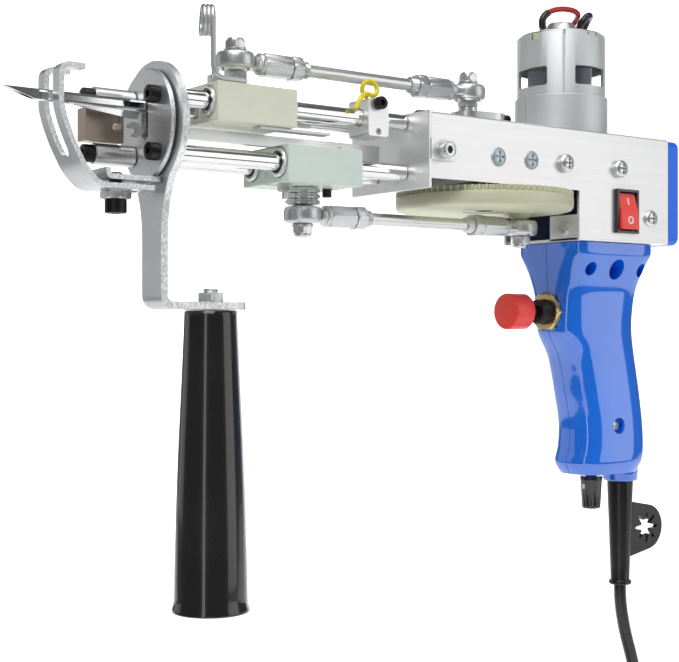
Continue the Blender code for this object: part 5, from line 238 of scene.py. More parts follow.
def make_material(name: str, finish: Finish) -> bpy.types.Material:
    """Builds a slot's material.

    Every grain has a height for the bump, a shade that runs from the finish's dark colour to its
    light one, and a roughness that varies about the finish's own, all from the same noises. The
    scales of the noises are in waves per metre.

    Args:
        name: the slot's name.
        finish: its looks.

    Returns:
        The material.
    """
    net = Net(name)
    broad = net.noise((38.0, 38.0, 38.0), 3.0)
    specks = net.noise((1500.0, 1500.0, 1500.0), 2.0, 0.7)
    dust = specks.over(0.60, 0.74)
    rim = net.node("ShaderNodeAttribute", {"attribute_name": "rim"}, {}, "Fac")
    if finish.grain is Grain.BRUSHED:
        fine = net.noise((30.0, 2600.0, 2600.0), 3.0, 0.6)
        wide = net.noise((6.0, 420.0, 420.0), 2.0)
        height = fine + wide * 0.6
        shade = (broad * 0.4 + fine * 0.8 + wide * 0.5).over(0.35, 1.25)
        rough = (fine * 0.24 + broad * 0.10) + (finish.roughness - 0.17)
    elif finish.grain is Grain.SHEET:
        fine = net.noise((900.0, 900.0, 900.0), 4.0, 0.65)
        shear = net.noise((1500.0, 1500.0, 700.0), 3.0, 0.7)
        height = fine + rim * shear * 3.0
        shade = (broad * 0.9 + fine * 0.5).over(0.40, 1.05)
        rough = (fine * 0.16 + broad * 0.14) + (finish.roughness - 0.15)
    elif finish.grain is Grain.TURNED:
        fine = net.noise((1800.0, 1800.0, 1800.0), 2.0)
        height = fine
        shade = (broad * 0.6 + fine * 0.4).over(0.25, 0.80)
        rough = (broad * 0.12 + fine * 0.06) + (finish.roughness - 0.09)
    elif finish.grain is Grain.MACHINED:
        fine = net.noise((260.0, 1900.0, 1900.0), 3.0, 0.6)
        height = fine + specks * 0.4
        shade = (broad * 0.8 + fine * 0.5).over(0.35, 1.0)
        rough = (fine * 0.14 + broad * 0.10) + (finish.roughness - 0.12)
    else:
        peel = 620.0 if finish.grain is Grain.MOULDED else 2100.0
        fine = net.noise((peel, peel, peel), 2.0)
        height = fine
        shade = (broad * 0.7 + specks * 0.3).over(0.30, 0.75)
        rough = (broad * 0.10 + dust * 0.10) + (finish.roughness - 0.05)
    dark = tinted(finish.colour, 1 - finish.mottle)
    light = tinted(finish.colour, 1 + finish.mottle)
    colour = net.mix(shade, dark, light)
    if finish.grain is Grain.SHEET:
        colour = net.mix(rim * shear.over(0.40, 0.62), colour, tinted(finish.colour, 1.5))
    if finish.metallic < 0.5:
        colour = net.mix(dust * 0.015, colour, (0.45, 0.44, 0.42, 1.0))
    bump = net.node(
        "ShaderNodeBump", {}, {"Strength": finish.relief, "Distance": 0.0002, "Height": height}
    )
    inputs = {
        "Base Color": colour,
        "Roughness": rough,
        "Metallic": finish.metallic,
        "Coat Weight": finish.coat,
        "Coat Roughness": 0.04,
        "Coat IOR": 1.5 + 0.4 * finish.coat,
        "Normal": bump,
    }
    surface = net.node("ShaderNodeBsdfPrincipled", {}, inputs)
    net.close(surface)
    return net.material


class Shape:
    """Closed surfaces in machine millimetres, with a mark on faces that are sheared edges."""

    def __init__(self, points: object, faces: Sequence[tuple], rims: Iterable[int] = ()) -> None:
        self.points = np.asarray(points, float).reshape(-1, 3)
        self.faces = [tuple(int(corner) for corner in face) for face in faces]
        self.rims = set(rims)

    def __add__(self, other: "Shape") -> "Shape":
        count = len(self.points)
        faces = self.faces + [tuple(corner + count for corner in face) for face in other.faces]
        rims = self.rims | {face + len(self.faces) for face in other.rims}
        return Shape(np.vstack((self.points, other.points)), faces, rims)

    def moved(self, x: float = 0.0, y: float = 0.0, z: float = 0.0) -> "Shape":
        """Copy of the shape, shifted along X, Y and Z."""
        return Shape(self.points + np.array((x, y, z)), self.faces, self.rims)

    def turned(self, angle: float, axis: Axis, about: Point) -> "Shape":
        """Copies the shape turned about a line.

        Args:
            angle: turn in radians.
            axis: direction of the line.
            about: point on the line.

        Returns:
            The turned shape.
        """
        matrix = np.array(Matrix.Rotation(angle, 3, axis.name))
        centre = np.asarray(about, float)
        return Shape((self.points - centre) @ matrix.T + centre, self.faces, self.rims)


def on_axis(first: np.ndarray, second: np.ndarray, along: np.ndarray, axis: Axis) -> np.ndarray:
    """Puts section coordinates and a height on an axis.

    Args:
        first: first section coordinate.
        second: second section coordinate.
        along: height on the axis.
        axis: the axis.

    Returns:
        Points, one row each.
    """
    points = np.empty((len(first), 3))
    for column, content in zip(axis.value, (first, second, along)):
        points[:, column] = content
    return points


def band(low: np.ndarray, high: np.ndarray) -> list[list[int]]:
    """Faces between two closed rings of points.

    Args:
        low: the numbers of one ring's points, or one number for a pole.
        high: those of the other ring.

    Returns:
        One face a side: four corners, or three at a pole.
    """
    if len(low) == 1:
        corners = (np.repeat(low, len(high)), np.roll(high, -1), high)
    elif len(high) == 1:
        corners = (low, np.roll(low, -1), np.repeat(high, len(low)))
    else:
        corners = (low, np.roll(low, -1), np.roll(high, -1), high)
    return np.stack(corners, axis=1).tolist()


def revolve(
    rows: Sequence[Row], start: Point, axis: Axis = Axis.Z, sides: int = 64, way: int = 1
) -> Shape:
    """Solid of revolution whose radius may change round each ring.

    Each row gives a ring at radius r(a) and a height h: the ring's points are
    (r cos a, r sin a, way * h) from the start, on the axis. A radius of 0 is a single point. If
    neither end row is one, the last ring is joined to the first, which leaves a bore.

    Args:
        rows: (radius, height) pairs, where a radius may be an array with one entry a side.
        start: point that heights are counted from.
        axis: axis of the solid.
        sides: points round a ring.
        way: 1, or -1 for heights that count the other way.

    Returns:
        The solid.
    """
    angles = TURN * np.arange(sides) / sides
    blocks: list[np.ndarray] = []
    numbers: list[np.ndarray] = []
    count = 0
    for radius, height in rows:
        pole = np.isscalar(radius) and radius == 0
        used = np.zeros(1) if pole else angles
        reach = np.broadcast_to(radius, used.shape)
        along = np.full(len(used), way * height)
        blocks.append(on_axis(reach * np.cos(used), reach * np.sin(used), along, axis))
        numbers.append(count + np.arange(len(used)))
        count += len(used)
    pairs = list(zip(numbers, numbers[1:]))
    if len(numbers[0]) > 1 and len(numbers[-1]) > 1:
        pairs.append((numbers[-1], numbers[0]))
    faces = [face for low, high in pairs for face in band(low, high)]
    return Shape(np.vstack(blocks) + np.asarray(start, float), faces)


def ring(bore: float, radius: float, low: float, high: float, ease: float = 0.0) -> list[Row]:
    """Rows of a ring, or of a cylinder where the bore is 0, with its outer edges eased.

    Args:
        bore: radius of its bore, 0 for none.
        radius: outer radius.
        low: height of one end.
        high: height of the other.
        ease: how far its outer edges are cut back, 0 for sharp ones.

    Returns:
        The rows for revolve.
    """
    if ease == 0:
        return [(bore, low), (radius, low), (radius, high), (bore, high)]
    eased = radius - ease
    start = [(bore, low), (eased, low), (radius, low + ease)]
    return start + [(radius, high - ease), (eased, high), (bore, high)]


def oval(angles: np.ndarray, power: float) -> list[np.ndarray]:
    """Both coordinates of the squarish oval |a|^n + |b|^n = 1, n being the power.

    Each is the sign of the cosine or sine of the angle times its size to the power 2 / n.
    """
    parts = (np.cos(angles), np.sin(angles))
    return [np.abs(part) ** (2 / power) * np.sign(part) for part in parts]


def hexagon_radii(flats: float, sides: int, turn: float = 0.0) -> np.ndarray:
    """Radius round a hexagon with its corners turned down.

    The radius is half the flats over the cosine of the angle from the nearest flat's middle, and
    no more than 1.15 times half the flats.

    Args:
        flats: width across flats.
        sides: points round the ring.
        turn: angle of one flat's middle.

    Returns:
        One radius a side.
    """
    angles = TURN * np.arange(sides) / sides - turn
    off = np.mod(angles + CORNER, 2 * CORNER) - CORNER
    return np.minimum(flats / 2 / np.cos(off), flats / 2 * 1.15)


def cross_radii(reach: float, waist: float, sides: int) -> np.ndarray:
    """Radius round a cross recess.

    It goes from the waist to the reach over the flank's angle at each side of the four arms.

    Args:
        reach: radius of the four arms.
        waist: radius between them.
        sides: points round the ring.

    Returns:
        One radius a side.
    """
    angles = TURN * np.arange(sides) / sides
    near = np.abs(np.mod(angles + math.pi / 4, math.pi / 2) - math.pi / 4)
    half_arm, flank = 0.36, 0.12
    share = np.clip((half_arm - near) / flank, 0, 1)
    return waist + (reach - waist) * share


def knurl_radii(radius: float, depth: float, sides: int) -> np.ndarray:
    """Radius of each side round a straight knurl, every second one less by the depth."""
    return radius - depth * (np.arange(sides) % 2)


def slab(
    outline: object, low: float, high: float, axis: Axis = Axis.Z, holes: Sequence = (),
    rim: bool = False,
) -> Shape:
    """Prism of an outline with holes.

    Args:
        outline: section points, (y, z) for axis X, (z, x) for axis Y, (x, y) for axis Z.
        low: height of one end.
        high: height of the other.
        axis: axis of the prism.
        holes: outlines of through holes.
        rim: whether the walls are sheared edges.

    Returns:
        The prism.
    """
    loops = [np.asarray(loop, float) for loop in (outline, *holes)]
    flat = np.vstack(loops)
    count = len(flat)
    caps = tessellate_polygon([[Vector((x, y, 0.0)) for x, y in loop] for loop in loops])
    points = np.vstack([
        on_axis(flat[:, 0], flat[:, 1], np.full(count, level), axis) for level in (low, high)
    ])
    faces = [tuple(cap) for cap in caps] + [tuple(corner + count for corner in cap) for cap in caps]
    walls = len(faces)
    base = 0
    for loop in loops:
        numbers = base + np.arange(len(loop))
        faces += band(numbers, numbers + count)
        base += len(loop)
    return Shape(points, faces, range(walls, len(faces)) if rim else ())


def oblong(low: Point, high: Point, radius: float, steps: int = 8) -> np.ndarray:
    """Outline of a rectangle with round corners.

    Args:
        low: lowest corner.
        high: highest corner.
        radius: corner radius.
        steps: points round each corner.

    Returns:
        The outline's points.
    """
    angles = math.pi / 2 * (np.arange(4)[:, None] + np.arange(steps + 1) / steps)
    left, right = low[0] + radius, high[0] - radius
    bottom, top = low[1] + radius, high[1] - radius
    x = np.array((right, left, left, right))[:, None] + radius * np.cos(angles)
    y = np.array((top, top, bottom, bottom))[:, None] + radius * np.sin(angles)
    return np.stack((x, y), axis=2).reshape(-1, 2)


def block(low: Point, high: Point) -> Shape:
    """Block between its lowest and its highest corner; the piece's bevel softens its edges."""
    corners = ((low[0], low[1]), (high[0], low[1]), (high[0], high[1]), (low[0], high[1]))
    return slab(corners, low[2], high[2])


def smoothed(route: Sequence[Point], spacing: float) -> np.ndarray:
    """Points at a steady spacing on a smooth curve through a route's points.

    Between two route points the curve is the cubic whose slope at each is half the way from the
    point before to the point after.

    Args:
        route: the points.
        spacing: distance between the results.

    Returns:
        The curve's points.
    """
    line = np.asarray(route, float)
    parts = []
    for number in range(len(line) - 1):
        before, start = line[max(number - 1, 0)], line[number]
        end, after = line[number + 1], line[min(number + 2, len(line) - 1)]
        steps = max(1, round(float(np.linalg.norm(end - start)) / spacing))
        share = (np.arange(steps) / steps)[:, None]
        parts.append((
            start * 2 + (end - before) * share
            + (before * 2 - start * 5 + end * 4 - after) * share ** 2
            + (start * 3 - before - end * 3 + after) * share ** 3
        ) / 2)
    parts.append(line[-1:])
    return np.vstack(parts)


def bent(corners: Sequence[tuple[float, float, float]], spacing: float) -> np.ndarray:
    """Line of a bent sheet: straight runs joined by quadratic curves at its corners.

    Each corner is left and met at its cut-back, and the curve between is
    (1-t)^2 a + 2 t (1-t) corner + t^2 b.

    Args:
        corners: (first, second, cut-back) of each corner.
        spacing: distance between points.

    Returns:
        The line's points.
    """
    places = np.array([corner[:2] for corner in corners], float)
    line = [places[0]]
    for number in range(1, len(corners) - 1):
        here, back = places[number], corners[number][2]
        towards = places[number - 1] - here
        away = places[number + 1] - here
        start = here + towards / np.linalg.norm(towards) * back
        end = here + away / np.linalg.norm(away) * back
        share = np.linspace(0, 1, 13)[:, None]
        curve = (1 - share) ** 2 * start + 2 * share * (1 - share) * here + share ** 2 * end
        line.extend(curve)
    line.append(places[-1])
    dense = []
    for start, end in zip(line, line[1:]):
        steps = max(1, int(np.ceil(np.linalg.norm(end - start) / spacing)))
        dense.extend(start + (end - start) * step / steps for step in range(steps))
    dense.append(line[-1])
    return np.array(dense)


def sheet_strip(line: np.ndarray, halves: np.ndarray, thickness: float) -> Shape:
    """Bent strip of sheet metal along a line in the XZ plane.

    The two skins lie half the thickness to each side along the line's normal, and run across Y
    from minus to plus the half width of each row.

    Args:
        line: (x, z) points of the middle of the sheet.
        halves: half width at each point.
        thickness: thickness of the sheet.

    Returns:
        The strip, its edges marked as sheared.
    """
    slope = np.gradient(line, axis=0)
    slope /= np.linalg.norm(slope, axis=1)[:, None]
    normal = np.stack((-slope[:, 1], slope[:, 0]), axis=1) * thickness / 2
    across = np.linspace(-1, 1, 9)
    rows, columns = len(line), len(across)
    skins = []
    for side in (1, -1):
        place = line + side * normal
        grid = np.empty((rows, columns, 3))
        grid[:, :, 0] = place[:, 0, None]
        grid[:, :, 1] = halves[:, None] * across[None, :]
        grid[:, :, 2] = place[:, 1, None]
        skins.append(grid.reshape(-1, 3))
    numbers = np.arange(rows * columns).reshape(rows, columns)
    count = numbers.size
    corners = (numbers[:-1, :-1], numbers[:-1, 1:], numbers[1:, 1:], numbers[1:, :-1])
    skin = np.stack(corners, axis=2).reshape(-1, 4)
    faces = np.stack((skin, skin + count), axis=1).reshape(-1, 4).tolist()
    walls = len(faces)
    border = np.concatenate((
        numbers[0, :-1], numbers[:-1, -1], numbers[-1, :0:-1], numbers[:0:-1, 0],
    ))
    faces += band(border, border + count)
    return Shape(np.vstack(skins), faces, range(walls, len(faces)))


def tube(path: np.ndarray, radius: float, sides: int = 20) -> Shape:
    """Round bar along a path, its rings carried along without twist.

    The first ring's directions are turned at each point by the smallest turn that follows the
    path, so that the rings don't twist.

    Args:
        path: points of its middle line.
        radius: radius of the bar.
        sides: points round a ring.

    Returns:
        The bar with closed ends.
    """
    line = np.asarray(path, float)
    slope = np.gradient(line, axis=0)
    slope /= np.linalg.norm(slope, axis=1)[:, None]
    helper = Vector((0.0, 0.0, 1.0)) if abs(slope[0][2]) < 0.9 else Vector((1.0, 0.0, 0.0))
    side = Vector(slope[0]).cross(helper).normalized()
    angles = TURN * np.arange(sides)[:, None] / sides
    rings = []
    for number, place in enumerate(line):
        if number:
            side = Vector(slope[number - 1]).rotation_difference(Vector(slope[number])) @ side
        up = np.array(Vector(slope[number]).cross(side))
        rings.append(place + radius * (np.cos(angles) * np.array(side) + np.sin(angles) * up))
    return loft(rings)


def loft(rings: Sequence[np.ndarray]) -> Shape:
    """Closed surface through rings of equal count, with flat ends.

    Args:
        rings: the rings' points.

    Returns:
        The surface.
    """
    sides = len(rings[0])
    last = (len(rings) - 1) * sides
    faces = [tuple(range(sides)), tuple(range(last + sides - 1, last - 1, -1))]
    for base in range(0, last, sides):
        numbers = base + np.arange(sides)
        faces += band(numbers, numbers + sides)
    return Shape(np.vstack(rings), faces)


class Workshop:
    """Turns shapes into objects of the scene and puts them on their CAD bodies."""

    def __init__(self, frame: dict) -> None:
        record = frame["record"]
        self.frame = frame
        self.slots = {part["node"]: part["material_slot"] for part in record["subparts"]}
        self.bodies = {
            node: body for body, nodes in record["behaviour"]["bodies"].items() for node in nodes
        }
        self.materials = {name: make_material(name, finish) for name, finish in FINISHES.items()}
        self.done: set[str] = set()

    def mesh(self, name: str, shape: Shape) -> bpy.types.Object:
        """Makes a mesh object of a shape, in metres in the row frame.

        Args:
            name: the object's name.
            shape: the shape.

        Returns:
            The object.
        """
        mesh = bpy.data.meshes.new(name)
        mesh.from_pydata(((shape.points + SHIFT) * MM).tolist(), [], shape.faces)
        attribute = mesh.attributes.new("rim", "FLOAT", "FACE")
        marks = np.zeros(len(mesh.polygons), np.float32)
        marks[sorted(shape.rims)] = 1.0
        attribute.data.foreach_set("value", marks)
        work = bmesh.new()
        work.from_mesh(mesh)
        bmesh.ops.remove_doubles(work, verts=work.verts, dist=MERGE)
        bmesh.ops.recalc_face_normals(work, faces=work.faces)
        work.to_mesh(mesh)
        work.free()
        item = bpy.data.objects.new(name, mesh)
        bpy.context.scene.collection.objects.link(item)
        return item

    def carve(self, item: bpy.types.Object, cutters: Sequence[Shape]) -> None:
        """Cuts shapes out of an object and keeps the result as its mesh.

        Args:
            item: the object.
            cutters: what is cut.
        """
        for number, shape in enumerate(cutters):
            tool = self.mesh(f"{item.name}_tool_{number}", shape)
            step = item.modifiers.new("cut", "BOOLEAN")
            step.operation = "DIFFERENCE"
            step.solver = "EXACT"
            step.object = tool
            graph = bpy.context.evaluated_depsgraph_get()
            result = bpy.data.meshes.new_from_object(item.evaluated_get(graph))
            item.modifiers.clear()
            old, spent = item.data, tool.data
            item.data = result
            bpy.data.objects.remove(tool)
            for mesh in (old, spent):
                bpy.data.meshes.remove(mesh)

    def finish(
        self,
        item: bpy.types.Object,
        node: str,
        slot: Optional[str] = None,
        bevel: float = 0.0,
        replaces: bool = True,
        segments: int = 3,
        sharp: float = 34.0,
    ) -> bpy.types.Object:
        """Gives an object its material, soft edges and CAD body.

        Args:
            item: the object.
            node: CAD node that it stands for or rides with.
            slot: material slot, or None for the node's own.
            bevel: width of the soft edges in millimetres, 0 for none.
            replaces: whether it takes the node's place.
            segments: faces across a soft edge.
            sharp: angle in degrees from which an edge is one.

        Returns:
            The object.
        """
        own = slot or self.slots[node]
        item.data.materials.clear()
        item.data.materials.append(self.materials[own])
        item.data.shade_smooth()
        item.data.set_sharp_from_angle(angle=math.radians(sharp))
        if bevel > 0:
            step = self.soften(item, bevel, segments, sharp)
            step.use_clamp_overlap = True
            step.harden_normals = True
        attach(item, self.bodies[node])
        if replaces:
            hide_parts(node)
            self.done.add(node)
        own in self.slots.values()
        LOG.info("piece %s: %d faces, %s", item.name, len(item.data.polygons), own)
        return item

    @staticmethod
    def soften(
        item: bpy.types.Object, width: float, segments: int, sharp: float
    ) -> bpy.types.Modifier:
        """Softens an object's sharp edges.

        Args:
            item: the object.
            width: width of the soft edges in millimetres.
            segments: faces across a soft edge.
            sharp: angle in degrees from which an edge is one.

        Returns:
            The bevel.
        """
        step = item.modifiers.new("soft edges", "BEVEL")
        step.width = width * MM
        step.segments = segments
        step.limit_method = "ANGLE"
        step.angle_limit = math.radians(sharp)
        return step

    def add(
        self, name: str, shape: Shape, node: str, cutters: Sequence[Shape], **looks: object
    ) -> bpy.types.Object:
        """Makes, cuts and finishes one piece.

        Args:
            name: the piece's name.
            shape: its shape.
            node: CAD node that it stands for or rides with.
            cutters: shapes that are cut from it.
            **looks: what finish takes.

        Returns:
            The object.
        """
        item = self.mesh(name, shape)
        self.carve(item, cutters)
        return self.finish(item, node, **looks)

    def fine(
        self, node: str, shape: Shape, cutters: Sequence[Shape] = (), name: str = "", **looks: object
    ) -> bpy.types.Object:
        """Makes the piece that takes a CAD node's place, with a name of its own or fine_ NODE."""
        return self.add(name or f"fine_{node}", shape, node, cutters, **looks)

    def extra(
        self, name: str, shape: Shape, node: str, slot: Optional[str] = None,
        cutters: Sequence[Shape] = (), **looks: object,
    ) -> bpy.types.Object:
        """Makes a piece that rides with a CAD node, beside the piece that takes its place."""
        return self.add(name, shape, node, cutters, slot=slot, replaces=False, **looks)

    def keep(self, node: str, bevel: float) -> None:
        """Keeps a flat-sided CAD solid, with its own finish and soft edges.

        Args:
            node: the CAD node.
            bevel: width of the soft edges in millimetres.
        """
        item = self.frame["nodes"][node]
        item.data.materials.clear()
        item.data.materials.append(self.materials[self.slots[node]])
        self.soften(item, bevel, segments=2, sharp=40.0)
        self.done.add(node)
        LOG.info("kept %s", node)


class Assembly:
    """Sub-assembly of the machine, made in a workshop step by step."""

    steps: tuple[str, ...] = ()

    def __init__(self, shop: Workshop) -> None:
        self.shop = shop
        self.fine, self.extra, self.keep = shop.fine, shop.extra, shop.keep

    def build(self) -> None:
        """Makes the whole sub-assembly."""
        for step in self.steps:
            getattr(self, step)()


def cap_screw(
    seat: Point, axis: Axis, way: int, radius: float, height: float, socket: float, floor: float
) -> Shape:
    """Socket head of a cap screw with a fine straight knurl.

    Args:
        seat: middle of the head's underside.
        axis: the screw's axis.
        way: 1 or -1, the way from the seat to the top.
        radius: head radius.
        height: head height.
        socket: width across flats of the hexagon socket.
        floor: depth of the socket.

    Returns:
        The head.
    """
    sides = 72
    knurl = knurl_radii(radius, radius * 0.016, sides)
    hexagon = hexagon_radii(socket, sides)
    bottom = height - floor
    rows = [
        (0, 0), (radius * 0.94, 0), (knurl, radius * 0.06), (knurl, height - radius * 0.14),
        (radius * 0.96, height - radius * 0.04), (radius * 0.90, height), (hexagon * 1.08, height),
        (hexagon, height - socket * 0.06), (hexagon, bottom), (0, bottom - socket * 0.12),
    ]
    return revolve(rows, seat, axis, sides, way)


def pan_screw(seat: Point, axis: Axis, way: int, radius: float, height: float) -> Shape:
    """Round-topped screw head with a cross recess and the first bit of its shank.

    The crown is an ellipse cut off at 50 degrees: the radius is r cos a at a height of
    h (0.24 + 0.80 sin a). The recess is set into the flat that this leaves.

    Args:
        seat: middle of the head's underside.
        axis: the screw's axis.
        way: 1 or -1, the way from the seat to the crown.
        radius: head radius.
        height: head height.

    Returns:
        The head.
    """
    sides = 72
    shank = radius * 0.46
    rows: list[Row] = [(0, -4.0), (shank, -4.0), (shank, 0), (radius * 0.97, 0)]
    rows += [(radius, height * 0.10), (radius, height * 0.24)]
    for angle in math.radians(50) * np.arange(1, 10) / 9:
        rows.append((radius * math.cos(angle), height * (0.24 + 0.80 * math.sin(angle))))
    top = rows[-1][1]
    cross = cross_radii(radius * 0.62, radius * 0.15, sides)
    rows += [(cross * 1.05, top + height * 0.06), (cross, top + height * 0.01)]
    rows += [(cross * 0.86, top - height * 0.70), (0, top - height * 0.78)]
    return revolve(rows, seat, axis, sides, way)


def nut(
    seat: Point, axis: Axis, way: int, flats: float, height: float, bore: float, turn: float = 0.0
) -> Shape:
    """Hexagon nut, its corners turned down at both faces.

    Args:
        seat: middle of one face.
        axis: the nut's axis.
        way: 1 or -1, the way to the other face.
        flats: width across flats.
        height: height of the nut.
        bore: radius of its bore, 0 for a bolt head.
        turn: angle of one flat's middle.

    Returns:
        The nut.
    """
    sides = 72
    full = hexagon_radii(flats, sides, turn)
    low = np.minimum(full, flats / 2 * 1.01)
    ease = flats * 0.045
    rows: list[Row] = [(low, 0), (full, ease), (full, height - ease), (low, height)]
    if bore > 0:
        lip = bore + flats * 0.03
        rows = [(lip, 0), *rows, (lip, height), (bore, height - ease), (bore, ease)]
    else:
        dip = height - ease * 0.5
        rows = [(0, 0), *rows, (flats * 0.40, height), (flats * 0.37, dip), (0, dip)]
    return revolve(rows, seat, axis, sides, way)


def threaded(seat: Point, axis: Axis, way: int, radius: float, length: float, pitch: float) -> Shape:
    """Threaded end, its thread drawn as close ridges.

    Args:
        seat: start of the thread.
        axis: its axis.
        way: 1 or -1, the way along it.
        radius: outer radius.
        length: length of the thread.
        pitch: distance between ridges.

    Returns:
        The thread.
    """
    rows: list[Row] = [(0, 0)]
    count = max(2, int(length / pitch))
    for ridge in range(count):
        low = length * ridge / count
        rows += [(radius * 0.90, low + pitch * 0.05), (radius, low + pitch * 0.40)]
        rows.append((radius, low + pitch * 0.60))
    rows += [(radius * 0.88, length), (0, length)]
    return revolve(rows, seat, axis, 40, way)


@dataclass(frozen=True)
class Plan:
    """Places that several sub-assemblies share, in machine millimetres."""

    rods: tuple = (("upper", 90.1), ("lower", 68.4))
    sides: tuple = (("near", -1), ("far", 1))
    spread: float = 10.2
    disc: float = 80.0
    wall: float = 25.5
    screws: float = 77.0
    shaft: float = 146.5
    motor: float = 196.5
    links: tuple = (("upper", 11.5, 109.3), ("lower", 44.5, 48.7))
    link_length: float = 125.0
    trigger: float = 9.2
    cord: float = 238.3


PLAN = Plan()


@dataclass(frozen=True)
class HeadSizes:
    """Rods, bracket and front handle, in machine millimetres."""

    rod: float = 3.6
    core: float = 2.0
    rod_front: float = -23.5
    rod_rear: float = 90.2
    spigot_rear: float = 92.1
    seats: tuple = (-29.9, -47.2)
    head: float = 24.8
    shoulder: float = 14.5
    arm: float = 7.8
    flow: float = 26.0
    foot_screw: float = -42.0
    handle_top: float = 8.2
    handle_bottom: float = -112.0
    handle_foot: float = 5.0


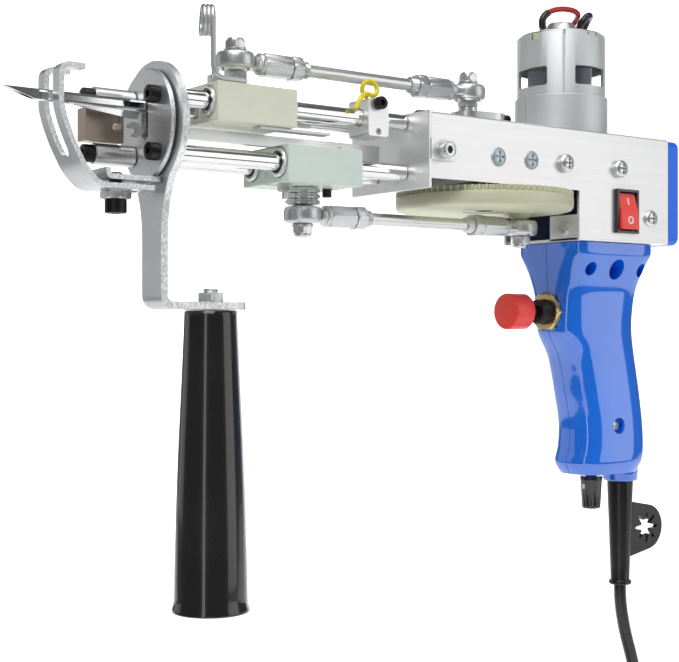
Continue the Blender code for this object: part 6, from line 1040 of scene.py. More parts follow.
class FrontHead(Assembly):
    """Rods, their screws, spacer tubes, guide block, disc, bracket and presser foot."""

    sizes = HeadSizes()
    steps = ("rods", "spacers", "disc", "bracket", "foot", "handle")

    def rods(self) -> None:
        """Makes the four rods with their screws."""
        s = self.sizes
        for word, level in PLAN.rods:
            for (side_word, side), seat in zip(PLAN.sides, s.seats):
                node = f"rod_{word}_{side_word}"
                rows = [
                    (0, seat), (s.core, seat), *ring(s.core, s.rod, s.rod_front, s.rod_rear, 0.4),
                    (s.core, s.spigot_rear), (0, s.spigot_rear),
                ]
                self.fine(node, revolve(rows, (0.0, side * PLAN.spread, level), Axis.X))
                place = (seat, side * PLAN.spread, level)
                head = cap_screw(place, Axis.X, -1, 3.5, 4.0, 3.0, 1.9)
                self.extra(f"{node}_screw", head, node, "black steel")

    def spacers(self) -> None:
        """Makes the far spacer tubes and the guide block."""
        for word, level in PLAN.rods:
            rows = ring(2.3, 4.2, -46.9, -29.9, 0.3)
            self.fine(f"spacer_{word}", revolve(rows, (0.0, PLAN.spread, level), Axis.X))
        body = block((-51.5, 6.2, 72.9), (-35.5, 13.6, 85.6))
        recess = block((-50.1, 5.0, 74.3), (-36.9, 7.4, 84.2))
        hole = revolve(ring(0, 1.7, 0, 12), (-37.8, 4.0, 79.2), Axis.Y, 32)
        self.fine("guide_block", body, (recess, hole), bevel=0.35)

    def disc(self) -> None:
        """Makes the front disc with its bent tab, the disc's rim marked as sheared."""
        sides = 128
        disc = revolve(ring(0, 21.5, -29.6, -27.6, 0.4), (0.0, 0.0, PLAN.disc), Axis.X, sides)
        disc.rims = set(range(2 * sides, 4 * sides))
        line = bent(((-49.6, 61.2, 0), (-49.6, 58.0, 2.0), (-27.8, 58.0, 0)), 0.8)
        tab = sheet_strip(line, np.full(len(line), 9.3), 2.0)
        slot = slab(oblong((-2.6, 73.8), (2.6, 90.2), 2.55), -40.0, -20.0, Axis.X, (), True)
        self.fine("front_disc", disc + tab, (slot,), bevel=0.25)

    def bracket(self) -> None:
        """Makes the bracket: a round head that flows into a narrow arm, bent to the handle.

        The half width is that of a circle down to the shoulder, and below it the arm's plus the
        rest times (1 - share)^2.4. The end at the handle is rounded off by a quarter circle.
        """
        s = self.sizes
        line = bent(((-25.2, 104.8, 0), (-25.2, 10.0, 4.5), (13.0, 10.0, 0)), 0.7)
        height = line[:, 1] - PLAN.disc
        round_head = np.sqrt(np.clip(s.head ** 2 - height ** 2, 0.04, None))
        tangent = -math.sqrt(s.head ** 2 - s.shoulder ** 2)
        share = np.clip((tangent - height) / s.flow, 0, 1)
        neck = s.arm + (s.shoulder - s.arm) * (1 - share) ** 2.4
        halves = np.where(height > tangent, round_head, neck)
        end = np.clip((line[:, 0] - 9.5) / 3.5, 0, 1)
        halves = halves - (1 - np.sqrt(np.clip(1 - end ** 2, 0, 1))) * 3.0
        hole = revolve(ring(0, 3.3, 0, 9), (0.0, 0.0, 5.5), Axis.Z, 48)
        self.fine("front_bracket", sheet_strip(line, halves, 3.0), (hole,), bevel=0.35)

    def foot(self) -> None:
        """Makes the presser foot with its prongs, and the screw and nut that hold it."""
        line = bent((
            (-58.9, 97.8, 0), (-68.4, 97.8, 3.5), (-68.4, 83.0, 2.0), (-66.8, 77.3, 2.0),
            (-64.1, 70.5, 2.5), (-59.1, 60.9, 3.0), (-53.0, 54.6, 3.2), (-30.2, 54.6, 0),
        ), 0.7)
        shape = sheet_strip(line, np.full(len(line), 9.35), 2.0)
        prong = slab(oblong((-3.8, 64.6), (3.8, 120.0), 3.75), -80.0, -50.0, Axis.X, (), True)
        base = slab(oblong((-47.6, -2.9), (-33.0, 2.9), 2.85), 50.0, 60.0, Axis.Z, (), True)
        self.fine("presser_foot", shape, (prong, base), bevel=0.3)
        x = self.sizes.foot_screw
        washer = revolve(ring(2.7, 5.8, 0, 1.0), (x, 0.0, 54.3), Axis.Z, 48, -1)
        lock = nut((x, 0.0, 53.3), Axis.Z, -1, 10.4, 3.0, 0.0)
        self.extra("foot_washer", washer, "foot_screw", "zinc plate", bevel=0.2)
        self.extra("foot_nut", lock, "foot_screw", "zinc plate")
        head = cap_screw((x, 0.0, 50.3), Axis.Z, -1, 4.2, 5.4, 3.4, 2.2)
        shank = threaded((x, 0.0, 53.0), Axis.Z, 1, 2.5, 7.5, 0.8)
        self.fine("foot_screw", head + shank)

    def handle(self) -> None:
        """Makes the turned front handle on a smooth swell, with a foot ring, and its bolt.

        The radius is 10.4 + 4.3 times the swell, which is a line through five shares smoothed
        with a window of eleven.
        """
        s = self.sizes
        share = np.linspace(0, 1, 60)
        swell = np.interp(share, (0, 0.22, 0.45, 0.70, 1.0), (0.06, 0.31, 0.60, 0.85, 1.0))
        kernel = np.hanning(11)
        swell = np.convolve(np.pad(swell, 5, "edge"), kernel / kernel.sum(), "valid")
        top, bottom = s.handle_top, s.handle_bottom
        low = bottom + s.handle_foot
        span = top - 3.0 - bottom - s.handle_foot - 1.2
        rows: list[Row] = [(0, top), (10.2, top), (10.6, top - 0.4)]
        rows += [(10.4 + 4.3 * part, top - 3.0 - span * along) for part, along in zip(swell, share)]
        rows += [(14.7, low), (14.8, low - 1.0), (15.1, low - 2.2), (15.5, low - 3.4)]
        rows += [(15.7, bottom + 0.8), (15.5, bottom + 0.2), (14.9, bottom), (0, bottom)]
        self.fine("front_handle", revolve(rows, (0, 0, 0), Axis.Z, 96), sharp=50.0)
        lock = nut((0.0, 0.0, 11.6), Axis.Z, 1, 10.0, 3.6, 0.0, CORNER)
        end = threaded((0.0, 0.0, 15.0), Axis.Z, 1, 3.0, 1.9, 0.8)
        self.extra("handle_nut", lock + end, "front_handle", "zinc plate")


@dataclass(frozen=True)
class TubeSizes:
    """Square tube, its plates and its screws, in machine millimetres."""

    front: float = 92.4
    rear: float = 244.5
    floor: float = 42.3
    roof: float = 93.7
    lining: float = 23.8
    holder: float = 27.4
    holder_screw: float = 98.7
    mount_level: float = 75.7
    mount_flange: float = 82.5
    block_screws: tuple = (132.0, 152.0)
    mount_screws: tuple = (172.8, 209.0)
    rocker: tuple = (214.0, -26.6, 57.0)


class Housing(Assembly):
    """Square tube, its holder plate, bearing block, motor mount, cover, screws and switch."""

    sizes = TubeSizes()
    steps = ("tube", "plate", "inside", "switch")

    def tube(self) -> None:
        """Makes the square tube with its window, floor, holes and upstand."""
        s, wall = self.sizes, PLAN.wall
        outer = oblong((-wall, s.floor), (wall, s.roof), 1.0, 5)
        inner = oblong((-24.1, 43.7), (24.1, 92.3), 0.5, 4)[::-1]
        cutters = [
            block((80.0, -40.0, 30.0), (182.8, 40.0, 65.3)),
            block((180.0, -24.1, 30.0), (185.0, 24.1, 43.9)),
            block((207.3, -30.0, 47.2), (220.7, -20.0, 66.8)),
        ]
        for x, y, radius in ((PLAN.shaft, 0, 7.0), (PLAN.motor, 0, 23.2), (228.3, -3.0, 6.0)):
            cutters.append(revolve(ring(0, radius, 88, 98), (x, y, 0), Axis.Z, 96))
        shell = slab(outer, s.front, s.rear, Axis.X, (inner,), True)
        self.fine("housing_shell", shell, cutters, bevel=0.22)
        upstand = block((185.0, -23.6, 42.6), (186.4, -4.0, 54.7))
        lock = nut((185.2, -13.8, 48.5), Axis.X, -1, 5.5, 1.7, 1.5)
        self.extra("floor_upstand", upstand, "housing_shell", bevel=0.2)
        self.extra("floor_nut", lock, "housing_shell", "zinc plate")
        cover = oblong((-wall, s.floor), (wall, s.roof), 4.0, 10)
        body = slab(cover, 244.8, 252.0, Axis.X)
        self.fine("rear_cover", body, slot="blue cover", bevel=1.3, segments=5)
        for side in (-1, 1):
            head = pan_screw((231.4, side * wall, 54.4), Axis.Y, side, 4.1, 2.6)
            self.extra(f"cover_screw_{side + 1}", head, "rear_cover", "bright steel")

    def plate(self) -> None:
        """Makes the rod holder plate with its tabs, ledge and screws, with painted shade in the
        screws' sockets.
        """
        s, node = self.sizes, "rod_holder_plate"
        body = block((90.5, -s.holder, 60.8), (92.1, s.holder, 93.8))
        for side in (-1, 1):
            low, high = sorted((side * s.holder, side * 25.8))
            body = body + block((91.0, low, 72.8), (105.4, high, 82.2))
        body = body + block((91.0, -18.5, 90.4), (103.4, -7.5, 92.0))
        self.fine(node, body, bevel=0.3)
        for side in (-1, 1):
            seat = (s.holder_screw, side * s.holder, PLAN.screws)
            washer = revolve(ring(0, 4.6, 0, 0.8), seat, Axis.Y, 48, side)
            self.extra(f"holder_washer_{side + 1}", washer, node, "zinc plate", bevel=0.2)
            seat = (s.holder_screw, side * (s.holder + 0.8), PLAN.screws)
            head = cap_screw(seat, Axis.Y, side, 3.5, 3.6, 3.0, 1.6)
            self.extra(f"holder_screw_{side + 1}", head, node, "bright steel")
            # Black hexagon prism at the socket's floor: painted shade in the screw's hexagon socket,
            # not a real part.
            painted_socket_shade = revolve(ring(0, 1.55, 1.5, 2.6), seat, Axis.Y, 6, side)
            self.extra(f"holder_socket_{side + 1}", painted_socket_shade, node, "black steel")
        head = pan_screw((97.9, -13.0, 93.9), Axis.Z, 1, 3.4, 2.2)
        self.extra("ledge_screw", head, node, "black steel")

    def inside(self) -> None:
        """Makes the bearing block and motor mount with the screws through the tube's sides."""
        s, wide = self.sizes, self.sizes.lining
        bore = revolve(ring(0, 4.2, 66.0, 88.5), (PLAN.shaft, 0, 0))
        body = block((126.0, -wide, 66.5), (161.0, wide, 88.0))
        self.fine("bearing_block", body, (bore,), bevel=0.5)
        top, flange, inner = s.mount_level, s.mount_flange, wide - 2.2
        outline = (
            (-wide, top - 2.2), (wide, top - 2.2), (wide, flange), (inner, flange), (inner, top),
            (-inner, top), (-inner, flange), (-wide, flange),
        )
        nose = revolve(ring(0, 9.0, top - 3, top + 1), (PLAN.motor, 0, 0), Axis.Z, 72)
        plate = slab(outline, 166.0, 217.0, Axis.X)
        self.fine("motor_mount_plate", plate, (nose,), bevel=0.25)
        for side in (-1, 1):
            for x in s.block_screws:
                head = pan_screw((x, side * 25.4, PLAN.screws), Axis.Y, side, 4.2, 1.3)
                name = f"block_screw_{int(x)}_{side + 1}"
                self.extra(name, head, "bearing_block", "blue zinc")
            for x in s.mount_screws:
                self.mount_screw(x, side)

    def mount_screw(self, x: float, side: int) -> None:
        """Makes one motor mount screw with its split spring washer.

        Args:
            x: its place along the machine.
            side: -1 for the near side, 1 for the far side.
        """
        seat = (x, side * PLAN.wall, PLAN.screws)
        washer = revolve(ring(2.2, 3.5, 0, 1.2), seat, Axis.Y, 48, side)
        low, high = sorted((side * 25.0, side * 27.5))
        split = block((x - 0.3, low, 77.5), (x + 0.3, high, 82.0))
        name, node = f"mount_washer_{int(x)}_{side + 1}", "motor_mount_plate"
        self.extra(name, washer, node, "zinc plate", (split,), bevel=0.15)
        head = pan_screw((x, side * 26.7, PLAN.screws), Axis.Y, side, 4.1, 2.6)
        self.extra(f"mount_screw_{int(x)}_{side + 1}", head, node, "bright steel")

    def switch(self) -> None:
        """Makes the rocker switch: bezel, key and the two marks on it."""
        bezel = block((206.5, -27.5, 46.5), (221.5, -25.5, 67.5))
        bezel = bezel + block((207.6, -25.6, 47.6), (220.4, -13.5, 66.4))
        pocket = block((207.9, -29.0, 47.7), (220.1, -21.3, 66.3))
        self.fine("rocker_housing", bezel, (pocket,), bevel=0.55)
        lift, tilt, pivot = math.radians(11), math.atan(0.35 / 4.7), self.sizes.rocker
        outline = np.array((
            (-1.2, 8.9), (-1.55, 4.2), (-1.8, 1.6), (-2.05, 0.5), (-2.1, 0.0), (-2.05, -0.5),
            (-1.8, -1.6), (-1.55, -4.2), (-1.2, -8.9), (3.0, -8.2), (3.0, 8.2),
        ))
        key = slab(outline + np.array(pivot[1:]), 208.2, 219.8, Axis.X)
        key = key.turned(-lift, Axis.X, pivot)
        self.fine("rocker", key, bevel=0.5, segments=4)
        bar = block((213.6, -28.32, 59.9), (214.4, -27.8, 63.3))
        circle = revolve(ring(1.2, 1.9, 0, 0.5), (214.0, -27.8, 52.4), Axis.Y, 48, -1)
        for name, mark, way, z in (("mark_on", bar, -1, 61.6), ("mark_off", circle, 1, 52.4)):
            mark = mark.turned(way * tilt, Axis.X, (214.0, -28.1, z)).turned(-lift, Axis.X, pivot)
            self.extra(name, mark, "rocker", "white mark", bevel=0.08)


@dataclass(frozen=True)
class BlockSizes:
    """One sliding block, with the slit or pocket that is cut into it."""

    word: str
    front: float
    level: float
    rod: float
    cut: tuple
    half: float = 17.4
    length: float = 37.0
    height: float = 15.2


class Carriages(Assembly):
    """Sliding blocks with their bushes, needle, cutter bar, blade and yarn guide."""

    blocks = (
        BlockSizes("upper", -7.0, 81.9, 90.1, ((-12.0, -1.9, 84.4), (4.0, 1.9, 89.4))),
        BlockSizes("lower", 26.0, 60.2, 68.4, ((20.0, -1.7, 60.0), (40.0, 1.7, 66.0))),
    )

    def block(self, sizes: BlockSizes) -> None:
        """Makes one block and its two bushes.

        Args:
            sizes: the block.
        """
        front, rear = sizes.front - 1.4, sizes.front + 38.4
        low = (sizes.front, -sizes.half, sizes.level)
        high = (sizes.front + sizes.length, sizes.half, sizes.level + sizes.height)
        places = {word: (0.0, side * PLAN.spread, sizes.rod) for word, side in PLAN.sides}
        bore = ring(0, 6.05, sizes.front - 5, sizes.front + 42)
        bores = [revolve(bore, place, Axis.X, 72) for place in places.values()]
        self.fine(f"{sizes.word}_block", block(low, high), (*bores, block(*sizes.cut)), bevel=0.55)
        for word, place in places.items():
            node = f"{sizes.word}_bush_{word}"
            shell = revolve(ring(4.7, 6.0, front, rear, 0.5), place, Axis.X, 72)
            self.extra(f"ring_{node}", shell, node, "bright steel")
            rows = [(3.75, front + 0.25), (4.65, front + 0.15)]
            rows += [(4.65, rear - 0.15), (3.75, rear - 0.25)]
            self.fine(node, revolve(rows, place, Axis.X, 72), bevel=0.15)

    def screws(self) -> None:
        """Makes the locking screws, strap and studs on the two blocks."""
        def lock(x: float, level: float, way: int) -> Shape:
            stem = threaded((x, -8.5, level + way * 3.3), Axis.Z, way, 1.5, 3.1, 0.5)
            return nut((x, -8.5, level), Axis.Z, way, 5.5, 3.4, 0.0) + stem

        strap = block((14.5, -14.0, 80.6), (49.0, -8.5, 81.7))
        flush = cap_screw((21.9, -2.0, 95.6), Axis.Z, 1, 2.2, 1.6, 1.9, 1.0)
        stud = threaded((57.0, 0.0, 60.4), Axis.Z, -1, 2.1, 3.7, 0.7)
        dome = pan_screw((58.1, -6.0, 75.4), Axis.Z, 1, 2.9, 2.0)
        for word, name, shape, slot, bevel in (
            ("upper", "lock_nut", lock(-3.0, 97.1, 1), "zinc plate", 0.0),
            ("upper", "strap", strap, "zinc plate", 0.2),
            ("upper", "flush_screw", flush, "black steel", 0.0),
            ("lower", "lock_nut", lock(30.0, 60.2, -1), "zinc plate", 0.0),
            ("lower", "stud", stud, "black steel", 0.0),
            ("lower", "dome", dome, "black steel", 0.0),
        ):
            self.extra(f"{word}_{name}", shape, f"{word}_block", slot, bevel=bevel)

    def guide(self) -> None:
        """Bends the yarn guide's wire: foot, leg and an open coil.

        The coil's points are middle - across cos a r + up sin a r + forward pitch a / turn.
        """
        yaw, radius, pitch, turns, bend, y = math.radians(-27), 5.3, 1.6, 2.7, 5.0, -15.8
        leg = np.array((-8.2, y, 121.4))
        points = [np.array((6.8, y, 98.4)), np.array((1.8, y, 98.4))]
        for angle in np.linspace(-math.pi / 2, -math.pi, 12):
            x, z = -3.2 + bend * math.cos(angle), 103.4 + bend * math.sin(angle)
            points.append(np.array((x, y, z)))
        points.append(np.array((-8.2, y, 112.4)))
        across = np.array((-math.sin(yaw), math.cos(yaw), 0.0))
        forward = np.array((-math.cos(yaw), -math.sin(yaw), 0.0))
        middle = leg + across * radius
        for angle in np.linspace(0, TURN * turns, 110):
            place = middle - across * math.cos(angle) * radius + forward * pitch * angle / TURN
            points.append(place + np.array((0.0, 0.0, math.sin(angle) * radius)))
        self.fine("yarn_guide", tube(np.array(points), 1.0, 20))

    def build(self) -> None:
        """Makes both carriages; needle, cutter bar and blade are the CAD's own."""
        for sizes in self.blocks:
            self.block(sizes)
        self.screws()
        for node, bevel in (("needle", 0.12), ("cutter_bar", 0.2), ("scissor_blade", 0.1)):
            self.keep(node, bevel)
        self.guide()


class Linkage(Assembly):
    """Both links with their rod ends, jam nuts and pins."""

    BALL = 4.0
    SHAFT = 2.5

    def rod_end(self, node: str, x: float, level: float, way: int) -> None:
        """Makes one rod end: eye, neck and hexagon shank.

        The neck's rings are |y / wide|^n + |z / tall|^n = 1, each with its own power n.

        Args:
            node: its CAD node.
            x: place of its eye.
            level: height of its eye.
            way: 1 or -1, the way from the eye to the shank.
        """
        half = np.array((
            (5.75, -2.8), (6.2, -3.2), (6.7, -3.35), (7.2, -3.2), (7.5, -2.9), (7.75, -2.4),
            (7.95, -1.6), (8.05, -0.6),
        ))
        rows = [tuple(row) for row in np.vstack((half, half[::-1] * (1, -1)))]
        sides = 48
        angles = TURN * (np.arange(sides) + 0.5) / sides
        rings = []
        for along, wide, tall, power in (
            (6.6, 5.6, 2.5, 4.0), (7.6, 4.9, 2.6, 3.4), (8.6, 4.2, 2.8, 2.8), (9.6, 3.8, 3.3, 2.2),
            (10.4, 3.8, 3.8, 2.0), (10.7, 4.3, 4.3, 2.0), (11.0, 4.5, 4.5, 2.0),
            (12.6, 4.5, 4.5, 2.0), (12.9, 4.3, 4.3, 2.0),
        ):
            across, up = oval(angles, power)
            station = np.full(sides, x + way * along)
            rings.append(np.stack((station, wide * across, level + tall * up), axis=1))
        shank = nut((x + way * 12.7, 0, level), Axis.X, way, 9.0, 13.1, 2.9, CORNER)
        self.fine(node, revolve(rows, (x, 0, level), Axis.Z, 80))
        self.extra(f"{node}_neck", loft(rings), node)
        self.extra(f"{node}_shank", shank, node)

    def link(self, word: str, front: float, level: float) -> None:
        """Makes one link rod with its threaded ends and jam nuts.

        Args:
            word: upper or lower.
            front: place of the front eye.
            level: height of the link.
        """
        def thread(start: float) -> list[Row]:
            steps = [start + step * 0.75 for step in range(12)]
            return [row for at in steps for row in ((3.25, at), (3.6, at + 0.3), (3.6, at + 0.42))]

        node, rear = f"{word}_link_rod", front + PLAN.link_length
        rows: list[Row] = [(0, front + 20.2), (2.7, front + 20.2), (2.7, front + 26.0)]
        rows += thread(front + 26.1)
        rows += [(3.3, front + 35.0), (2.7, front + 35.3), (2.7, rear - 35.3), (3.3, rear - 35.0)]
        rows += thread(rear - 34.8)
        rows += [(2.7, rear - 26.0), (2.7, rear - 20.2), (0, rear - 20.2)]
        self.fine(node, revolve(rows, (0, 0, level), Axis.X, 48))
        for number, x in enumerate((front + 26.1, rear - 31.3)):
            lock = nut((x, 0, level), Axis.X, 1, 9.5, 5.2, 3.0, CORNER)
            self.extra(f"{word}_jam_nut_{number}", lock, node, "zinc plate")

    def pin(self, node: str, x: float, seat: float, level: float, root: float, rings: int) -> None:
        """Makes one pin: bolt head, washer, ball and spacer.

        The ball's rows are the square root of 5.6^2 - h^2 at height h from its middle.

        Args:
            node: its CAD node.
            x: its place along the machine.
            seat: height of the face it stands on.
            level: height of its ball.
            root: height from the seat at which its shank starts.
            rings: hexagon rings between seat and ball, or 0 for a collar.
        """
        extra, ball, core = self.extra, self.BALL, self.SHAFT
        way = 1 if level > seat else -1
        reach = abs(level - seat)
        place, top, length = (x, 0.0, seat), reach + ball, reach - ball
        rows: list[Row] = [(0, root), (core, root), (core, length)]
        for height in np.linspace(-ball, ball, 17):
            rows.append((math.sqrt(5.6 ** 2 - height ** 2), reach + height))
        rows += [(core, top), (0, top)]
        self.fine(node, revolve(rows, place, Axis.Z, 64, way))
        washer = revolve(ring(0, 4.6, top, top + 1.0), place, Axis.Z, 64, way)
        extra(f"{node}_washer", washer, node, "zinc plate", bevel=0.2)
        head = nut((x, 0.0, seat + way * (top + 1.0)), Axis.Z, way, 8.2, 3.0, 0.0, CORNER)
        crown = (
            (0, 3.6), (3.55, 3.6), (3.6, 4.6), (3.3, 5.1), (2.6, 5.4), (2.1, 5.4), (2.0, 4.9),
            (0, 4.8),
        )
        rows = [(radius, top + height) for radius, height in crown]
        extra(f"{node}_head", head + revolve(rows, place, Axis.Z, 56, way), node, "bright steel")
        pitch = (length - 0.3) / max(rings, 1)
        for number in range(rings):
            low = (x, 0.0, seat + way * (0.3 + number * pitch))
            item = nut(low, Axis.Z, way, 12.8, pitch - 0.25, 2.6)
            extra(f"{node}_ring_{number}", item, node, "zinc plate")
        if rings:
            return
        tall = 0.45 if way == 1 else 0.92
        collar = revolve(ring(2.6, 4.4, 0.3, length * tall, 0.2), place, Axis.Z, 56, way)
        extra(f"{node}_collar", collar, node, "bright steel")
        if way == 1:
            low = (x, 0.0, seat + length * tall + 0.2)
            item = nut(low, Axis.Z, 1, 8.0, length * (1 - tall) - 0.4, 2.6)
            extra(f"{node}_nut", item, node, "zinc plate")

    def build(self) -> None:
        """Makes both links."""
        for word, front, level in PLAN.links:
            self.link(word, front, level)
            self.rod_end(f"{word}_rod_end_front", front, level, 1)
            self.rod_end(f"{word}_rod_end_rear", front + PLAN.link_length, level, -1)
        for node, x, seat, level, root, rings in (
            ("upper_pin_front", 11.5, 97.1, 109.3, -5.0, 0),
            ("upper_pin_rear", 136.5, 100.0, 109.3, 0.3, 0),
            ("lower_pin_front", 44.5, 60.2, 48.7, -6.0, 3),
            ("lower_pin_rear", 169.5, 56.5, 48.7, 0.3, 0),
        ):
            self.pin(node, x, seat, level, root, rings)


class Drive(Assembly):
    """Crank shaft, gear, upper crank, motor and its leads."""

    steps = ("crank", "motor", "leads")

    @staticmethod
    def gear(count: int, root: float, tip: float, turn: float, centre: float, bore: float) -> list:
        """Outlines of a gear, each tooth a root corner, two flank points and a narrow tip.

        Args:
            count: number of teeth.
            root: root radius.
            tip: tip radius.
            turn: angle of the first tooth.
            centre: the gear's place along the machine.
            bore: radius of its bore.

        Returns:
            The toothed outline and the bore's.
        """
        pitch = TURN / count
        shares = np.array((-0.30, -0.20, -0.09, 0.09, 0.20, 0.30))
        middle = root + (tip - root) * 0.55
        angles = (turn + pitch * np.arange(count)[:, None] + pitch * shares[None, :]).ravel()
        reach = np.tile(np.array((root, middle, tip, tip, middle, root)), count)
        sides = 64 if count > 40 else 48
        around = TURN * np.arange(sides) / sides
        return [
            np.stack((centre + radius * np.cos(angle), radius * np.sin(angle)), axis=1)
            for radius, angle in ((reach, angles), (bore, around[::-1]))
        ]

    def crank(self) -> None:
        """Makes the shaft, the gear and the clamped upper crank.

        The crank's outline is its hub's circle of radius 10 and its pin's of radius 8, joined
        where they cross.
        """
        x = PLAN.shaft
        rows = [
            (0, 56.6), (3.7, 56.6), (4.0, 56.9), (4.0, 63.2), (6.2, 63.3), (6.2, 66.2), (4.0, 66.2),
            (4.0, 99.6), (3.6, 100.0), (0, 100.0),
        ]
        self.fine("main_shaft", revolve(rows, (x, 0, 0), Axis.Z, 56), bevel=0.12)
        teeth, hole = self.gear(80, 38.75, 40.9, 0.0, x, 4.15)
        self.fine("drive_gear", slab(teeth, 61.6, 63.9, Axis.Z, (hole,)), bevel=0.10, segments=2)
        rows = [
            (4.15, 55.6), (10.0, 55.6), (10.4, 55.2), (38.9, 55.2), (40.0, 55.5), (40.7, 56.2),
            (41.0, 57.4), (41.0, 60.8), (40.8, 61.3), (40.4, 61.5), (4.15, 61.5),
        ]
        self.extra("gear_flange", revolve(rows, (x, 0, 0), Axis.Z, 160), "drive_gear")
        rows = [(4.7, 55.4), (4.7, 53.9), (5.3, 53.7), (5.6, 54.0), (5.6, 55.4)]
        self.extra("gear_boss", revolve(rows, (169.5, 0, 0)), "drive_gear")
        hub, eye, throw = 10.0, 8.0, 10.0
        angle = math.acos(2.0 / hub)
        outline = [
            (x + hub * math.cos(turn), hub * math.sin(turn))
            for turn in np.linspace(-math.pi + angle, math.pi - angle, 48)
        ]
        outline += [
            (x - throw + eye * math.cos(turn), eye * math.sin(turn))
            for turn in np.linspace(math.pi - angle, math.pi + angle, 28)
        ]
        bore = revolve(ring(0, 4.1, 90, 105), (x, 0, 0), Axis.Z, 56)
        slit = block((x, -0.6, 90.0), (160.0, 0.6, 105.0))
        self.fine("upper_crank", slab(outline, 95.0, 100.0), (bore, slit), bevel=0.4)
        head = cap_screw((153.1, -7.0, 97.5), Axis.Y, -1, 2.1, 2.2, 1.9, 1.1)
        self.extra("crank_screw", head, "upper_crank", "black steel")

    def motor(self) -> None:
        """Makes the motor: can with vents and rim notches, ring, cap, rotor and pinion."""
        x = PLAN.motor

        def around(shape: Shape, degrees: float) -> Shape:
            return shape.turned(math.radians(degrees), Axis.Z, (0, 0, 0)).moved(x)

        vent = slab(oblong((-9.6, 116.3), (9.6, 125.2), 1.2, 4), 12.0, 24.0, Axis.X)
        vents = [around(vent, 90 * quarter) for quarter in range(4)]
        lugs, wide, narrow = (2.8, 138.2), (0.7, 139.6), (0.5, 140.0)
        notches = [
            around(block((18.0, -half, low), (23.0, half, 143.0)), degrees)
            for degrees, (half, low) in (
                (190.5, lugs), (10.5, lugs), (229, narrow), (262, narrow), (276, wide),
                (290, narrow), (305, wide), (60, narrow), (100, wide), (140, narrow),
            )
        ]
        rows = [
            (2.0, 74.0), (6.4, 74.0), (6.6, 76.0), (20.2, 76.0), (20.9, 76.3), (21.15, 77.0),
            (21.15, 141.1), (20.9, 141.5), (20.1, 141.5), (19.95, 141.2), (19.95, 78.0), (2.0, 78.0),
        ]
        can = revolve(rows, (x, 0, 0), Axis.Z, 120)
        self.fine("motor_can", can, vents + notches, slot="satin steel", bevel=0.15)
        rows = [
            (21.3, 85.0), (22.0, 85.0), (22.25, 85.3), (22.25, 111.5), (22.0, 111.8), (21.3, 111.8),
        ]
        seam = around(block((21.6, -0.35, 80.0), (24.0, 0.35, 115.0)), 176)
        flux = revolve(rows, (x, 0, 0), Axis.Z, 120)
        self.fine(
            "motor_flux_ring", flux, (seam,), name="fine_flux_ring", slot="satin steel", bevel=0.1
        )
        rows = [
            (0, 136.6), (19.7, 136.6), (19.7, 141.4), (19.9, 142.0), (19.6, 142.5), (18.6, 142.8),
            (10.2, 143.0), (9.2, 143.4), (8.6, 143.9), (7.6, 145.6), (6.8, 147.8), (6.0, 148.8),
            (2.4, 149.0), (2.3, 148.2), (0, 148.2),
        ]
        cap = revolve(rows, (x, 0, 0), Axis.Z, 96)
        self.fine("motor_end_cap", cap, notches, bevel=0.12, name="fine_motor_cap")
        for degrees in (190.5, 10.5):
            lug = around(block((17.0, -2.4, 138.3), (19.7, 2.4, 141.7)), degrees)
            name = f"cap_lug_{int(degrees)}"
            self.extra(name, lug, "motor_end_cap", "cream nylon", bevel=0.2)
        for side in (-1, 1):
            middle, y = x + side * 15.0, side * 3.0
            tab = block((middle - 1.9, y - 0.45, 143.0), (middle + 1.9, y + 0.45, 147.7))
            self.extra(f"terminal_{side + 1}", tab, "motor_end_cap", "brass", bevel=0.12)
        self.keep("rotor", 0.2)
        hub = revolve(ring(2.15, 6.2, 64.5, 67.7, 0.2), (x, 0, 0), Axis.Z, 56)
        teeth, hole = self.gear(20, 8.75, 10.9, math.pi + math.pi / 20, x, 2.15)
        pinion = slab(teeth, 61.7, 64.6, Axis.Z, (hole,))
        self.fine("pinion", pinion + hub, bevel=0.1, segments=2)

    def leads(self) -> None:
        """Runs the two motor leads on smooth curves from the terminals into the housing."""
        red = (
            (-15.0, -3.0, 144.0), (-15.9, -3.3, 147.4), (-14.4, -3.8, 150.6), (-10.4, -4.6, 153.2),
            (-4.0, -5.0, 154.8), (3.0, -4.6, 155.2), (9.0, -2.4, 154.8), (13.4, 2.6, 153.4),
            (15.6, 9.0, 150.5), (16.0, 15.4, 146.0), (15.6, 19.6, 139.0), (15.2, 20.6, 130.0),
            (15.2, 20.6, 115.0), (15.2, 20.6, 105.0), (15.8, 20.2, 100.5), (18.8, 17.0, 97.3),
            (23.8, 8.0, 96.2), (28.6, 0.6, 95.6), (30.4, -2.0, 92.6), (30.0, -4.6, 84.0),
            (29.0, -6.2, 76.0), (26.8, -7.4, 67.0), (23.8, -8.8, 60.0), (22.5, -12.0, 57.0),
            (22.5, -13.3, 57.0),
        )
        black = (
            (15.0, 3.0, 144.0), (13.4, 1.2, 147.6), (12.8, -1.2, 150.8), (15.4, -2.4, 154.2),
            (19.8, -0.2, 155.4), (23.2, 4.6, 153.6), (24.4, 9.4, 149.0), (23.4, 13.0, 143.0),
            (21.6, 15.0, 136.5), (20.8, 15.6, 130.0), (20.8, 15.6, 115.0), (20.8, 15.6, 106.0),
            (21.8, 14.2, 102.2), (26.0, 10.4, 99.8), (31.5, 6.0, 98.4), (34.6, 1.6, 96.8),
            (34.4, -2.0, 93.4), (33.5, -2.4, 88.0), (32.6, -2.4, 78.0), (29.0, -3.2, 69.0),
            (22.0, -4.6, 62.0), (15.5, -7.0, 58.2), (12.5, -12.0, 57.0), (12.5, -13.3, 57.0),
        )
        for word, route, sleeve in (("red", red, 9), ("black", black, 18)):
            line = smoothed(np.array(route) + np.array((PLAN.motor, 0.0, 0.0)), 1.2)
            node, name = f"motor_wire_{word}", f"fine_lead_{word}"
            self.fine(node, tube(line, 1.3, 20), name=name, sharp=60.0)
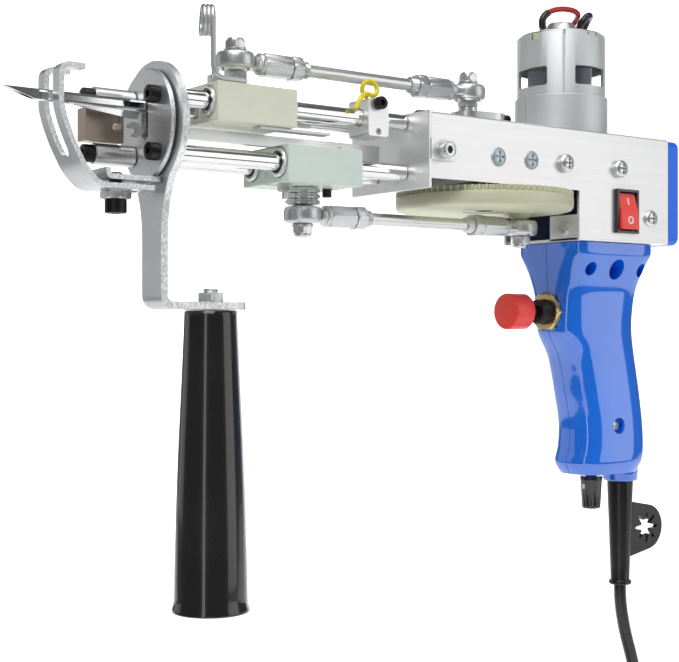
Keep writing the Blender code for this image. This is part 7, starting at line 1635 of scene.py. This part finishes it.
            cover = tube(line[:sleeve], 1.7, 20)
            self.extra(f"lead_sleeve_{word}", cover, node, "black rubber", sharp=60.0)


@dataclass(frozen=True)
class GripSizes:
    """Rear grip, in machine millimetres.

    Each station is its height share, front share, rear share, width share and power.
    """

    front: float = 186.5
    rear: float = 240.5
    top: float = 38.0
    bottom: float = -70.0
    half: float = 22.6
    buried: float = 42.0
    edge: float = 0.9
    knob: float = 217.5
    screw: tuple = (221.8, -46.3)
    wells: tuple = ((197.3, 3.2), (214.5, 4.8), (232.6, 3.2))
    stations: tuple = (
        (1.000, 0.000, 1.000, 1.000, 7.0), (0.980, 0.002, 0.997, 0.980, 6.5),
        (0.940, 0.008, 0.984, 0.895, 5.5), (0.885, 0.016, 0.968, 0.795, 4.6),
        (0.815, 0.022, 0.953, 0.700, 4.0), (0.722, 0.026, 0.946, 0.660, 3.6),
        (0.639, 0.036, 0.952, 0.650, 3.4), (0.546, 0.143, 0.982, 0.640, 3.3),
        (0.463, 0.195, 1.016, 0.636, 3.3), (0.361, 0.242, 1.056, 0.636, 3.3),
        (0.231, 0.295, 1.094, 0.640, 3.3), (0.130, 0.290, 1.105, 0.650, 3.3),
        (0.056, 0.250, 1.090, 0.656, 3.2), (0.000, 0.306, 1.018, 0.585, 3.0),
    )


class Grip(Assembly):
    """Pistol grip with trigger, speed knob, strain relief and tag."""

    sizes = GripSizes()
    steps = ("shells", "trigger", "knob", "relief")

    def section(self, station: np.ndarray, sides: int = 112) -> np.ndarray:
        """One section of the grip, a squarish oval |x|^n + |y|^n = 1.

        Args:
            station: height share, front and rear shares, width share and the power n.
            sides: points round it.

        Returns:
            The section's points.
        """
        s = self.sizes
        height, front_share, rear_share, width_share, power = station
        front = s.front + front_share * (s.rear - s.front)
        rear = s.front + rear_share * (s.rear - s.front)
        x, y = oval(TURN * (np.arange(sides) + 0.5) / sides, power)
        level = s.bottom + height * (s.top - s.bottom)
        middle, half_length = (front + rear) / 2, (rear - front) / 2
        levels = np.full(sides, level)
        return np.stack((middle + half_length * x, width_share * s.half * y, levels), axis=1)

    def body(self) -> Shape:
        """Grip's outer surface, smooth through its stations, with a rounded bottom.

        Returns:
            The closed body, which reaches into the housing's floor.
        """
        s = self.sizes
        stations = smoothed(np.array(s.stations), 0.012)
        rings = [self.section(stations[0])]
        rings[0][:, 2] = s.buried
        rings += [self.section(station) for station in stations[:-1]]
        last = self.section(stations[-1])
        centre = last.mean(axis=0)
        for angle in np.linspace(0, 1, 6) * math.pi / 2:
            ring_points = last.copy()
            taper = 1 - 0.10 * (1 - math.cos(angle))
            ring_points[:, :2] = centre[:2] + (last[:, :2] - centre[:2]) * taper
            ring_points[:, 2] = s.bottom + s.edge - s.edge * math.sin(angle)
            rings.append(ring_points)
        return loft(rings)

    def shells(self) -> None:
        """Makes the two shells with their wells, seam, trigger seat and bottom boss."""
        def well(radius: float, place: Point, axis: Axis, low: float, high: float) -> Shape:
            return revolve(ring(0, radius, low, high), place, axis, 56)

        s = self.sizes
        seat = well(9.6, (0, 0, PLAN.trigger), Axis.X, 150.0, 188.4)
        bush = well(6.1, (0, 0, PLAN.trigger), Axis.X, 180.0, 204.0)
        wells = [well(radius, (x, 0, 29.6), Axis.Y, -40.0, -11.5) for x, radius in s.wells]
        wells.append(well(4.0, (s.screw[0], 0, s.screw[1]), Axis.Y, -40.0, -10.7))
        for word, low, high, own in (("near", -0.15, 40.0, wells), ("far", -40.0, 0.15, [])):
            beyond = block((170.0, low, -90.0), (280.0, high, 60.0))
            cutters, name = [beyond, seat, bush, *own], f"fine_grip_{word}"
            node = f"grip_shell_{word}"
            self.fine(node, self.body(), cutters, name=name, bevel=0.45, sharp=38.0)
        head = pan_screw((s.screw[0], -10.7, s.screw[1]), Axis.Y, -1, 2.7, 1.8)
        self.extra("grip_screw", head, "grip_shell_near", "bright steel")
        rows = [(0, -66.0), (9.2, -66.0), (9.0, -69.5), (8.8, -74.0), (8.2, -74.9), (0, -75.0)]
        boss = revolve(rows, (PLAN.cord, 0, 0))
        self.extra("cord_boss", boss, "grip_shell_near", bevel=0.2)

    def trigger(self) -> None:
        """Makes the push button, a flat disc with a knurled neck, its stem, bushing and nut."""
        node, axis = "trigger_button", (0, 0, PLAN.trigger)
        neck = knurl_radii(3.9, 0.35, 96)
        rows: list[Row] = [
            (0, 160.0), (7.5, 160.0), (8.1, 160.15), (8.4, 160.5), (8.5, 161.0), (8.5, 170.9),
            (8.3, 171.3), (7.9, 171.5), (4.4, 171.6), (neck, 172.0), (neck, 174.8), (3.4, 175.2),
            (0, 175.2),
        ]
        self.fine(node, revolve(rows, axis, Axis.X, 96), name="fine_trigger")
        rows = [(0, 171.0), (2.6, 171.0), (2.6, 198.4), (2.3, 198.7), (0, 198.7)]
        stem = revolve(rows, axis, Axis.X, 48)
        self.extra("trigger_stem", stem, node, "black plastic")
        rows = [(3.1, 179.5), (5.3, 179.5)]
        for at in [179.9 + ridge * 1.02 for ridge in range(22)]:
            rows += [(5.35, at), (5.8, at + 0.4), (5.8, at + 0.6)]
        rows += [(5.4, 203.0), (3.1, 203.0)]
        self.fine("trigger_bushing", revolve(rows, axis, Axis.X), name="fine_bushing")
        lock = nut((188.1, 0, PLAN.trigger), Axis.X, -1, 16.8, 3.2, 5.7, CORNER)
        self.extra("bushing_nut", lock, "trigger_bushing", "brass")

    def knob(self) -> None:
        """Makes the speed knob, its radius less by up to 4.5 percent in 16 flutes, and pointer."""
        sides = 96
        flutes = 1 - 0.045 * (0.5 + 0.5 * np.cos(TURN * 16 * np.arange(sides) / sides)) ** 2
        rows: list[Row] = [
            (0, -52.0), (2.8, -52.0), (2.8, -71.5), (5.1, -71.5), (5.5, -72.0), (5.45, -73.6),
            (5.3 * flutes, -74.2), (4.6 * flutes, -86.2), (4.45, -86.9), (4.0, -87.5), (0, -87.5),
        ]
        body = revolve(rows, (self.sizes.knob, 0, 0), Axis.Z, sides)
        self.fine("speed_knob", body, sharp=45.0)
        pointer = block((211.9, -0.75, -77.6), (213.4, 0.75, -75.2))
        self.extra("knob_pointer", pointer, "speed_knob", "white mark", bevel=0.12)

    def relief(self) -> None:
        """Makes the smooth strain relief and the flat tag behind it.

        The tag's hole has the radius 4.0 + 4.3 (0.5 + 0.5 cos 8a)^2, which gives eight petals.
        """
        top, bottom = -75.3, -127.2
        rows: list[Row] = [(0, top), (6.2, top), (6.5, top - 0.4)]
        for share in np.linspace(0.1, 1.0, 8):
            rows.append((6.5 - 1.9 * share, top - 0.4 - 49.0 * share))
        rows += [(4.65, bottom + 2.3), (5.3, bottom + 2.15), (5.6, bottom + 1.6)]
        rows += [(5.6, bottom + 0.6), (5.3, bottom + 0.1), (4.0, bottom), (0, bottom)]
        body = revolve(rows, (PLAN.cord, 0, 0), Axis.Z, 72)
        self.fine("strain_relief", body, bevel=0.18, sharp=30.0)
        petals, level = 8, -100.0
        angles = TURN * np.arange(petals * 16) / (petals * 16)
        reach = 4.0 + 4.3 * (0.5 + 0.5 * np.cos(petals * angles)) ** 2.0
        hole = np.stack((level + reach * np.sin(angles), 256.5 + reach * np.cos(angles)), axis=1)
        end = np.radians(np.linspace(-78, 78, 25))
        curve = np.stack((level + 11.4 * np.sin(end), 256.8 + 11.4 * np.cos(end)), axis=1)
        outline = np.vstack(((-115.0, 238.6), curve, (-85.0, 238.6)))
        tag = slab(outline, -1.4, 1.4, Axis.Y, (hole[::-1],))
        self.extra("relief_tag", tag, "strain_relief", bevel=0.35)


@dataclass(frozen=True)
class CordSizes:
    """Cord, its coil and its tie, in machine millimetres."""

    exit: float = -127.5
    radius: float = 3.0
    turns: int = 6
    outer: float = 43.5
    pitch: float = 6.7
    centre: tuple = (210.3, -222.3)


class Cord(Assembly):
    """Free cord from the strain relief, its tied coil, and the socket on its end."""

    sizes = CordSizes()

    def route(self) -> np.ndarray:
        """Points of the whole cord.

        Above the coil it passes through the listed points. In the coil the radius is
        43.5 - 6.7 min(t, 6 - t) after t turns, and the layer changes half way on an eased step.

        Returns:
            The points, in machine millimetres.
        """
        s = self.sizes
        free = (
            (0, s.exit), (0.1, -133.5), (1.1, -141.0), (3.8, -152.0), (7.3, -162.0),
            (10.8, -173.0), (13.5, -185.0), (15.0, -197.0), (15.5, -208.0), (15.5, -216.0),
        )
        upper = smoothed([(PLAN.cord + x, 0.0, z) for x, z in free], 3.4)
        turns = np.arange(1, s.turns * 36 + 1) / 36
        radius = s.outer - s.pitch * np.minimum(turns, s.turns - turns)
        share = np.clip((turns - 2.75) / 0.5, 0, 1)
        layer = s.pitch * (1 - np.cos(math.pi * share)) / 2
        angle = TURN * turns
        x, z = s.centre[0] + radius * np.cos(angle), s.centre[1] - radius * np.sin(angle)
        coil = np.stack((x, layer, z), axis=1)
        start = np.array(((253.8, 0.0, -219.0), (253.8, 0.0, s.centre[1])))
        tail = [coil[-1] - np.array((0.0, 0.0, 20.0 * step / 6)) for step in range(1, 7)]
        return np.vstack((upper, start, coil, tail))

    def curve(self, line: np.ndarray) -> bpy.types.Object:
        """Draws the cord as one smooth round curve.

        Args:
            line: its points in machine millimetres.

        Returns:
            The cord.
        """
        curve = bpy.data.curves.new("power_cord", "CURVE")
        curve.dimensions = "3D"
        curve.bevel_depth = self.sizes.radius * MM
        curve.bevel_resolution = 6
        curve.use_fill_caps = True
        spline = curve.splines.new("POLY")
        spline.points.add(len(line) - 1)
        metres = np.ones((len(line), 4))
        metres[:, :3] = (line + SHIFT) * MM
        spline.points.foreach_set("co", metres.ravel())
        spline.use_smooth = True
        item = bpy.data.objects.new("power_cord", curve)
        bpy.context.scene.collection.objects.link(item)
        curve.materials.append(self.shop.materials["black rubber"])
        return item

    def tie(self) -> bpy.types.Object:
        """Makes the wire tie that holds the coil's turns together on the front side.

        Its line is a flattened ring round the turns: an oblong with round ends.

        Returns:
            The tie.
        """
        level, steps = self.sizes.centre[1], 60
        outline = oblong((-3.9, 162.3), (10.6, 195.0), 3.8, 8)
        line = np.stack((outline[:, 1], outline[:, 0], np.full(len(outline), level)), axis=1)
        shape = tube(np.vstack((line, line[:1])), 0.9, 14)
        twist, height = np.linspace(0, TURN * 4, steps), np.linspace(0, 9.0, steps)
        for phase in (0.0, math.pi):
            x = 178.0 + 0.8 * np.cos(twist + phase)
            z = level - height + 0.8 * np.sin(twist + phase)
            shape = shape + tube(np.stack((x, -4.2 - height * 0.6, z), axis=1), 0.8, 10)
        return self.extra("cord_tie", shape, "cord_coil", "black plastic")

    def build(self) -> None:
        """Makes the cord as one curve, its tie and its socket."""
        line = self.route()
        item = self.curve(line)
        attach(item, "frame")
        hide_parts("cord", "cord_coil")
        rows: list[Row] = [
            (0, -0.3), (4.0, -0.3), (4.2, -0.7), (4.2, -7.6), (4.5, -8.2), (5.5, -9.6), (5.5, -33.8),
            (5.0, -34.3), (3.0, -34.3), (2.8, -34.1), (2.8, -24.3), (0, -24.3),
        ]
        socket = self.fine("cord_socket", revolve(rows, line[-1]), bevel=0.15)
        tie = self.tie()


class Clamp(Assembly):
    """Rod clamp with its screw, and the yellow cable loop."""

    def build(self) -> None:
        """Makes the clamp, and the loop as one turn of a rising circle."""
        body = slab(oblong((82.0, 66.2), (97.8, 76.8), 1.4), -17.2, -3.2, Axis.Y)
        cutters = (
            revolve(ring(0, 3.75, 60, 85), (0, -PLAN.spread, 90.1), Axis.X),
            block((60.0, -10.7, 90.1), (80.0, -9.7, 99.0)),
            revolve(ring(0, 1.4, -20, -15), (71.5, 0, 84.0), Axis.Y, 40),
        )
        self.fine("rod_clamp", body, cutters, bevel=0.4)
        head = cap_screw((71.5, -17.1, 95.8), Axis.Y, -1, 2.75, 3.0, 2.5, 1.5)
        self.extra("clamp_screw", head, "rod_clamp", "black steel")
        points = [(60.0, -16.4, 92.7), (63.1, -15.9, 97.5), (66.2, -15.4, 99.6)]
        for share in np.arange(25) / 24:
            angle = TURN * share - math.pi / 2
            x, z = 69.4 + 3.2 * math.cos(angle), 102.3 + 3.2 * math.sin(angle)
            points.append((x, -15.4 + 3.6 * share, z))
        self.fine("cable_loop", tube(smoothed(points, 0.5), 1.0, 16), sharp=60.0)


@dataclass(frozen=True)
class Softbox:
    """One area light, in metres and watts."""

    name: str
    place: tuple[float, float, float]
    size: tuple[float, float]
    power: float


class Studio:
    """White floor and backdrop, soft lights, world and camera."""

    LOW = -0.33
    TARGET = (-0.05, 0.0, 0.03)
    EYE = (-0.4959, -0.4671, 0.030)
    SIGHT = (0.588, 0.809, 0.0)
    LENS = 71.58
    WORLD = ((0.95, 0.97, 1.0, 1.0), 0.13)
    LIGHTS = (
        Softbox("softbox_right", (0.80, -1.10, 0.30), (1.0, 1.3), 4.9),
        Softbox("softbox_top", (-0.15, -0.25, 1.25), (1.3, 0.9), 6.5),
        Softbox("softbox_left", (-0.80, 1.10, 0.25), (0.8, 0.9), 1.2),
        Softbox("softbox_front", (-0.80, -0.60, 1.05), (1.1, 0.7), 9.0),
        Softbox("strip_left", (-1.03, -0.62, 0.10), (0.14, 1.2), 1.1),
    )

    def surface(self, name: str, points: Sequence[Point], strength: float) -> None:
        """Makes one white surface of the studio.

        Args:
            name: its name.
            points: its four corners in metres.
            strength: how much it glows.
        """
        mesh = bpy.data.meshes.new(name)
        mesh.from_pydata(np.asarray(points, float).tolist(), [], [(0, 1, 2, 3)])
        item = bpy.data.objects.new(name, mesh)
        bpy.context.scene.collection.objects.link(item)
        net = Net(name)
        tone = net.noise((3.0, 3.0, 3.0), 2.0)
        inputs = {
            "Base Color": net.mix(tone, (0.86, 0.86, 0.86, 1.0), (0.88, 0.88, 0.88, 1.0)),
            "Roughness": 0.8,
            "Emission Color": (1, 1, 1, 1),
            "Emission Strength": strength,
        }
        net.close(net.node("ShaderNodeBsdfPrincipled", {}, inputs))
        mesh.materials.append(net.material)

    def aim(self, name: str, data: bpy.types.ID, place: Point, way: Point) -> bpy.types.Object:
        """Links a light or camera and turns it.

        Args:
            name: its name.
            data: the light or camera.
            place: its place in metres.
            way: the direction that it faces.

        Returns:
            The object.
        """
        item = bpy.data.objects.new(name, data)
        item.location = place
        item.rotation_euler = Vector(way).to_track_quat("-Z", "Y").to_euler()
        bpy.context.scene.collection.objects.link(item)
        return item

    def build(self) -> None:
        """Builds the studio."""
        low, scene = self.LOW, bpy.context.scene
        floor = [(-0.7, -0.7, low), (3, -0.7, low), (3, 3, low), (-0.7, 3, low)]
        self.surface("studio_floor", floor, 0.50)
        wall = [(0.2, 1.9, low - 0.4), (2.0, 0.6, low - 0.4), (2.0, 0.6, 1.1), (0.2, 1.9, 1.1)]
        self.surface("studio_backdrop", wall, 1.0)
        for lamp in self.LIGHTS:
            data = bpy.data.lights.new(lamp.name, "AREA")
            data.shape = "RECTANGLE"
            data.size, data.size_y = lamp.size
            data.energy = lamp.power
            self.aim(lamp.name, data, lamp.place, Vector(self.TARGET) - Vector(lamp.place))
        world = bpy.data.worlds.new("studio_world")
        world.use_nodes = True
        background = world.node_tree.nodes["Background"]
        for key, content in zip(("Color", "Strength"), self.WORLD):
            background.inputs[key].default_value = content
        scene.world = world
        scene.view_settings.view_transform = "Standard"
        camera = bpy.data.cameras.new("photo_camera")
        camera.lens = self.LENS
        camera.sensor_width = 36.0
        scene.camera = self.aim("photo_camera", camera, self.EYE, self.SIGHT)


def main(frame: dict) -> None:
    """Builds the finished machine, the studio and the camera.
    """
    logging.basicConfig(level=logging.INFO, format="%(name)s %(message)s")
    Studio().build()
    shop = Workshop(frame)
    for assembly in (FrontHead, Housing, Carriages, Linkage, Drive, Clamp, Grip, Cord):
        assembly(shop).build()
    missing = sorted(set(frame["nodes"]) - shop.done - {"cord", "cord_coil"})
    LOG.info("CAD pieces without a finish: %s", missing)


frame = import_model()

if __name__ == "__main__":
    main(frame)
